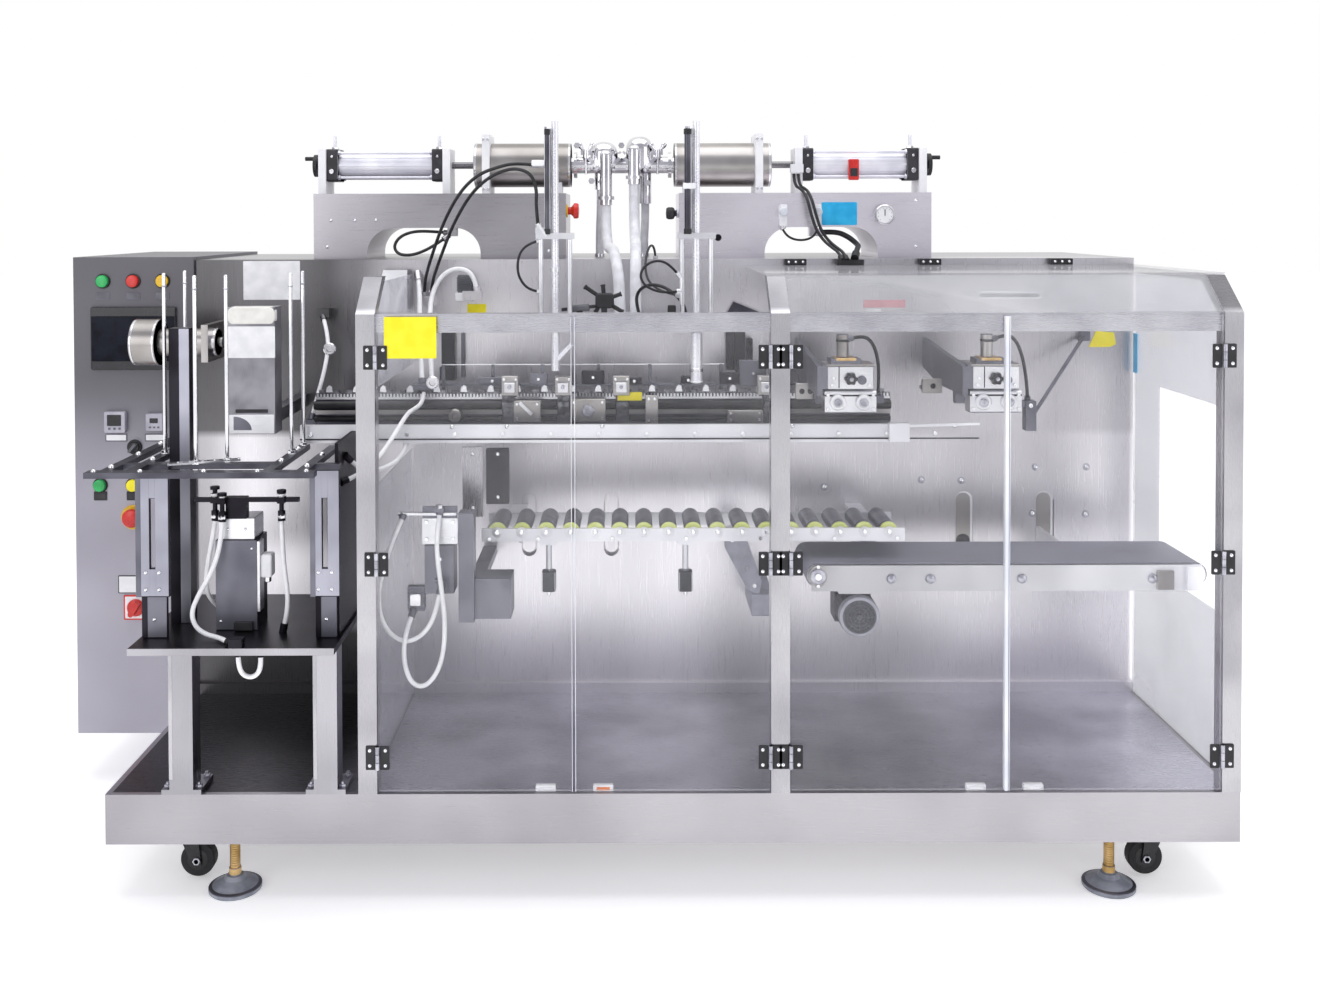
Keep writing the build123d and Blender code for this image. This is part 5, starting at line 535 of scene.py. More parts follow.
# Hoses and tubes, in millimetres of the row frame. Each row: diameter, length, and the route's points,
# which are the control points of a smooth NURBS line.
hoseFinish = {"vacuum_hoses": ("whiteSilicone", "white_hose", "medium"),
              "air_tubes": ("blackTube", "black_tube", "medium"),
              "product_hoses": ("milkySilicone", "clear_hose", "medium")}
hoseRoutes = {
    "vacuum_hoses": {
        "archHose": (12, 408, [
            (-422, -120, 1058), (-429, -94, 1106), (-435, -65, 1155), (-441, -29, 1206), (-442, 10, 1250),
            (-429, 27, 1289), (-399, 33, 1316), (-363, 35, 1319), (-339, 38, 1299), (-334, 41, 1273)]),
        "wallHose": (12, 286, [
            (-446, -120, 1058), (-453, -95, 1106), (-459, -65, 1154), (-466, -30, 1206), (-472, 15, 1262),
            (-480, 43, 1288)]),
        "laneHose": (10, 382, [
            (-435, -161, 1030), (-437, -173, 1008), (-447, -213, 1000), (-455, -259, 998),
            (-463, -299, 983), (-482, -353, 944), (-505, -407, 910), (-529, -451, 892), (-550, -481, 886)]),
        "dropHose": (10, 212, [
            (-459, -279, 925), (-465, -297, 902), (-487, -343, 888), (-511, -393, 888), (-535, -429, 900),
            (-549, -447, 921)]),
        "teeHose": (10, 266, [
            (-717, 27, 1190), (-705, 6, 1166), (-694, -25, 1125), (-696, -60, 1072), (-705, -93, 1016),
            (-711, -119, 973)]),
        "columnHose": (10, 212, [
            (-836, -473, 797), (-843, -477, 749), (-853, -477, 698), (-859, -469, 652), (-854, -453, 620),
            (-841, -437, 600)]),
        "feedHose": (10, 329, [
            (-817, -485, 797), (-819, -491, 750), (-834, -503, 694), (-859, -515, 650), (-873, -523, 613),
            (-863, -527, 584), (-839, -533, 570), (-812, -545, 568), (-792, -562, 568), (-780, -575, 568)]),
        "underLoop": (10, 111, [
            (-757, -579, 539), (-756, -579, 518), (-748, -578, 500), (-731, -578, 494), (-716, -579, 502),
            (-710, -579, 520), (-710, -580, 539)]),
        "rightSuckerHose": (10, 219, [
            (-692, -477, 797), (-689, -483, 745), (-684, -487, 694), (-677, -489, 645), (-678, -489, 607),
            (-684, -489, 580)]),
        "leftLoop": (10, 433, [
            (-442, -431, 790), (-462, -441, 742), (-481, -451, 684), (-491, -455, 628), (-485, -455, 578),
            (-465, -453, 543), (-435, -451, 526), (-406, -450, 533), (-381, -449, 557), (-366, -447, 593),
            (-359, -444, 629)]),
        "rightLoop": (10, 551, [
            (-359, -437, 799), (-364, -453, 754), (-359, -465, 703), (-350, -471, 643), (-343, -473, 580),
            (-345, -473, 519), (-358, -473, 469), (-385, -474, 436), (-413, -473, 440), (-429, -471, 472),
            (-434, -467, 514), (-430, -453, 550), (-422, -437, 576)])},
    "air_tubes": {
        "outerBundle": (8, 548, [
            (-171, -210, 1571), (-211, -214, 1575), (-252, -206, 1566), (-294, -188, 1552),
            (-330, -164, 1527), (-360, -135, 1493), (-387, -100, 1452), (-410, -65, 1410),
            (-433, -25, 1360), (-454, 16, 1312), (-463, 38, 1283), (-465, 44, 1261)]),
        "innerBundle": (8, 649, [
            (-158, -210, 1432), (-162, -219, 1473), (-159, -231, 1514), (-172, -237, 1550),
            (-208, -233, 1563), (-248, -216, 1554), (-286, -190, 1534), (-321, -159, 1503),
            (-350, -124, 1465), (-377, -87, 1422), (-401, -47, 1375), (-424, -5, 1328), (-442, 29, 1288),
            (-447, 42, 1261)]),
        "firstDrop": (8, 323, [
            (506, 210, 1562), (507, 206, 1543), (510, 187, 1528), (515, 159, 1523), (522, 133, 1514),
            (529, 111, 1492), (537, 99, 1455), (549, 94, 1414), (568, 87, 1386), (586, 67, 1369),
            (599, 44, 1358), (602, 33, 1347.3)]),
        "secondDrop": (8, 323, [
            (494, 210, 1562), (495, 206, 1543), (498, 187, 1528), (503, 159, 1523), (510, 133, 1514),
            (517, 111, 1492), (525, 99, 1455), (537, 94, 1414), (556, 87, 1386), (574, 67, 1369),
            (587, 44, 1358), (590, 33, 1347.3)]),
        "archConduit": (14, 201, [
            (567, 177, 1407), (601, 171, 1409), (629, 155, 1396), (645, 127, 1380), (646, 91, 1372),
            (638, 58, 1370), (630, 36, 1355.3)]),
        "coil": (8, 297, [
            (-434, 167, 1409), (-476, 159, 1413), (-516, 149, 1411), (-546, 138, 1397), (-559, 131, 1372),
            (-545, 125, 1352), (-511, 120, 1350), (-478, 120, 1361), (-452, 129, 1376), (-431, 142, 1391)]),
        "sideLoop": (6, 162, [
            (-163, -211, 1391), (-183, -219, 1384), (-199, -227, 1366), (-205, -231, 1340),
            (-203, -231, 1314), (-192, -226, 1292), (-177, -218, 1279), (-163, -211, 1275)]),
        "postLoop": (6, 216, [
            (166, -217, 1318), (150, -224, 1337), (123, -228, 1348), (95, -228, 1338), (80, -227, 1315),
            (88, -226, 1291), (113, -223, 1276), (141, -219, 1271), (166, -213, 1273)]),
        "postTube": (8, 252, [
            (81, -83, 1206), (71, -92, 1240), (77, -109, 1270), (101, -130, 1286), (132, -150, 1284),
            (159, -169, 1269), (181, -180, 1247), (190, -181, 1221), (191, -179, 1206)]),
        "cableLoop": (6, 368, [
            (123, 117, 1349), (120, 105, 1372), (109, 69, 1377), (99, 31, 1355), (95, -5, 1321),
            (101, -43, 1292), (119, -85, 1275), (145, -140, 1266), (169, -189, 1263)]),
        "smallLoop": (6, 115, [
            (456, 132, 1415), (463, 128, 1400), (488, 126, 1387), (520, 126, 1388), (541, 129, 1402),
            (545, 132, 1416)]),
        "firstPressTube": (8, 202, [
            (562, -310, 1172), (589, -302, 1177), (612, -288, 1160), (627, -269, 1124), (634, -247, 1086),
            (637, -227, 1056), (638, -219, 1038)]),
        "secondPressTube": (8, 224, [
            (889, -310, 1172), (915, -303, 1180), (941, -288, 1163), (961, -265, 1126), (975, -243, 1086),
            (985, -225, 1044), (988, -217, 1025)])},
    "product_hoses": {
        "leftProductHose": (28, 455, [
            (-7, 234, 1481), (-7, 234, 1431), (-4, 207, 1388), (1, 163, 1366), (11, 89, 1368),
            (18, 33, 1356), (26, -9, 1322), (31, -31, 1276), (33, -37, 1204)]),
        "rightProductHose": (28, 491, [
            (69, 234, 1536), (69, 234, 1470), (70, 210, 1420), (71, 162, 1388), (72, 85, 1379),
            (72, 25, 1359), (71, -14, 1323), (71, -33, 1276), (71, -37, 1204)]),
        "leftDrainHose": (22, 174, [
            (-22, 287, 1523), (-22, 287, 1463.8), (-25, 289, 1406.4), (-25, 287, 1349)]),
        "rightDrainHose": (22, 136, [
            (99, 287, 1485), (99, 287, 1438.8), (96, 289, 1393.9), (96, 287, 1349)])},
}


# steps of a hose between two of its points, and round its bevel
hoseSteps = {"along": 10, "around": 5}


def layHose(name, node, diameter, length, points):
    # diameter, length and points turn from millimetres to metres: divide by a thousand
    diameter, length = diameter / 1000, length / 1000
    points = [tuple(coordinate / 1000 for coordinate in point) for point in points]
    curve = bpy.data.curves.new(name, "CURVE")
    curve.dimensions = "3D"
    line = curve.splines.new("NURBS")
    line.points.add(len(points) - 1)
    line.points.foreach_set("co", np.column_stack([points, np.ones(len(points))]).ravel())
    line.order_u = 3
    line.use_endpoint_u = True
    line.resolution_u = hoseSteps["along"]
    curve.bevel_depth = diameter / 2
    curve.bevel_resolution = hoseSteps["around"]
    curve.use_fill_caps = True
    finish, slotName, stiffness = hoseFinish[node]
    curve.materials.append(finishOf(finish))
    hose = bpy.data.objects.new(name, curve)
    bpy.context.scene.collection.objects.link(hose)
    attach(hose, "machine")
    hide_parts(node)
    return hose


for hoseNode, routes in hoseRoutes.items():
    for hoseName, route in routes.items():
        layHose(hoseName, hoseNode, *route)
print("hoses laid:", sum(len(routes) for routes in hoseRoutes.values()))


# Small parts used all over the machine
def capScrew(at, head=9.0, rise=5.0, finish="chromedRod", axis=forward):
    # radius against height: a straight wall, a chamfer, and a round socket sunk into the top
    r = head / 2
    profile = [(r, -0.5), (r, 0.78 * rise), (0.86 * r, rise), (0.5 * r, rise), (0.46 * r, 0.4 * rise)]
    return lathe(at, profile, finish, 14, axis)


def domeScrew(at, head=9.0, rise=3.5, finish="chromedRod", axis=forward):
    # radius is the cosine and height the sine of an angle from the rim to the crown
    t = np.linspace(0, 0.94 * np.pi / 2, 5)
    profile = np.column_stack([head / 2 * np.cos(t), rise * np.sin(t)])
    return lathe(at, np.vstack([[head / 2, -0.5], profile]), finish, 14, axis)


def hexNut(at, flats=13.0, rise=6.0, finish="zincedSteel", axis=forward):
    # six points round the axis, drawn in a little at both ends
    r = flats / math.sqrt(3)
    return lathe(at, [(0.92 * r, 0), (r, 0.12 * rise), (r, 0.88 * rise), (0.92 * r, rise)], finish, 6, axis)


def washer(at, wide=14.0, rise=1.2, finish="zincedSteel", axis=forward):
    r = wide / 2
    return lathe(at, [(r, -0.3), (r, 0.7 * rise), (0.94 * r, rise)], finish, 16, axis)


def lobed(at, wide, tall, lobes=5, depth=0.12, finish="blackNylon", around=40, axis=forward):
    # radius at angle t: half the width x (1 - depth + depth x cos(lobes x t)), the same on every ring
    axis, first, second = crossAxes(axis)
    t = np.linspace(0, 2 * np.pi, around, endpoint=False)
    wave = (wide / 2) * (1 - depth + depth * np.cos(lobes * t))
    rings = []
    for share, height in ((0.7, 0), (0.96, 0.12), (1.0, 0.5), (0.94, 0.85), (0.7, 1.0)):
        ring = (wave * share * np.cos(t))[:, None] * first + (wave * share * np.sin(t))[:, None] * second
        rings.append(np.asarray(at, float) + height * tall * axis + ring)
    return np.stack(rings), finish


def plate(x0, x1, z0, z1, y, thick, finish, corner=2.0, bevel=0.4):
    # a thin plate on a face that looks forward, its back at y
    return block((x0, y - thick, z0), (x1, y, z1), finish, corner, bevel)


# Butt hinges: a moving leaf and the middle knuckle ride with each door, the rest stays on the posts
hinges = {"pins": {"door_1": (-622.5, 1), "door_2": (206.5, -1), "door_3": (249.5, 1),
                   "door_4": (1158.5, -1)}, "heights": (308, 718, 1154), "leaf": 25.0, "tall": 50.4,
          "gap": 4.9, "thick": 3.4, "knuckle": 9.8, "pinY": -4.5, "middle": 8.1, "outer": (8.8, 25),
          "screw": 8.4, "screwRise": 2.6}
stillParts, pinY = [], hinges["pinY"]
for doorName, (pinX, side) in hinges["pins"].items():
    movingParts = []
    for z in hinges["heights"]:
        for way, target in ((side, movingParts), (-side, stillParts)):
            inner, outer = pinX + way * hinges["gap"], pinX + way * hinges["leaf"]
            half = hinges["tall"] / 2
            target.append(block((inner, -hinges["thick"], z - half), (outer, -0.1, z + half), "blackNylon",
                                2.4, 0.7))
            for dz in (-16, 16):
                place = ((inner + outer) / 2 + way * 1.5, -hinges["thick"], z + dz)
                target.append(domeScrew(place, hinges["screw"], hinges["screwRise"]))
        movingParts.append(bar((pinX, pinY, z - hinges["middle"]), (pinX, pinY, z + hinges["middle"]),
                               hinges["knuckle"], "zincedSteel"))
        near, far = hinges["outer"]
        for low, high in ((-far, -near), (near, far)):
            stillParts.append(bar((pinX, pinY, z + low), (pinX, pinY, z + high), hinges["knuckle"],
                                  "zincedSteel"))
    if doorName == "door_1":
        # a blank yellow plate stuck to the left door's upper corner
        movingParts.append(plate(-604, -494, 1152, 1239, 0.0, 1.0, "signalYellow", 1.5, 0.3))
    makePiece(doorName.replace("_", "") + "Hinges", movingParts, doorName)
makePiece("postHingeLeaves", stillParts)
print("hinges fitted")

# Push buttons, tags and the stop button on the control cabinet's face, which looks forward at y = 590
controls = {"face": 590.0, "glass": 582.6, "window": 575.8, "bezel": 38.0, "cap": 31.0, "capRise": 12.0,
            "stopCap": 47.0, "stopDisc": 63.0, "selector": (-1354.0, 864.0), "barLength": 27.0,
            "barWidth": 6.8, "stop": (-1359.0, 684.0),
            "upper": {-1431: "greenPlastic", -1354: "redPlastic", -1279: "yellowPlastic"},
            "lower": {-1443: "greenPlastic", -1359: "signalYellow", -1271: "redPlastic"}}
face = controls["face"]
buttonParts = []
for row, z in (("upper", 1288), ("lower", 766)):
    for x, colour in controls[row].items():
        r, c = controls["bezel"] / 2, controls["cap"] / 2
        rise = controls["capRise"]
        buttonParts += [
            lathe((x, face, z), [(r, 0), (r, 2.6), (r - 1.6, 4.2), (c + 1, 4.4), (c + 0.6, 2.4)],
                  "blackNylon", 28),
            lathe((x, face, z),
                  [(c, 1), (c, rise - 2.6), (c - 1, rise - 0.8), (c - 3, rise), (c * 0.5, rise)], colour,
                  28),
        ]
for x in controls["upper"]:
    buttonParts += [
        plate(x - 17, x + 17, 1241, 1259, face, 1.4, "mauveTag", 2),
        plate(x - 13.5, x + 13.5, 1244, 1256, face - 1.2, 0.6, "cableGrey", 1, 0.2),
    ]
for x in controls["lower"]:
    buttonParts += [
        plate(x - 17, x + 17, 727, 750, face, 1.6, "blackNylon", 2),
        plate(x - 12, x + 12, 732, 745, face - 1.4, 0.5, "blackCap", 1, 0.2),
    ]
# selector: a black ring with a raised bar turned two fifths of the way over
selectorX, selectorZ = controls["selector"]
buttonParts += [
    lathe((selectorX, face, selectorZ), [(19, 0), (19, 4), (17, 6), (14.5, 6), (14, 3)], "blackNylon", 28),
    lathe((selectorX, face, selectorZ), [(13, 2), (13, 9), (12, 10)], "blackCap", 24),
]
# z and x shares of the bar's length and of its width
along, across = np.array((0.78, 0.62)), np.array((-0.62, 0.78))
# each corner: middle + or - half the length along + or - half the width across
along, across = along * controls["barLength"] / 2, across * controls["barWidth"] / 2
corners = [np.array((selectorZ, selectorX)) + a * along + b * across
           for a, b in ((-1, -1), (1, -1), (1, 1), (-1, 1))]
buttonParts.append((prism(corners, face - 24, face - 9, "y"), "cableGrey"))
# stop button: yellow disc, dark neck, red mushroom head
r, d = controls["stopCap"] / 2, controls["stopDisc"] / 2
stopAt = (controls["stop"][0], face, controls["stop"][1])
buttonParts += [
    lathe(stopAt, [(d, 0), (d, 2), (d - 1, 3), (17, 3)], "yellowPlastic", 40),
    lathe(stopAt, [(14, 2), (14, 12)], "blackNylon", 24),
    lathe(stopAt, [(15, 11), (r, 14), (r, 19), (r - 2.2, 22.6), (r - 7, 25), (2, 26)], "redPlastic", 40),
    # power switch plate: white with a red rim, and a white tag above it
    plate(-1386, -1322, 420, 484, face, 2.6, "redPlastic", 2),
    plate(-1382, -1326, 424, 480, face - 2.2, 1.4, "tagWhite", 2),
    plate(-1400, -1350, 488, 534, face, 1.4, "blackCap", 2),
    plate(-1397.5, -1352.5, 490.5, 531.5, face - 1.2, 0.8, "tagWhite", 1.5),
]
makePiece("pushButtons", buttonParts, replaces=("push_buttons",))

# the power switch's knob: a round skirt and a grip bar that narrows to its pointer end
knob = {"x": -1354.0, "z": 452.0, "skirt": 44.0, "grip": 15.0, "turn": -28.0}
kx, kz, kr, grip = knob["x"], knob["z"], knob["skirt"] / 2, knob["grip"] / 2
skirt = turned((kx, 586, kz), forward, [(kr, 0), (kr, 4), (kr - 1.5, 7), (kr - 6, 9), (kr - 9, 9.4)], 36)
turn = math.radians(knob["turn"])
way = np.array((-math.cos(turn), math.sin(turn)))
side = np.array((-way[1], way[0]))
outline = [np.array((kz, kx)) + a * way + b * side for a, b in
           ((-19, -grip), (14, -grip), (20.5, -3.5), (20.5, 3.5), (14, grip), (-19, grip))]
makePiece("switchKnob", [(skirt, "redPlastic"), (prism(outline, 564, 580, "y"), "redPlastic")],
          "rotary_switch", replaces=("rotary_switch",))

# touch screen glass, two small controllers and their blank tags
glassY = controls["glass"]
panelParts = [plate(-1460, -1246, 1199, 1221, glassY, 1.0, "screenGlass", 2, 0.3),
              plate(-1460, -1246, 1063, 1084, glassY, 1.0, "screenGlass", 2, 0.3),
              plate(-1459, -1247, 1084.6, 1198.4, glassY, 1.0, "panelGlass", 1, 0.3),
              plate(-1461.6, -1244.4, 1061.4, 1222.6, face, 6.0, "blackNylon", 5, 1.5)]
for x, z, size in ((-1400, 929, 52), (-1299, 929, 42)):
    half = size / 2
    panelParts.append(plate(x - half - 0.6, x + half + 0.6, z - half - 0.6, z + half + 0.6, face, 14.8,
                            "controllerGrey", 3, 1.2))
    window = (x - half * 0.72, x + half * 0.66, z - half * 0.35, z + half * 0.75) if size > 50 else (
        x - half * 0.55, x + half * 0.45, z - half * 0.1, z + half * 0.5)
    panelParts.append(plate(*window, controls["window"], 1.2, "screenGlass", 1.5, 0.3))
    for dx in (-half / 2, 0, half / 2):
        panelParts.append(plate(x + dx - 3, x + dx + 3, z - half * 0.72, z - half * 0.5, controls["window"],
                                1.2, "cableGrey", 1, 0.3))
for x0, x1 in ((-1429, -1373), (-1328, -1270)):
    panelParts += [
        plate(x0, x1, 878, 898, face, 1.5, "mauveTag", 2),
        plate(x0 + 3, x1 - 3, 881, 895, face - 1.2, 0.8, "tagWhite", 1.5),
    ]
makePiece("operatorPanel", panelParts)
print("control panel dressed")

# Plates, bolts and small fittings on the tall cabinet's face, which looks forward
wall = 600.0
cabinetBolts = {"places": ((409, 755), (658, 773), (760, 771), (950, 805), (1081, 805), (943, 686),
                           (1079, 684)), "head": 13.0, "rise": 5.0}
wallParts = []
for x, z in cabinetBolts["places"]:
    wallParts += [
        washer((x, wall, z), 19),
        domeScrew((x, wall - 1, z), cabinetBolts["head"], cabinetBolts["rise"]),
    ]
makePiece("cabinetBolts", wallParts)
wallPlates = {"white": [(-1076, -931, 1239, 1338)],
              "pale": [(517, 553, 1199, 1212), (450, 504, 1179, 1194)]}
plateParts = [plate(x0, x1, z0, z1, wall, 2.0, "tagWhite", 2) for x0, x1, z0, z1 in wallPlates["white"]]
plateParts += [plate(x0, x1, z0, z1, wall, 1.6, "tagWhite", 1.5) for x0, x1, z0, z1 in wallPlates["pale"]]
plateParts += [plate(509, 616, 1215, 1235, wall, 1.6, "plateRed", 1.5),
               plate(-504, -456, 1200, 1227, wall, 1.4, "signalYellow", 1.5)]
yellowOutline = [(1113, 1085), (1154, 1104), (1150, 1150), (1120, 1155), (1113, 1140)]
plateParts.append((prism(yellowOutline, wall - 1.6, wall, "y"), "signalYellow"))
makePiece("cabinetPlates", plateParts)

# pressed recesses drawn as rounded pads a little proud, with painted shade inside and a painted highlight
# on a rim
slots = {"faint": ((-348, 588, 741), (-137, 588, 741)), "upright": ((766, 588, 741), (972, 588, 741)),
         "wide": 40.0}
slotParts = []
for x, z0, z1 in slots["upright"]:
    # a bright rim whose right edge shows as a painted highlight, a mid-grey inner plate of painted shade
    # set left, and a darker lower part of painted shade
    half = slots["wide"] / 2
    slotParts += [
        plate(x - half, x + half + 3, z0 - 2, z1 + 2, wall, 1.4, "brightRail", half, 0.6),
        plate(x - half, x + half - 3, z0 + 1, z1 - 1, 598.8, 0.5, "satinBarrel", half - 2, 0.2),
        plate(x - half + 1, x + half - 4, z0 + 2, z0 + 46, 598.4, 0.5, "darkAnodised", half - 4, 0.2),
    ]
for x, z0, z1 in slots["faint"]:
    # a thin darker ring of painted shade round an inner plate in the wall's own finish
    slotParts += [
        plate(x - 18, x + 18, z0, z1, wall, 0.8, "satinBarrel", 18, 0.4),
        plate(x - 17, x + 17, z0 + 1, z1 - 1, 599.3, 0.5, "uprightStainless", 17, 0.2),
    ]
# a long slot: a bright frame round a dark middle of painted shade
slotParts += [
    plate(798, 964, 1236, 1256, wall, 3.0, "clearAnodised", 9, 1.2),
    plate(804, 958, 1241, 1251, 597.4, 0.8, "darkAnodised", 5, 0.2),
]
makePiece("cabinetSlots", slotParts)

# vacuum valve body behind the pusher, with a ribbed coil and its white plug
valve = {"rib": 4.0, "ribPitch": 6.0}
hopper = [(1214, -742), (1214, -652), (1316, -652), (1316, -712), (1268, -736)]
valveParts = [(prism(hopper, 560, 600, "y"), "satinBarrel"),
              (prism([(z, x + 2) for z, x in hopper][:4], 556, 561, "y"), "clearAnodised")]
valveParts.append(block((-526, 578, 1256), (-490, 600, 1302), "cableGrey", 3, 1.2))
for z in np.arange(1262, 1298, valve["ribPitch"]):
    valveParts.append(block((-528, 576, z), (-488, 599, z + valve["rib"]), "cableGrey", 2, 0.6, "z"))
valveParts.append(block((-531, 572, 1235), (-488, 600, 1257), "tagWhite", 3, 1.2))
makePiece("vacuumValve", valveParts)
print("cabinet face dressed")

# Guard trims: a yellow strip before the chain and a blue strip on the end pane
makePiece("guardStrips", [
    plate(-118, -60, 1012, 1032, 360.4, 1.2, "signalYellow", 1.5),
    block((1193.6, 560, 1050), (1195.2, 585, 1150), "plateBlue", 1.5, 0.3, "x"),
])
rearCatch = {"left": (-290, -168, 622, 744), "wide": 42.4}
catchParts = []
for index, x in enumerate(rearCatch["left"]):
    catchParts += [
        block((x - 0.4, 9.4, 229.9), (x + rearCatch["wide"], 20.6, 243.5), "tagWhite", 2, 1),
        block((x + 7, 8.6, 233), (x + 35, 9.8, 240), "orangePlastic" if index == 1 else "clearAnodised", 2,
              0.5),
    ]
makePiece("doorCatches", catchParts)

# Roof hinge blocks: two dark leaves with a row of bright screws
roofParts = []
for x0 in (306, 648, 982):
    roofParts.append(block((x0 - 0.5, 575.4, 1324.8), (x0 + 54.5, 600.2, 1340.6), "blackNylon", 2, 1))
    for dx in (9, 27, 45):
        roofParts.append(domeScrew((x0 + dx, 575.4, 1333), 7, 2.2))
makePiece("roofHinges", roofParts)

# Sealing stations: press heads with brass plates, lobed knobs, bosses and screws
stations = {"centres": (408.0, 735.0), "knobZ": 1083.0, "jawZ": 1030.0}
stationParts = []
knobZ, jawZ = stations["knobZ"], stations["jawZ"]
for number, x in enumerate(stations["centres"], 1):
    stationParts += [
        block((x - 51.6, 195.0, 1059.4), (x + 51.6, 250.6, 1110.6), "clearAnodised", 3, 1.2),
        block((x - 56, 194, 1110.4), (x + 56, 275, 1115), "satinBarrel", 2, 0.8, "z"),
        block((x - 33, 195, 1123), (x + 13, 252, 1129), "brassPlate", 2, 0.8, "z"),
        bar((x - 14, 223, 1129), (x - 14, 223, 1180), 27.5, "satinBarrel", 28, 0.1),
        bar((x - 14, 223, 1164), (x - 14, 223, 1170), 30, "blackNylon", 28, 0.2),
        lobed((x, 196, knobZ), 30, 14, 6, 0.1, "blackNylon"),
        lathe((x, 182, knobZ), [(5, 0), (4.4, 2.5), (2, 3)], "zincedSteel", 16),
        block((x - 27.4, 194.2, 1062), (x - 25, 195.6, 1110), "darkAnodised", 0.8, 0.3),
        capScrew((x - 38, 195, knobZ), 8, 3),
    ]
    for dx in (-42, 42):
        stationParts.append(capScrew((x + dx, 195, 1068), 9, 4))
    # jaw: a heater block with two round bosses, each with a bright core, and a row of cartridge ends
    parts = []
    for dx in (-29, 29):
        parts += [
            lathe((x + dx, 191.4, jawZ), [(18.4, -6), (18.4, 0.6), (16.6, 2), (11, 2), (10, 0.6)],
                  "clearAnodised", 30),
            lathe((x + dx, 191.4, jawZ), [(8.6, 0), (8.6, 2.4), (7, 3.6), (3.4, 3.6), (3, 1.4)],
                  "zincedSteel", 24),
        ]
    for dx in (-51, 51):
        for dz in (-16, 16):
            parts.append(capScrew((x + dx, 196, jawZ + dz), 8, 3.6))
    parts.append(block((x - 58.4, 195.4, 1043), (x + 58.4, 240.4, 1047), "darkAnodised", 1, 0.4, "z"))
    makePiece(f"jawDetail{number}", parts, f"seal_jaw_{number}")
# hole plates between the stations and the pivot link's bolts
for x0, x1, z0, z1, holes in ((303, 352, 1016, 1054, (318, 338)), (602, 650, 1030, 1064, (628,))):
    stationParts += [
        block((x0, 344, z0), (x1, 352, z1), "satinBarrel", 4, 1),
        block((x0 + 6, 350, z0 + 4), (x1 - 6, 402, z0 + 12), "satinBarrel", 1, 0.4, "z"),
    ]
    for x in holes:
        stationParts.append(lathe((x, 344.2, (z0 + z1) / 2),
                                  [(6.5, -1), (6.5, 0.8), (4.6, 0.9), (4.2, 0.3)], "darkAnodised", 20))
for x, z in ((700, 1000), (818, 1000), (846, 1006)):
    stationParts.append(capScrew((x, 304, z), 11, 5))
makePiece("stationDetail", stationParts)
print("sealing stations dressed")

# Lane: gripper pads, sensors, cover plates and the ring fittings at its left end
lane = {"grippers": (-373, -247, -109, 234), "z": 1051.0, "clipPitch": 64.0, "screwPitch": 110}
laneParts = []
z = lane["z"]
for x in lane["grippers"]:
    laneParts += [
        block((x - 20, 352, z - 26), (x + 20, 372, z + 20), "satinBarrel", 3, 1.2),
        block((x - 13, 340, z - 18), (x + 13, 354, z + 6), "clearAnodised", 2, 1),
        bar((x, 334, z - 4), (x, 343, z - 4), 9, "zincedSteel"),
        capScrew((x - 14, 352, z + 13), 7, 3.4),
        capScrew((x + 14, 352, z + 13), 7, 3.4),
    ]
# a row of spring clips along the chain: a bent strip with a nose, repeated at one pitch
for x in np.arange(-812, 520, lane["clipPitch"]):
    laneParts.append((prism([(1033, x), (1033, x + 16), (1046, x + 14), (1049, x + 7), (1043, x + 2)], 364,
                            371, "y"), "clearAnodised"))
laneParts += [
    block((-419, 248, 790), (-366, 262, 918), "darkAnodised", 3, 1.2),
    block((-474, 252, 760), (-426, 258, 921), "satinTube", 2, 0.8),
]
for x, z in ((-450, 905), (-450, 780), (-392, 905), (-392, 806)):
    laneParts.append(domeScrew((x, 248 if x > -420 else 252, z), 10, 4))
for x in range(-820, 720, lane["screwPitch"]):
    laneParts.append(capScrew((x, 250, 951), 10, 4.5))
laneParts.append(block((-845, 246.6, 938), (711, 249.6, 941), "darkAnodised", 0.8, 0.3))
for place in ((-542, 262, 1069), (-810, 400, 1133)):
    laneParts.append(lathe(place, [(15, 0), (15, 5), (12.6, 7), (7.5, 7), (6.6, 2)], "polishedFitting", 28))
makePiece("laneDetail", laneParts)
print("lane dressed")

# Rollers: a lime drive ring round each one near its front end, and a bright axle end with its circlip
rollers = {"first": -394.0, "pitch": 56.25, "count": 17, "z": 725.0, "ring": 41.4, "ringWide": 7.0,
           "ringY": 256.0}
ringParts, axleParts = [], []
r, w, z = rollers["ring"] / 2, rollers["ringWide"], rollers["z"]
for x in rollers["first"] + rollers["pitch"] * np.arange(rollers["count"]):
    ringParts.append(lathe((x, rollers["ringY"] + w, z),
                           [(r - 1.6, 0), (r, 1.6), (r, w - 1.6), (r - 1.6, w)], "ringLime", 28))
    axleParts += [
        bar((x, 244.5, z), (x, 250, z), 11, "chromedRod", 16, 0.2),
        lathe((x, 248.4, z), [(12, -1), (12, 0.6), (11, 1.2)], "brightRail", 20),
    ]
makePiece("driveRings", ringParts)
makePiece("rollerAxles", axleParts)
frameBolts = {"x": (-412, -300, -130, 40, 210, 380, 524), "z": 710.0, "hangers": (-277, 39)}
boltParts = [capScrew((x, 250, frameBolts["z"]), 9, 4) for x in frameBolts["x"]]
for x in frameBolts["hangers"]:
    # dark sleeve round each hanger block, a bright collar and its tip
    boltParts += [
        block((x - 16, 260, 583), (x + 16, 292, 629), "darkCasting", 5, 1.5, "z"),
        bar((x, 276, 584), (x, 276, 572), 9, "chromedRod", 16, 0.25),
        bar((x, 276, 628), (x, 276, 634), 19, "zincedSteel", 6, 0.1),
    ]
makePiece("rollerFrameBolts", boltParts)

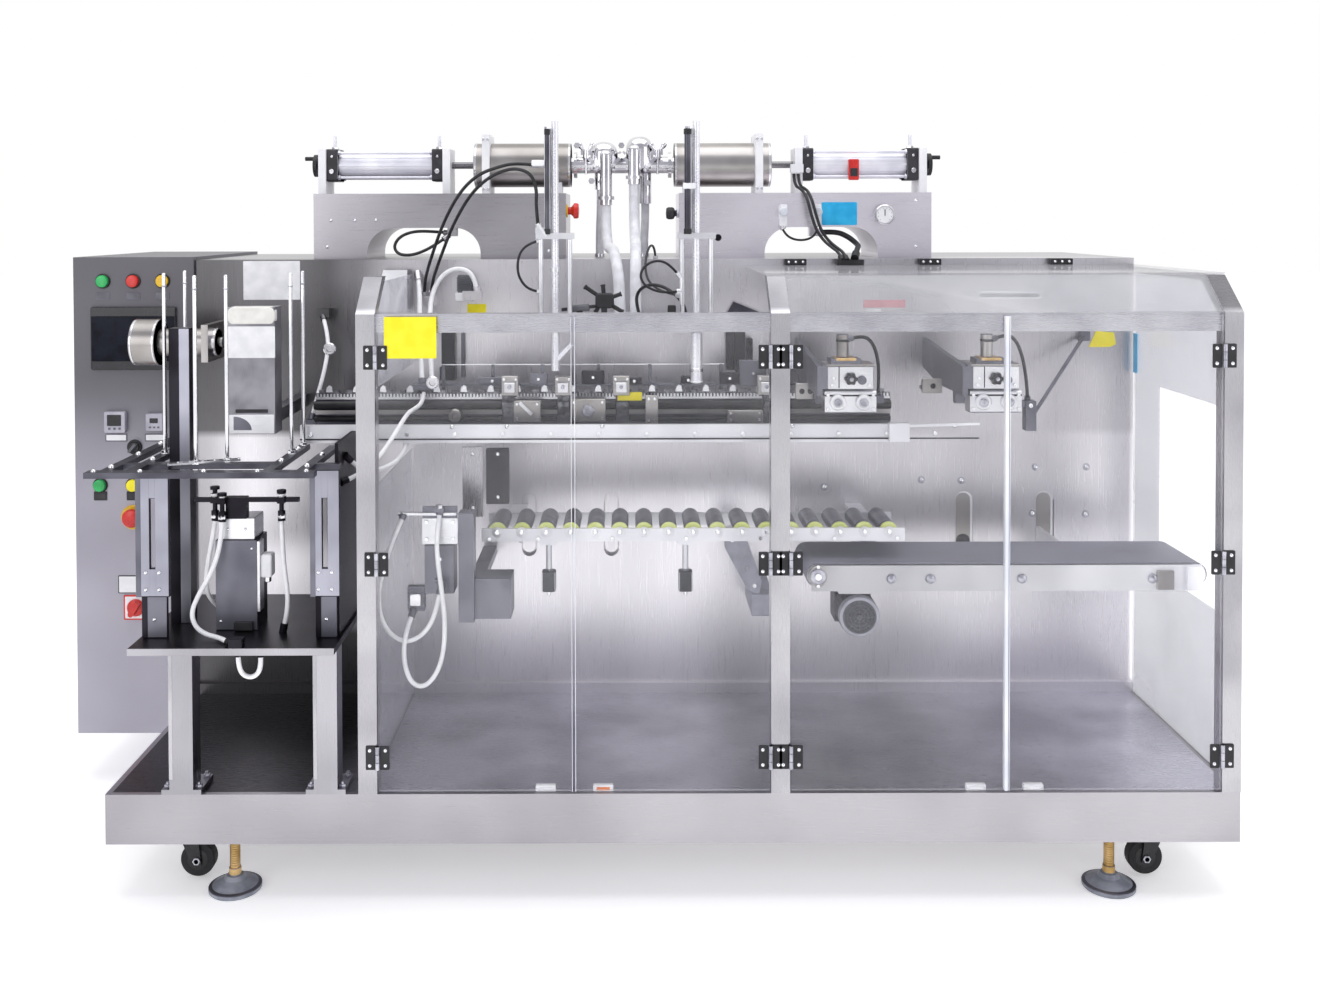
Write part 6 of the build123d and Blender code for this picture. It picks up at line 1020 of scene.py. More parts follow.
# Belt conveyor: the flanged bearing at the infeed, rail bolts, and the fan cover of the gear motor
conveyor = {"bearingX": 335.0, "bearingZ": 636.0, "boltX": (501, 589, 796, 1091), "boltZ": 629}
beltParts = []
x, z = conveyor["bearingX"], conveyor["bearingZ"]
# a flange drawn out to its two screws: radius at angle a is 27 x the share for that twelfth of the turn
shares = zip(np.radians(np.arange(0, 360, 30)), (1.0, 0.86, 0.78, 0.78, 0.78, 0.86) * 2)
diamond = [(z + 27 * math.cos(a) * k, x + 27 * math.sin(a) * k) for a, k in shares]
beltParts += [
    (prism(diamond, 195.4, 200.4, "y"), "satinBarrel"),
    lathe((x, 196, z), [(18.4, -1), (18.4, 4), (16.4, 5.6), (10.5, 5.6), (10, 3.4)], "zincedSteel", 30),
    bar((x, 187, z), (x, 196, z), 17, "chromedRod", 22, 0.12),
]
for dz in (-21.5, 21.5):
    beltParts.append(capScrew((x, 195.4, z + dz), 8.5, 4))
domed = [(11, -1), (11, 2.2), (9.4, 5), (5.6, 7), (1.4, 7.8)]
for x in conveyor["boltX"]:
    beltParts.append(lathe((x, 200, conveyor["boltZ"]), domed, "zincedSteel", 26))
# the take-up block near the outfeed, and the plate that closes the rail's end over the far bearing
beltParts += [
    block((1100, 193, 604), (1138, 200.5, 647), "satinBarrel", 2, 1),
    block((1166, 190.5, 603), (1203, 200.5, 657), "railAnodised", 2, 1),
]
makePiece("conveyorHardware", beltParts)
fan = {"x": 432.0, "z": 538.0, "guardY": 213.2, "wire": 2.0, "spokes": 8, "fins": 26}
fx, fz, wire = fan["x"], fan["z"], fan["wire"]
fanParts = [lathe((fx, 232, fz), [(46.8, 0), (46.8, 13), (44.5, 18), (39, 19.4), (37.5, 17.2)], "fanGrey",
                  44)]
for radius in (12, 20, 28, 36):
    ring = np.linspace(0, 2 * np.pi, 41)
    path = np.column_stack([fx + radius * np.cos(ring), np.full(41, fan["guardY"]),
                            fz + radius * np.sin(ring)])
    fanParts.append((swept(path, wire, 6), "cableGrey"))
for a in np.linspace(0, 2 * np.pi, fan["spokes"], endpoint=False):
    # a spoke of the guard from 5 to 38 mm off the middle, at angle a
    start, end = ((fx + r * math.cos(a), fan["guardY"] + 0.2, fz + r * math.sin(a)) for r in (5, 38))
    fanParts.append(bar(start, end, wire, "cableGrey", 6))
fanParts.append(lathe((fx, 214, fz), [(7, 0), (6.4, 2.4), (3, 3)], "cableGrey", 18))
for a in np.linspace(0, 2 * np.pi, fan["fins"], endpoint=False):
    # a cooling fin along the housing, 45.4 mm off its axis at angle a
    x, z = fx + 45.4 * math.cos(a), fz + 45.4 * math.sin(a)
    fanParts.append(bar((x, 236, z), (x, 298, z), 4.0, "darkCasting", 6))
makePiece("motorFins", fanParts)
print("conveyors dressed")

# Pouch magazine: bright screws along the shelf, pale covers on the dark uprights, nuts under the rods
magazine = {"rods": ((-1113, 135), (-1113, 270), (-1004, 10), (-945, 33), (-832, 125), (-832, 232)),
            "shelf": 930.0, "front": (-1185, -1090, -960, -850, -750),
            "arms": ((-1166, -30), (-1166, 120), (-1166, 255), (-1113, 60), (-1113, 215), (-832, 40),
                     (-832, 180), (-762, -20), (-762, 110)), "screw": 13.0}
shelfParts = []
shelfTop = magazine["shelf"]
for x, y in magazine["rods"]:
    shelfParts += [
        hexNut((x, y, shelfTop), 14, 7, "chromedRod", upward),
        washer((x, y, shelfTop - 0.4), 19, 1.4, "chromedRod", upward),
        domeScrew((x, y, 918.2), 13, 5, axis=(0, 0, -1)),
        domeScrew((x, y, 1325), 8, 2.5, axis=upward),
        bar((x, y, 1296), (x, y, 1300), 10.5, "zincedSteel", 14, 0.2),
    ]
for x, y in magazine["arms"]:
    shelfParts.append(domeScrew((x, y, shelfTop), magazine["screw"], 6.5, axis=upward))
for x in magazine["front"]:
    shelfParts.append(domeScrew((x, -75, shelfTop), 11, 5, axis=upward))
makePiece("shelfScrews", shelfParts)

# bright strip with two rows of holes, lying across the shelf between the front rods
strip = {"start": (-1058.0, -8.0), "end": (-922.0, 48.0), "wide": 17.0, "thick": 4.0, "holes": 6}
start, end = np.array(strip["start"]), np.array(strip["end"])
run = (end - start) / np.linalg.norm(end - start)
aside = np.array((-run[1], run[0])) * strip["wide"] / 2
corners = [start - aside, end - aside, end + aside, start + aside]
stripTop = shelfTop + strip["thick"]
stripParts = [(prism(corners, shelfTop, stripTop, "z"), "clearAnodised")]
for share in (np.arange(strip["holes"]) + 0.5) / strip["holes"]:
    x, y = start + (end - start) * share
    stripParts += [
        lathe((x, y, stripTop - 0.4), [(6.2, 0), (6.2, 0.7), (4.6, 0.7), (4.4, 0.1)], "darkAnodised", 18,
              upward),
        lathe((x + 9, y + 3, stripTop - 0.2), [(3, 0), (2.8, 2.2), (1.4, 2.4)], "chromedRod", 12, upward),
    ]
makePiece("perforatedStrip", stripParts)

covers = ((-1129.0, -1059.0), (-762.0, -700.0))
coverParts = []
for x0, x1 in covers:
    middle = (x0 + x1) / 2
    for low, high, z0, z1 in ((x0 + 11, middle - 6.4, 652, 916), (middle + 6.4, x1 - 1, 652, 916),
                              (middle - 6.6, middle + 6.6, 652, 709),
                              (middle - 6.6, middle + 6.6, 859, 916)):
        coverParts.append(block((low, -1.4, z0), (high, 0.1, z1), "coverPlate", 1.0, 0.3))
    coverParts += [
        block((x0, -1.6, 650), (x0 + 11, 0.1, 917), "midAnodised", 1.0, 0.3),
        block((x0 + 9, 8.4, 562), (x1 - 9, 10.1, 678), "midAnodised", 1.5, 0.4),
        block((x0 + 9, 6.4, 562), (x0 + 20, 10.1, 680), "darkAnodised", 1.5, 0.4),
    ]
    for dx, z in ((-14, 666), (14, 666), (-14, 702), (14, 702), (0, 600)):
        coverParts.append(domeScrew((middle + dx, -1.4 if z > 640 else 8.4, z), 9, 4))
# the table's bright front edge, and the foot plates' bolts on the tray
coverParts.append(block((-1126.4, -61.2, 545.6), (-699.6, -59.4, 560.4), "columnStainless", 1.2, 0.5))
for x in (-1038, -733):
    coverParts.append(block((x - 25.5, -0.9, 262), (x - 17.5, 0.2, 545), "satinTube", 0.8, 0.3))
    for dx in (-33, 33):
        for y in (14, 66):
            coverParts += [
                hexNut((x + dx, y, 240), 13, 7, axis=upward),
                bar((x + dx, y, 240), (x + dx, y, 252), 8, "zincedSteel", 12, 0.2),
            ]
makePiece("uprightCovers", coverParts)

# sucker column: a bright head block, a pale edge strip, screws, and the pale half of the mast
columnParts = [
    block((-974.6, 65.2, 755), (-897.4, 134.6, 801.4), "clearAnodised", 2.5, 1.0),
    block((-980.4, 59.2, 562), (-891.6, 60.2, 754.6), "midAnodised", 1.5, 0.4),
    block((-892.2, 61, 600), (-885.5, 92, 752), "clearAnodised", 1.0, 0.5),
    block((-1072.5, 109.0, 561), (-1050.6, 110.4, 1206), "coverPlate", 1.0, 0.4),
    block((-886, 66, 672), (-862, 96, 722), "tagWhite", 5, 2.0),
    bar((-874, 80, 660), (-874, 80, 674), 16, "polishedFitting", 18, 0.2),
    block((-940, 50, 562), (-900, 60, 580), "blackNylon", 2, 1.0),
]
for x, z in ((-970, 737), (-902, 737), (-970, 580), (-955, 778), (-917, 778)):
    columnParts.append(domeScrew((x, 59.2 if z < 750 else 65.2, z), 7, 3))
for x, y in ((-981, 62), (-962, 50), (-837, 58)):
    columnParts += [
        hexNut((x, y, 803), 15, 9, "polishedFitting", upward),
        lathe((x, y, 848), [(6, 0), (6, 3), (9, 6), (9.6, 8), (7, 8.4), (4, 5)], "tagWhite", 20, upward),
    ]
makePiece("suckerColumnDetail", columnParts)

# pouch weight: a cream cap over the top and a white plate below it
weightParts = [
    block((-978.6, 148.6, 1212), (-873.4, 170, 1251), "creamPaint", 12, 2.5),
    block((-979, 147.6, 1138), (-873, 149.4, 1208), "tagWhite", 2, 0.6),
    block((-962, 148.8, 1016), (-890, 150.2, 1024), "blackCap", 2, 0.5),
]
makePiece("weightCap", weightParts)
print("magazine dressed")

# Opening station: its pale plate, knobs and the small valves beside it
openerParts = [block((-544, 108.6, 733), (-466, 110.4, 790), "clearAnodised", 3, 0.8),
               block((-596, 102, 797), (-468, 112, 803), "clearAnodised", 2, 0.8, "z")]
for x, z in ((-534, 782), (-476, 782), (-534, 744), (-476, 744), (-505, 700), (-505, 670)):
    openerParts.append(capScrew((x, 108.8 if z > 730 else 110, z), 9, 4))
for x, z in ((-504, 816), (-504, 649)):
    openerParts.append(hexNut((x, 91, z), 15, 8, "polishedFitting", upward))
openerParts.append(block((-570, 96, 600), (-545, 108, 626), "polishedFitting", 4, 1.5))
for z in np.arange(592, 640, 8.0):
    openerParts.append(block((-577, 107, z), (-538, 128, z + 4), "midAnodised", 2, 0.8, "z"))
makePiece("openerDetail", openerParts)

# Drive cylinder: rolled bands at its ends, tie screws and a port nut
drive = {"y": 400.0, "z": 1150.0, "screwCircle": 44.0}
y, z, r = drive["y"], drive["z"], drive["screwCircle"]
driveParts = []
# each ring: start and end along X, diameter, points round it, chamfer share, finish
for x0, x1, wide, around, edge, finish in ((-1274.6, -1267.6, 112.4, 40, 0.04, "polishedFitting"),
                                           (-1222, -1215, 112.4, 40, 0.04, "polishedFitting"),
                                           (-1092, -1077, 67, 36, 0.06, "polishedFitting"),
                                           (-1066, -1050, 30, 24, 0.1, "blackNylon")):
    driveParts.append(bar((x0, y, z), (x1, y, z), wide, finish, around, edge))
for a in np.radians(np.arange(30, 360, 60)):
    driveParts.append(capScrew((-1274.4, y + r * math.cos(a), z + r * math.sin(a)), 9, 4, axis=(-1, 0, 0)))
makePiece("driveBands", driveParts)

# Filler: bolts on the boxes, blank blue plate, gauge, clear cups on the valves, red and black knobs
filler = {"face": 680.0, "gauge": (576.0, 1453.0),
          "bolts": ((-870, 1441), (-807, 1441), (-752, 1442), (-880, 1372), (-300, 1490), (-300, 1360),
                    (80, 1490), (660, 1370), (660, 1490))}
boxFace = filler["face"]
fillerParts = [domeScrew((x, boxFace, z), 9, 3.2) for x, z in filler["bolts"]]
fillerParts.append(lathe((143, boxFace, 1394), [(9, 0), (9, 1.4), (6.6, 1.6), (6.2, 0.3)], "darkAnodised",
                         20))
makePiece("fillerBolts", fillerParts)
x, z = filler["gauge"]
gaugeParts = [
    lathe((x, 668, z), [(26.4, -1), (26.4, 5), (24, 7.4), (22, 7.4), (21.4, 5)], "polishedFitting", 36),
    lathe((x, 663.4, z), [(21.6, 0), (21.6, 0.5)], "tagWhite", 36),
    block((x - 1, 662.2, z - 3), (x + 1.4, 663, z + 14), "blackCap", 1, 0.2),
]
for a in np.radians(np.arange(-45, 226, 30)):
    # one tick of the dial, 17.5 mm from its middle at angle a
    tickX, tickZ = x + 17.5 * math.cos(a), z + 17.5 * math.sin(a)
    gaugeParts.append(block((tickX - 0.8, 662.5, tickZ - 0.8), (tickX + 0.8, 663, tickZ + 0.8), "blackCap",
                            0.4, 0.1))
for x in (311.0, 400.0):
    gaugeParts += [
        block((x - 9.5, 653.4, 1423.6), (x + 9.5, boxFace, 1479.6), "tagWhite", 3, 1),
        lathe((x, 654, 1461), [(11.6, 0), (11.6, 7), (10, 9), (5, 9)], "clearCup", 24),
        lathe((x, 666, 1424), [(7, -1), (7, 6), (5.4, 8)], "polishedFitting", 18, (0, 0, -1)),
    ]
gaugeParts.append(block((414, boxFace - 4, 1426), (506, boxFace, 1486), "plateBlue", 3, 0.8))
makePiece("fillerFittings", gaugeParts)
stopPlace = (-255, 712, 1465)
knobParts = [lathe(stopPlace, [(10, 0), (10, 12), (15, 17), (20.5, 20), (20.5, 28), (18, 32), (4, 33.6)],
                   "redPlastic", 32, (1, 0, 0)),
             lathe(stopPlace, [(17, 0), (17, 3), (15, 4)], "yellowPlastic", 28, (1, 0, 0))]
makePiece("fillerStop", knobParts)
knobPlace = (41, 700, 1458)
sideKnob = [lathe(knobPlace, [(8, 0), (8, 10), (14, 13), (16, 17), (16, 28), (13, 33), (3, 34)],
                  "blackNylon", 28, (-1, 0, 0)), hexNut(knobPlace, 24, 6, axis=(-1, 0, 0))]
makePiece("fillerKnob", sideKnob)
print("filler boxes dressed")

# Air cylinders: black end caps with screws, tie-rod nuts, speed fittings and a red sensor
# each cap: its left and right side, and 1 or -1 for the way along X to the barrel
air = {"caps": ((-900, -870, 1), (-618, -588, -1), (374, 404, 1), (656, 686, -1)), "y": 805.0, "z": 1589.0,
       "half": 43.4, "tieRod": 33.0}
y, z, half, tie = air["y"], air["z"], air["half"], air["tieRod"]
capParts = []
for x0, x1, inward in air["caps"]:
    capParts.append(block((x0, y - half, z - half), (x1, y + half, z + half), "blackCap", 7, 1.2, "x"))
    for dy in (-tie, tie):
        for dz in (-tie, tie):
            capParts.append(hexNut((x1 if inward > 0 else x0, y + dy, z + dz), 13, 6, "zincedSteel",
                                   (inward, 0, 0)))
    middle = (x0 + x1) / 2
    capParts += [
        bar((middle, 754, 1572), (middle, 762, 1572), 13, "polishedFitting", 18, 0.15),
        capScrew((middle, y - half, 1612), 7, 2.5),
        hexNut((middle, y, 1632), 17, 7, "polishedFitting", upward),
    ]
capParts += [
    block((498, 757, 1546), (525, 772, 1602), "redPlastic", 3, 1.2),
    block((502, 755.6, 1556), (521, 758, 1578), "blackCap", 2, 0.6),
]
makePiece("airCylinderCaps", capParts)
barrelParts = [block((x0, 768.4, 1585.5), (x1, 771.6, 1592.5), "milkyBarrel", 1.2, 0.5)
               for x0, x1 in ((-870, -618), (404, 656))]
makePiece("barrelRails", barrelParts)

# Product cylinders: bright end rings, weld beads and the split clamps' bolts beside the manifold
ringParts = []
for ringX, wide, diameter, edge, finish in (((-505, -254, 32, 283), 8, 119.4, 0.03, "polishedFitting"),
                                            ((-468, -300, 78, 246), 1.6, 118.8, 0.01, "clearAnodised")):
    ringParts += [bar((x, y, z), (x + wide, y, z), diameter, finish, 48, edge) for x in ringX]
makePiece("barrelRings", ringParts)
for index, x in enumerate((-471, 257), 1):
    bandParts = [capScrew((x + dx, 739, z), 8, 3) for dx in (-6, 6) for z in (1524, 1656)]
    makePiece(f"bandScrews{index}", bandParts)

# Wing nuts of the clamps: a hub with two rounded wings that lean apart
wingNuts = {"places": ((-205.1, 774.8, 1628), (-12.9, 774.8, 1628)), "root": 5.0, "reach": 19.0,
            "rise": 21.0}
wing = [(3.4, 0), (3.6, 8), (6.4, 16), (7.4, 22), (5.6, 27), (1.2, 28.6)]
wingParts = []
for x, y, z in wingNuts["places"]:
    wingParts.append(bar((x, y, z - 16), (x, y, z + 3), 15, "polishedFitting", 22, 0.15))
    for side in (-1, 1):
        lean = (side * (wingNuts["reach"] - wingNuts["root"]), 0, wingNuts["rise"])
        wingParts.append(lathe((x + side * wingNuts["root"], y, z - 4), wing, "polishedFitting", 18, lean))
for x, z in ((-229, 1640), (-110, 1640), (-40, 1540), (-190, 1545)):
    wingParts += [
        hexNut((x, 764, z), 15, 9, "polishedFitting"),
        bar((x, 764, z), (x, 788, z), 8, "zincedSteel", 14, 0.1),
    ]
makePiece("clampNuts", wingParts)
print("cylinders and manifold dressed")

# Nozzle guides: dark lift cylinders, white fittings, block screws and cable clips
guideParts = []
lift = {"places": ((-280.0, 10.5), (47.0, 15.0)), "y": 308.0, "low": 1412.0, "high": 1652.0}
y = lift["y"]
for x, wide in lift["places"]:
    guideParts.append(bar((x, y, lift["low"]), (x, y, lift["high"]), wide, "shelfAnodised", 24, 0.06))
    for z in (1408, 1640):
        guideParts.append(bar((x, y, z), (x, y, z + 13), wide + 3, "blackNylon", 24, 0.1))
    guideParts.append(hexNut((x, y, lift["high"] + 1), 12, 6, "zincedSteel", upward))
makePiece("liftCylinders", guideParts)
clipParts = []
for x in (-297, -229, 34, 102):
    for z in (1190, 1399):
        clipParts.append(capScrew((x, 318, z), 8, 3.4))
for x, z in ((-300, 1574), (52, 1520)):
    clipParts.append(block((x - 16, 300, z - 7), (x + 14, 314, z + 7), "tagWhite", 3, 1.2))
clipParts += [
    bar((-303, 306, 1433), (-281, 306, 1403), 7, "whiteSilicone", 14, 0.2),
    # black branching block that stands on the arm, its prongs, and the grey barrel beside it
    block((-170, 348, 1232), (-126, 372, 1268), "blackNylon", 9, 3),
    block((-156, 352, 1198), (-142, 368, 1236), "blackNylon", 3, 1),
]
for start, end in (((-164, 360, 1262), (-196, 358, 1284)), ((-150, 360, 1264), (-152, 358, 1288)),
                   ((-130, 360, 1258), (-108, 360, 1266)), ((-134, 360, 1240), (-104, 360, 1222)),
                   ((-160, 360, 1240), (-170, 360, 1222))):
    clipParts += [
        bar(start, end, 10, "blackNylon", 16, 0.2),
        bar(np.add(start, np.subtract(end, start) * 0.86), end, 12.5, "blackNylon", 16, 0.2),
    ]
clipParts += [
    bar((-228, 352, 1231), (-184, 352, 1235), 17, "cableGrey", 20, 0.12),
    bar((-250, 352, 1229), (-158, 356, 1238), 8.5, "blackNylon", 14, 0.1),
    block((-214, 346, 1198), (-200, 358, 1228), "blackNylon", 2, 0.8),
    block((0, 296, 1222), (19, 318, 1242), "blackNylon", 3, 1.2),
]
makePiece("nozzleFittings", clipParts)
# nozzles: a collar on the slim one, and a ring and a soft lip at the tip of each
nozzles = {"places": ((-263, 1088, 8.0), (68, 1059, 14.0)), "y": 325.0, "collarZ": 1320.0}
y = nozzles["y"]
for index, (x, tip, r) in enumerate(nozzles["places"], 1):
    parts = [lathe((x, y, tip + 26), [(r + 1.4, 0), (r + 1.4, 7), (r, 9)], "polishedFitting", 28, upward),
             lathe((x, y, tip + 2), [(r + 0.5, 0), (r + 0.5, 3)], "whiteSilicone", 28, upward)]
    if index == 1:
        collar = turned((x, y, nozzles["collarZ"]), upward, [(12, 0), (12, 9), (10.5, 10.5)], 24)
        parts.insert(0, (collar, "clearAnodised"))
    makePiece(f"nozzleDetail{index}", parts, f"nozzle_{index}")
print("nozzles dressed")

# Feet: passivated spindles and nuts over the grey pads, and a few turns of thread
feet = {"places": [(x, y) for x in (-943, 943) for y in (58, 1102)], "spindle": 20.6, "thread": 5.0}
footParts = []
for x, y in feet["places"]:
    footParts += [
        bar((x, y, 33), (x, y, 48.2), 26.4, "brassPlate", 24, 0.1),
        bar((x, y, 48), (x, y, 108), feet["spindle"], "brassPlate", 24, 0.02),
    ]
    for z in np.arange(52, 104, feet["thread"]):
        footParts.append(lathe((x, y, z), [(10.2, 0), (11.4, 1.2), (11.4, 1.8), (10.2, 3)], "brassPlate",
                               20, upward))
    footParts += [
        hexNut((x, y, 107.6), 32.6, 16, "zincedSteel", upward),
        lathe((x, y, 9), [(56.2, 0), (55.6, 1.2), (50.5, 3.4)], "midAnodised", 48, upward),
    ]
makePiece("footSpindles", footParts)

# Casters: a black hub cap on each side of a wheel, its axle nuts, and the bolts of the swivel plates
casters = {"wheelX": {"left": -1036.0, "right": 1036.0}, "y": {"front": 106.0, "rear": 1054.0},
           "axle": 45.5, "plateX": (-1058, 1058), "bolt": 30}
cap = [(22, 0), (22, 0.7), (19, 1.2), (9, 1.2)]
z, bolt = casters["axle"], casters["bolt"]
for side, x in casters["wheelX"].items():
    for end, y in casters["y"].items():
        hubParts = [lathe((x, y + way * 12.8, z), cap, "blackEnamel", 32, (0, way, 0)) for way in (-1, 1)]
        makePiece(f"wheelHub_{side}_{end}", hubParts, f"caster_wheel_{side}_{end}")
        forkParts = [hexNut((x, y + way * 20, z), 15, 4, "zincedSteel", (0, way, 0)) for way in (-1, 1)]
        makePiece(f"axleNuts_{side}_{end}", forkParts, f"caster_fork_{side}_{end}")
plateBolts = [hexNut((x + dx, y + dy, 119), 11, 5, axis=(0, 0, -1)) for x in casters["plateX"]
              for y in casters["y"].values() for dx in (-bolt, bolt) for dy in (-bolt, bolt)]
makePiece("casterPlateBolts", plateBolts)
print("feet and casters dressed")

# Lane front: a toothed rack under the chain, two dark tubes, a pale rail along the wall, sensor blocks
laneFront = {"runs": ((-845, -396), (-364, -263), (-231, -123), (-91, 229), (261, 536)), "rackPitch": 8.0,
             "blocks": ((-364, -300, 964, 1014), (-229, -146, 964, 1018), (-52, -22, 958, 1026),
                        (142, 226, 960, 990)), "upperTube": 998.5, "lowerTube": 965.0}
frontParts = []
for x0, x1 in laneFront["runs"]:
    frontParts += [
        bar((x0, 385, laneFront["upperTube"]), (x1, 385, laneFront["upperTube"]), 21, "blackNylon", 20,
            0.1),
        bar((x0, 390, laneFront["lowerTube"]), (x1, 390, laneFront["lowerTube"]), 13, "blackNylon", 16,
            0.1),
        block((x0, 393, 975), (x1, 400.2, 986), "satinBarrel", 1.2, 0.5),
        block((x0, 396, 1011), (x1, 400.2, 1016), "clearAnodised", 0.8, 0.3),
    ]
    for x in np.arange(x0 + 3, x1 - 5, laneFront["rackPitch"]):
        # one tooth: a trapezium that stands on the rack's strip
        frontParts.append((prism([(1015, x), (1015, x + 5.4), (1024, x + 4.2), (1024, x + 1.2)], 396, 400.2,
                                 "y"), "clearAnodised"))
for x0, x1, z0, z1 in laneFront["blocks"]:
    frontParts += [
        block((x0, 344, z0), (x1, 357, z1), "satinBarrel", 2.5, 1.0),
        block((x0 + 4, 356, z0 + 6), (x0 + 14, 400.2, z0 + 12), "midAnodised", 1, 0.4),
    ]
    for x in (x0 + 8, x1 - 8):
        for z in (z0 + 8, z1 - 8):
            frontParts.append(capScrew((x, 344, z), 7, 3.2))
# a diagonal link and a round sensor on the first two blocks, and a boss with its bright screw at the left
frontParts += [
    (prism([(1008, -352), (1014, -347), (985, -318), (979, -323)], 338, 344.2, "y"), "clearAnodised"),
    lathe((-188, 344, 990), [(15, 0), (15, 3), (12, 5), (6, 5), (5.4, 2)], "zincedSteel", 28),
    lathe((-505, 392, 976), [(16, -8), (16, 30), (14, 33), (7, 33), (6, 30)], "satinBarrel", 28),
]
for x in (-497, -371, -152, 284, 655):
    frontParts.append(domeScrew((x, 250, 968), 11, 5))
makePiece("laneFront", frontParts)

# Sensors and clamps that stand along the chain's back edge, on a low rail
backRail = {"from": -548.0, "to": 470.0, "low": 1040.0, "high": 1046.0}
railParts = [block((backRail["from"], 421, backRail["low"]), (backRail["to"], 427, backRail["high"]),
                   "midAnodised", 1, 0.4),
             block((backRail["from"], 422, 1090), (140, 425, 1092.4), "clearAnodised", 0.8, 0.3)]
for x in (-540, -420, -300, -165, -40, 60, 132):
    railParts.append(block((x - 4, 419, 1012), (x + 4, 426, 1092), "midAnodised", 1, 0.4))
for x0, x1, z0, z1 in ((-455, -385, 1046, 1062), (-330, -288, 1046, 1070), (-205, -150, 1046, 1078),
                       (-96, -60, 1046, 1060), (34, 70, 1046, 1064), (128, 176, 1046, 1072),
                       (176, 240, 1040, 1102)):
    # the sensors between are darker than the clamps at the rail's two ends
    finish = "darkAnodised" if -250 < x0 < 150 else "midAnodised"
    railParts += [
        block((x0, 404, z0), (x1, 424, z1), finish, 2, 0.8),
        capScrew(((x0 + x1) / 2, 404, (z0 + z1) / 2), 8, 4),
    ]
makePiece("laneBackRail", railParts)

# Dark sensor plates on the cabinet's face behind the lane, and the roller drive's bracket and gear box
backPlates = ((-566, -532, 1069, 1160), (-571, -531, 1035, 1070), (155, 176, 1060, 1160),
              (178, 204, 1055, 1158), (209, 223, 1060, 1140))
backParts = [block((x0, 566, z0), (x1, wall, z1), "darkAnodised", 3, 1.2) for x0, x1, z0, z1 in backPlates]
backParts += [
    block((-519, 588, 1040), (-509, 600, 1160), "midAnodised", 1.5, 0.5),
    (prism([(1204, 160), (1204, 244), (1232, 176)], 586, 600, "y"), "shelfAnodised"),
    block((206, 430, 474), (262, 600, 528), "driveGrey", 5, 2),
    (prism([(688, 140), (688, 186), (560, 232), (520, 226), (540, 196), (640, 142)], 436, 450, "y"),
     "driveGrey"),
]
for x, z in ((160, 660), (196, 590), (214, 548), (152, 676)):
    backParts.append(capScrew((x, 436, z), 11, 5))
makePiece("backPlates", backParts)

# Door edges: a pale strip down each meeting edge, a painted highlight where the polished edge catches the
# light
doorEdges = {"door_1": (-212.2, -211), "door_2": (-205, -203.8), "door_3": (698.4, 705.4),
             "door_4": (707, 708.4)}
for doorName, (x0, x1) in doorEdges.items():
    edge = slab((x0, -9, 238), (x1, 8, 1238), "z", 0.6, 0.3)
    makePiece(doorName.replace("_", "") + "Edge", [(edge, "paintedEdgeHighlight")], doorName)

# Pouch weight: its pale foot plate with a darker quarter disc
footParts = [block((-976, 148.2, 970), (-876, 150.1, 1012), "clearAnodised", 1.5, 0.5)]
t = np.linspace(0, np.pi / 2, 9)
# quarter circle at angle t: corner + radius x (sin t up, cos t across)
quarter = np.column_stack([978 + 30 * np.sin(t), -966 + 40 * np.cos(t)])
footParts.append((prism(np.vstack([quarter, [(978, -966)]]), 147.4, 148.4, "y"), "midAnodised"))
makePiece("weightFoot", footParts)
print("lane front and door edges made")


# Floor, light and the photograph's viewpoint
stageSizes = {"floor": 60.0, "floorTone": "FFFFFF", "floorRough": 0.9, "floorGlow": 0.3,
              "backTone": "FFFFFF", "frontTone": "C2C2CA", "strength": 1.0}


def makeFloor():
    size = stageSizes["floor"] / 2
    mesh = bpy.data.meshes.new("floor")
    mesh.from_pydata([(-size, -size, 0), (size, -size, 0), (size, size, 0), (-size, size, 0)], [],
                     [(0, 1, 2, 3)])
    floor = bpy.data.objects.new("floor", mesh)
    bpy.context.scene.collection.objects.link(floor)
    # painted concrete, matt, with a glow of its own that stands for a bright room
    paint = bpy.data.materials.new("paleFloor")
    paint.use_nodes = True
    tone = linear(stageSizes["floorTone"])
    looks = {"Base Color": tone, "Roughness": stageSizes["floorRough"], "Emission Color": tone,
             "Emission Strength": stageSizes["floorGlow"]}
    for socket, value in looks.items():
        paint.node_tree.nodes["Principled BSDF"].inputs[socket].default_value = value
    mesh.materials.append(paint)


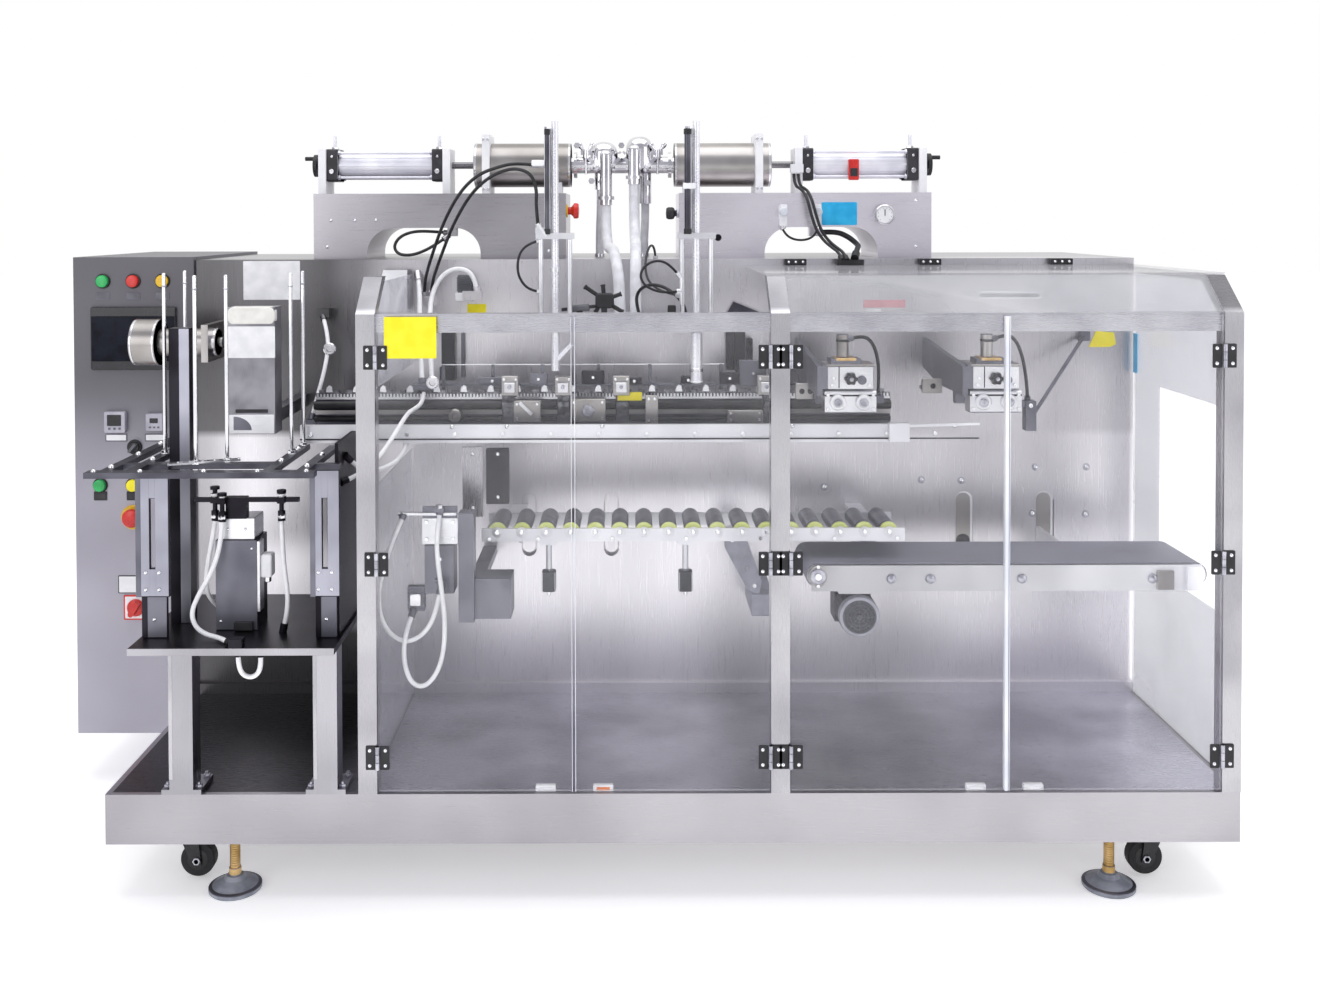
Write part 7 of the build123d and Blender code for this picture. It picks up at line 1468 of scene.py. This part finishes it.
def makeLight(name, place, target, size, watts):
    # a square soft box that faces its target
    lamp = bpy.data.lights.new(name, "AREA")
    lamp.shape, lamp.size, lamp.size_y, lamp.energy = "RECTANGLE", size[0], size[1], watts
    box = bpy.data.objects.new(name, lamp)
    bpy.context.scene.collection.objects.link(box)
    box.location = place
    way = np.asarray(target, float) - np.asarray(place, float)
    pitch = math.atan2(math.hypot(way[0], way[1]), -way[2])
    box.rotation_euler = (pitch, 0, math.atan2(-way[0], way[1]))
    return box


lights = {
    "overheadSoftBox": ((0, -0.4, 4.0), (0, 0.1, 0.6), (4.4, 2.4), 60),
    "frontLeftSoftBox": ((-3.0, -4.2, 2.2), (-0.3, 0, 0.8), (2.4, 2.8), 46),
    "frontRightSoftBox": ((4.2, -3.2, 1.8), (0.5, 0, 0.8), (2.0, 2.4), 30),
}
makeFloor()
for lightName, (place, target, size, watts) in lights.items():
    makeLight(lightName, place, target, size, watts)

world = bpy.data.worlds.new("paleRoom")
world.use_nodes = True
# a white backdrop behind the machine that greys softly round to the studio's near side
tree = world.node_tree
around = addNode(tree, "ShaderNodeTexCoord")
parts = addNode(tree, "ShaderNodeSeparateXYZ", links={0: around.outputs["Generated"]})
share = addNode(tree, "ShaderNodeMapRange",
                {"interpolation_type": "SMOOTHSTEP", "From Min": -0.35, "From Max": 0.2},
                {"Value": parts.outputs["Y"]})
blend = addNode(tree, "ShaderNodeMix", {"data_type": "RGBA", 6: linear(stageSizes["frontTone"]),
                                        7: linear(stageSizes["backTone"])}, {0: share.outputs["Result"]})
tree.links.new(blend.outputs[2], tree.nodes["Background"].inputs["Color"])
tree.nodes["Background"].inputs["Strength"].default_value = stageSizes["strength"]
bpy.context.scene.world = world
bpy.context.scene.view_settings.view_transform = "Standard"

# the camera stands 2.7 m in front of the base, a little left of its middle, looking 1.2 degrees down
view = {"place": (0.0580, -3.2585, 1.4443), "pitch": 88.837, "roll": 0.0024, "lens": 35.48,
        "shift": (0.0226, -0.1894)}
camera = bpy.data.cameras.new("photoCamera")
camera.lens = view["lens"]
camera.sensor_width = 36.0
camera.shift_x, camera.shift_y = view["shift"]
camera.clip_end = 60
cameraObject = bpy.data.objects.new("photoCamera", camera)
cameraObject.location = view["place"]
cameraObject.rotation_euler = (math.radians(view["pitch"]), view["roll"], 0)
bpy.context.scene.collection.objects.link(cameraObject)
bpy.context.scene.camera = cameraObject
print("stage and camera set")
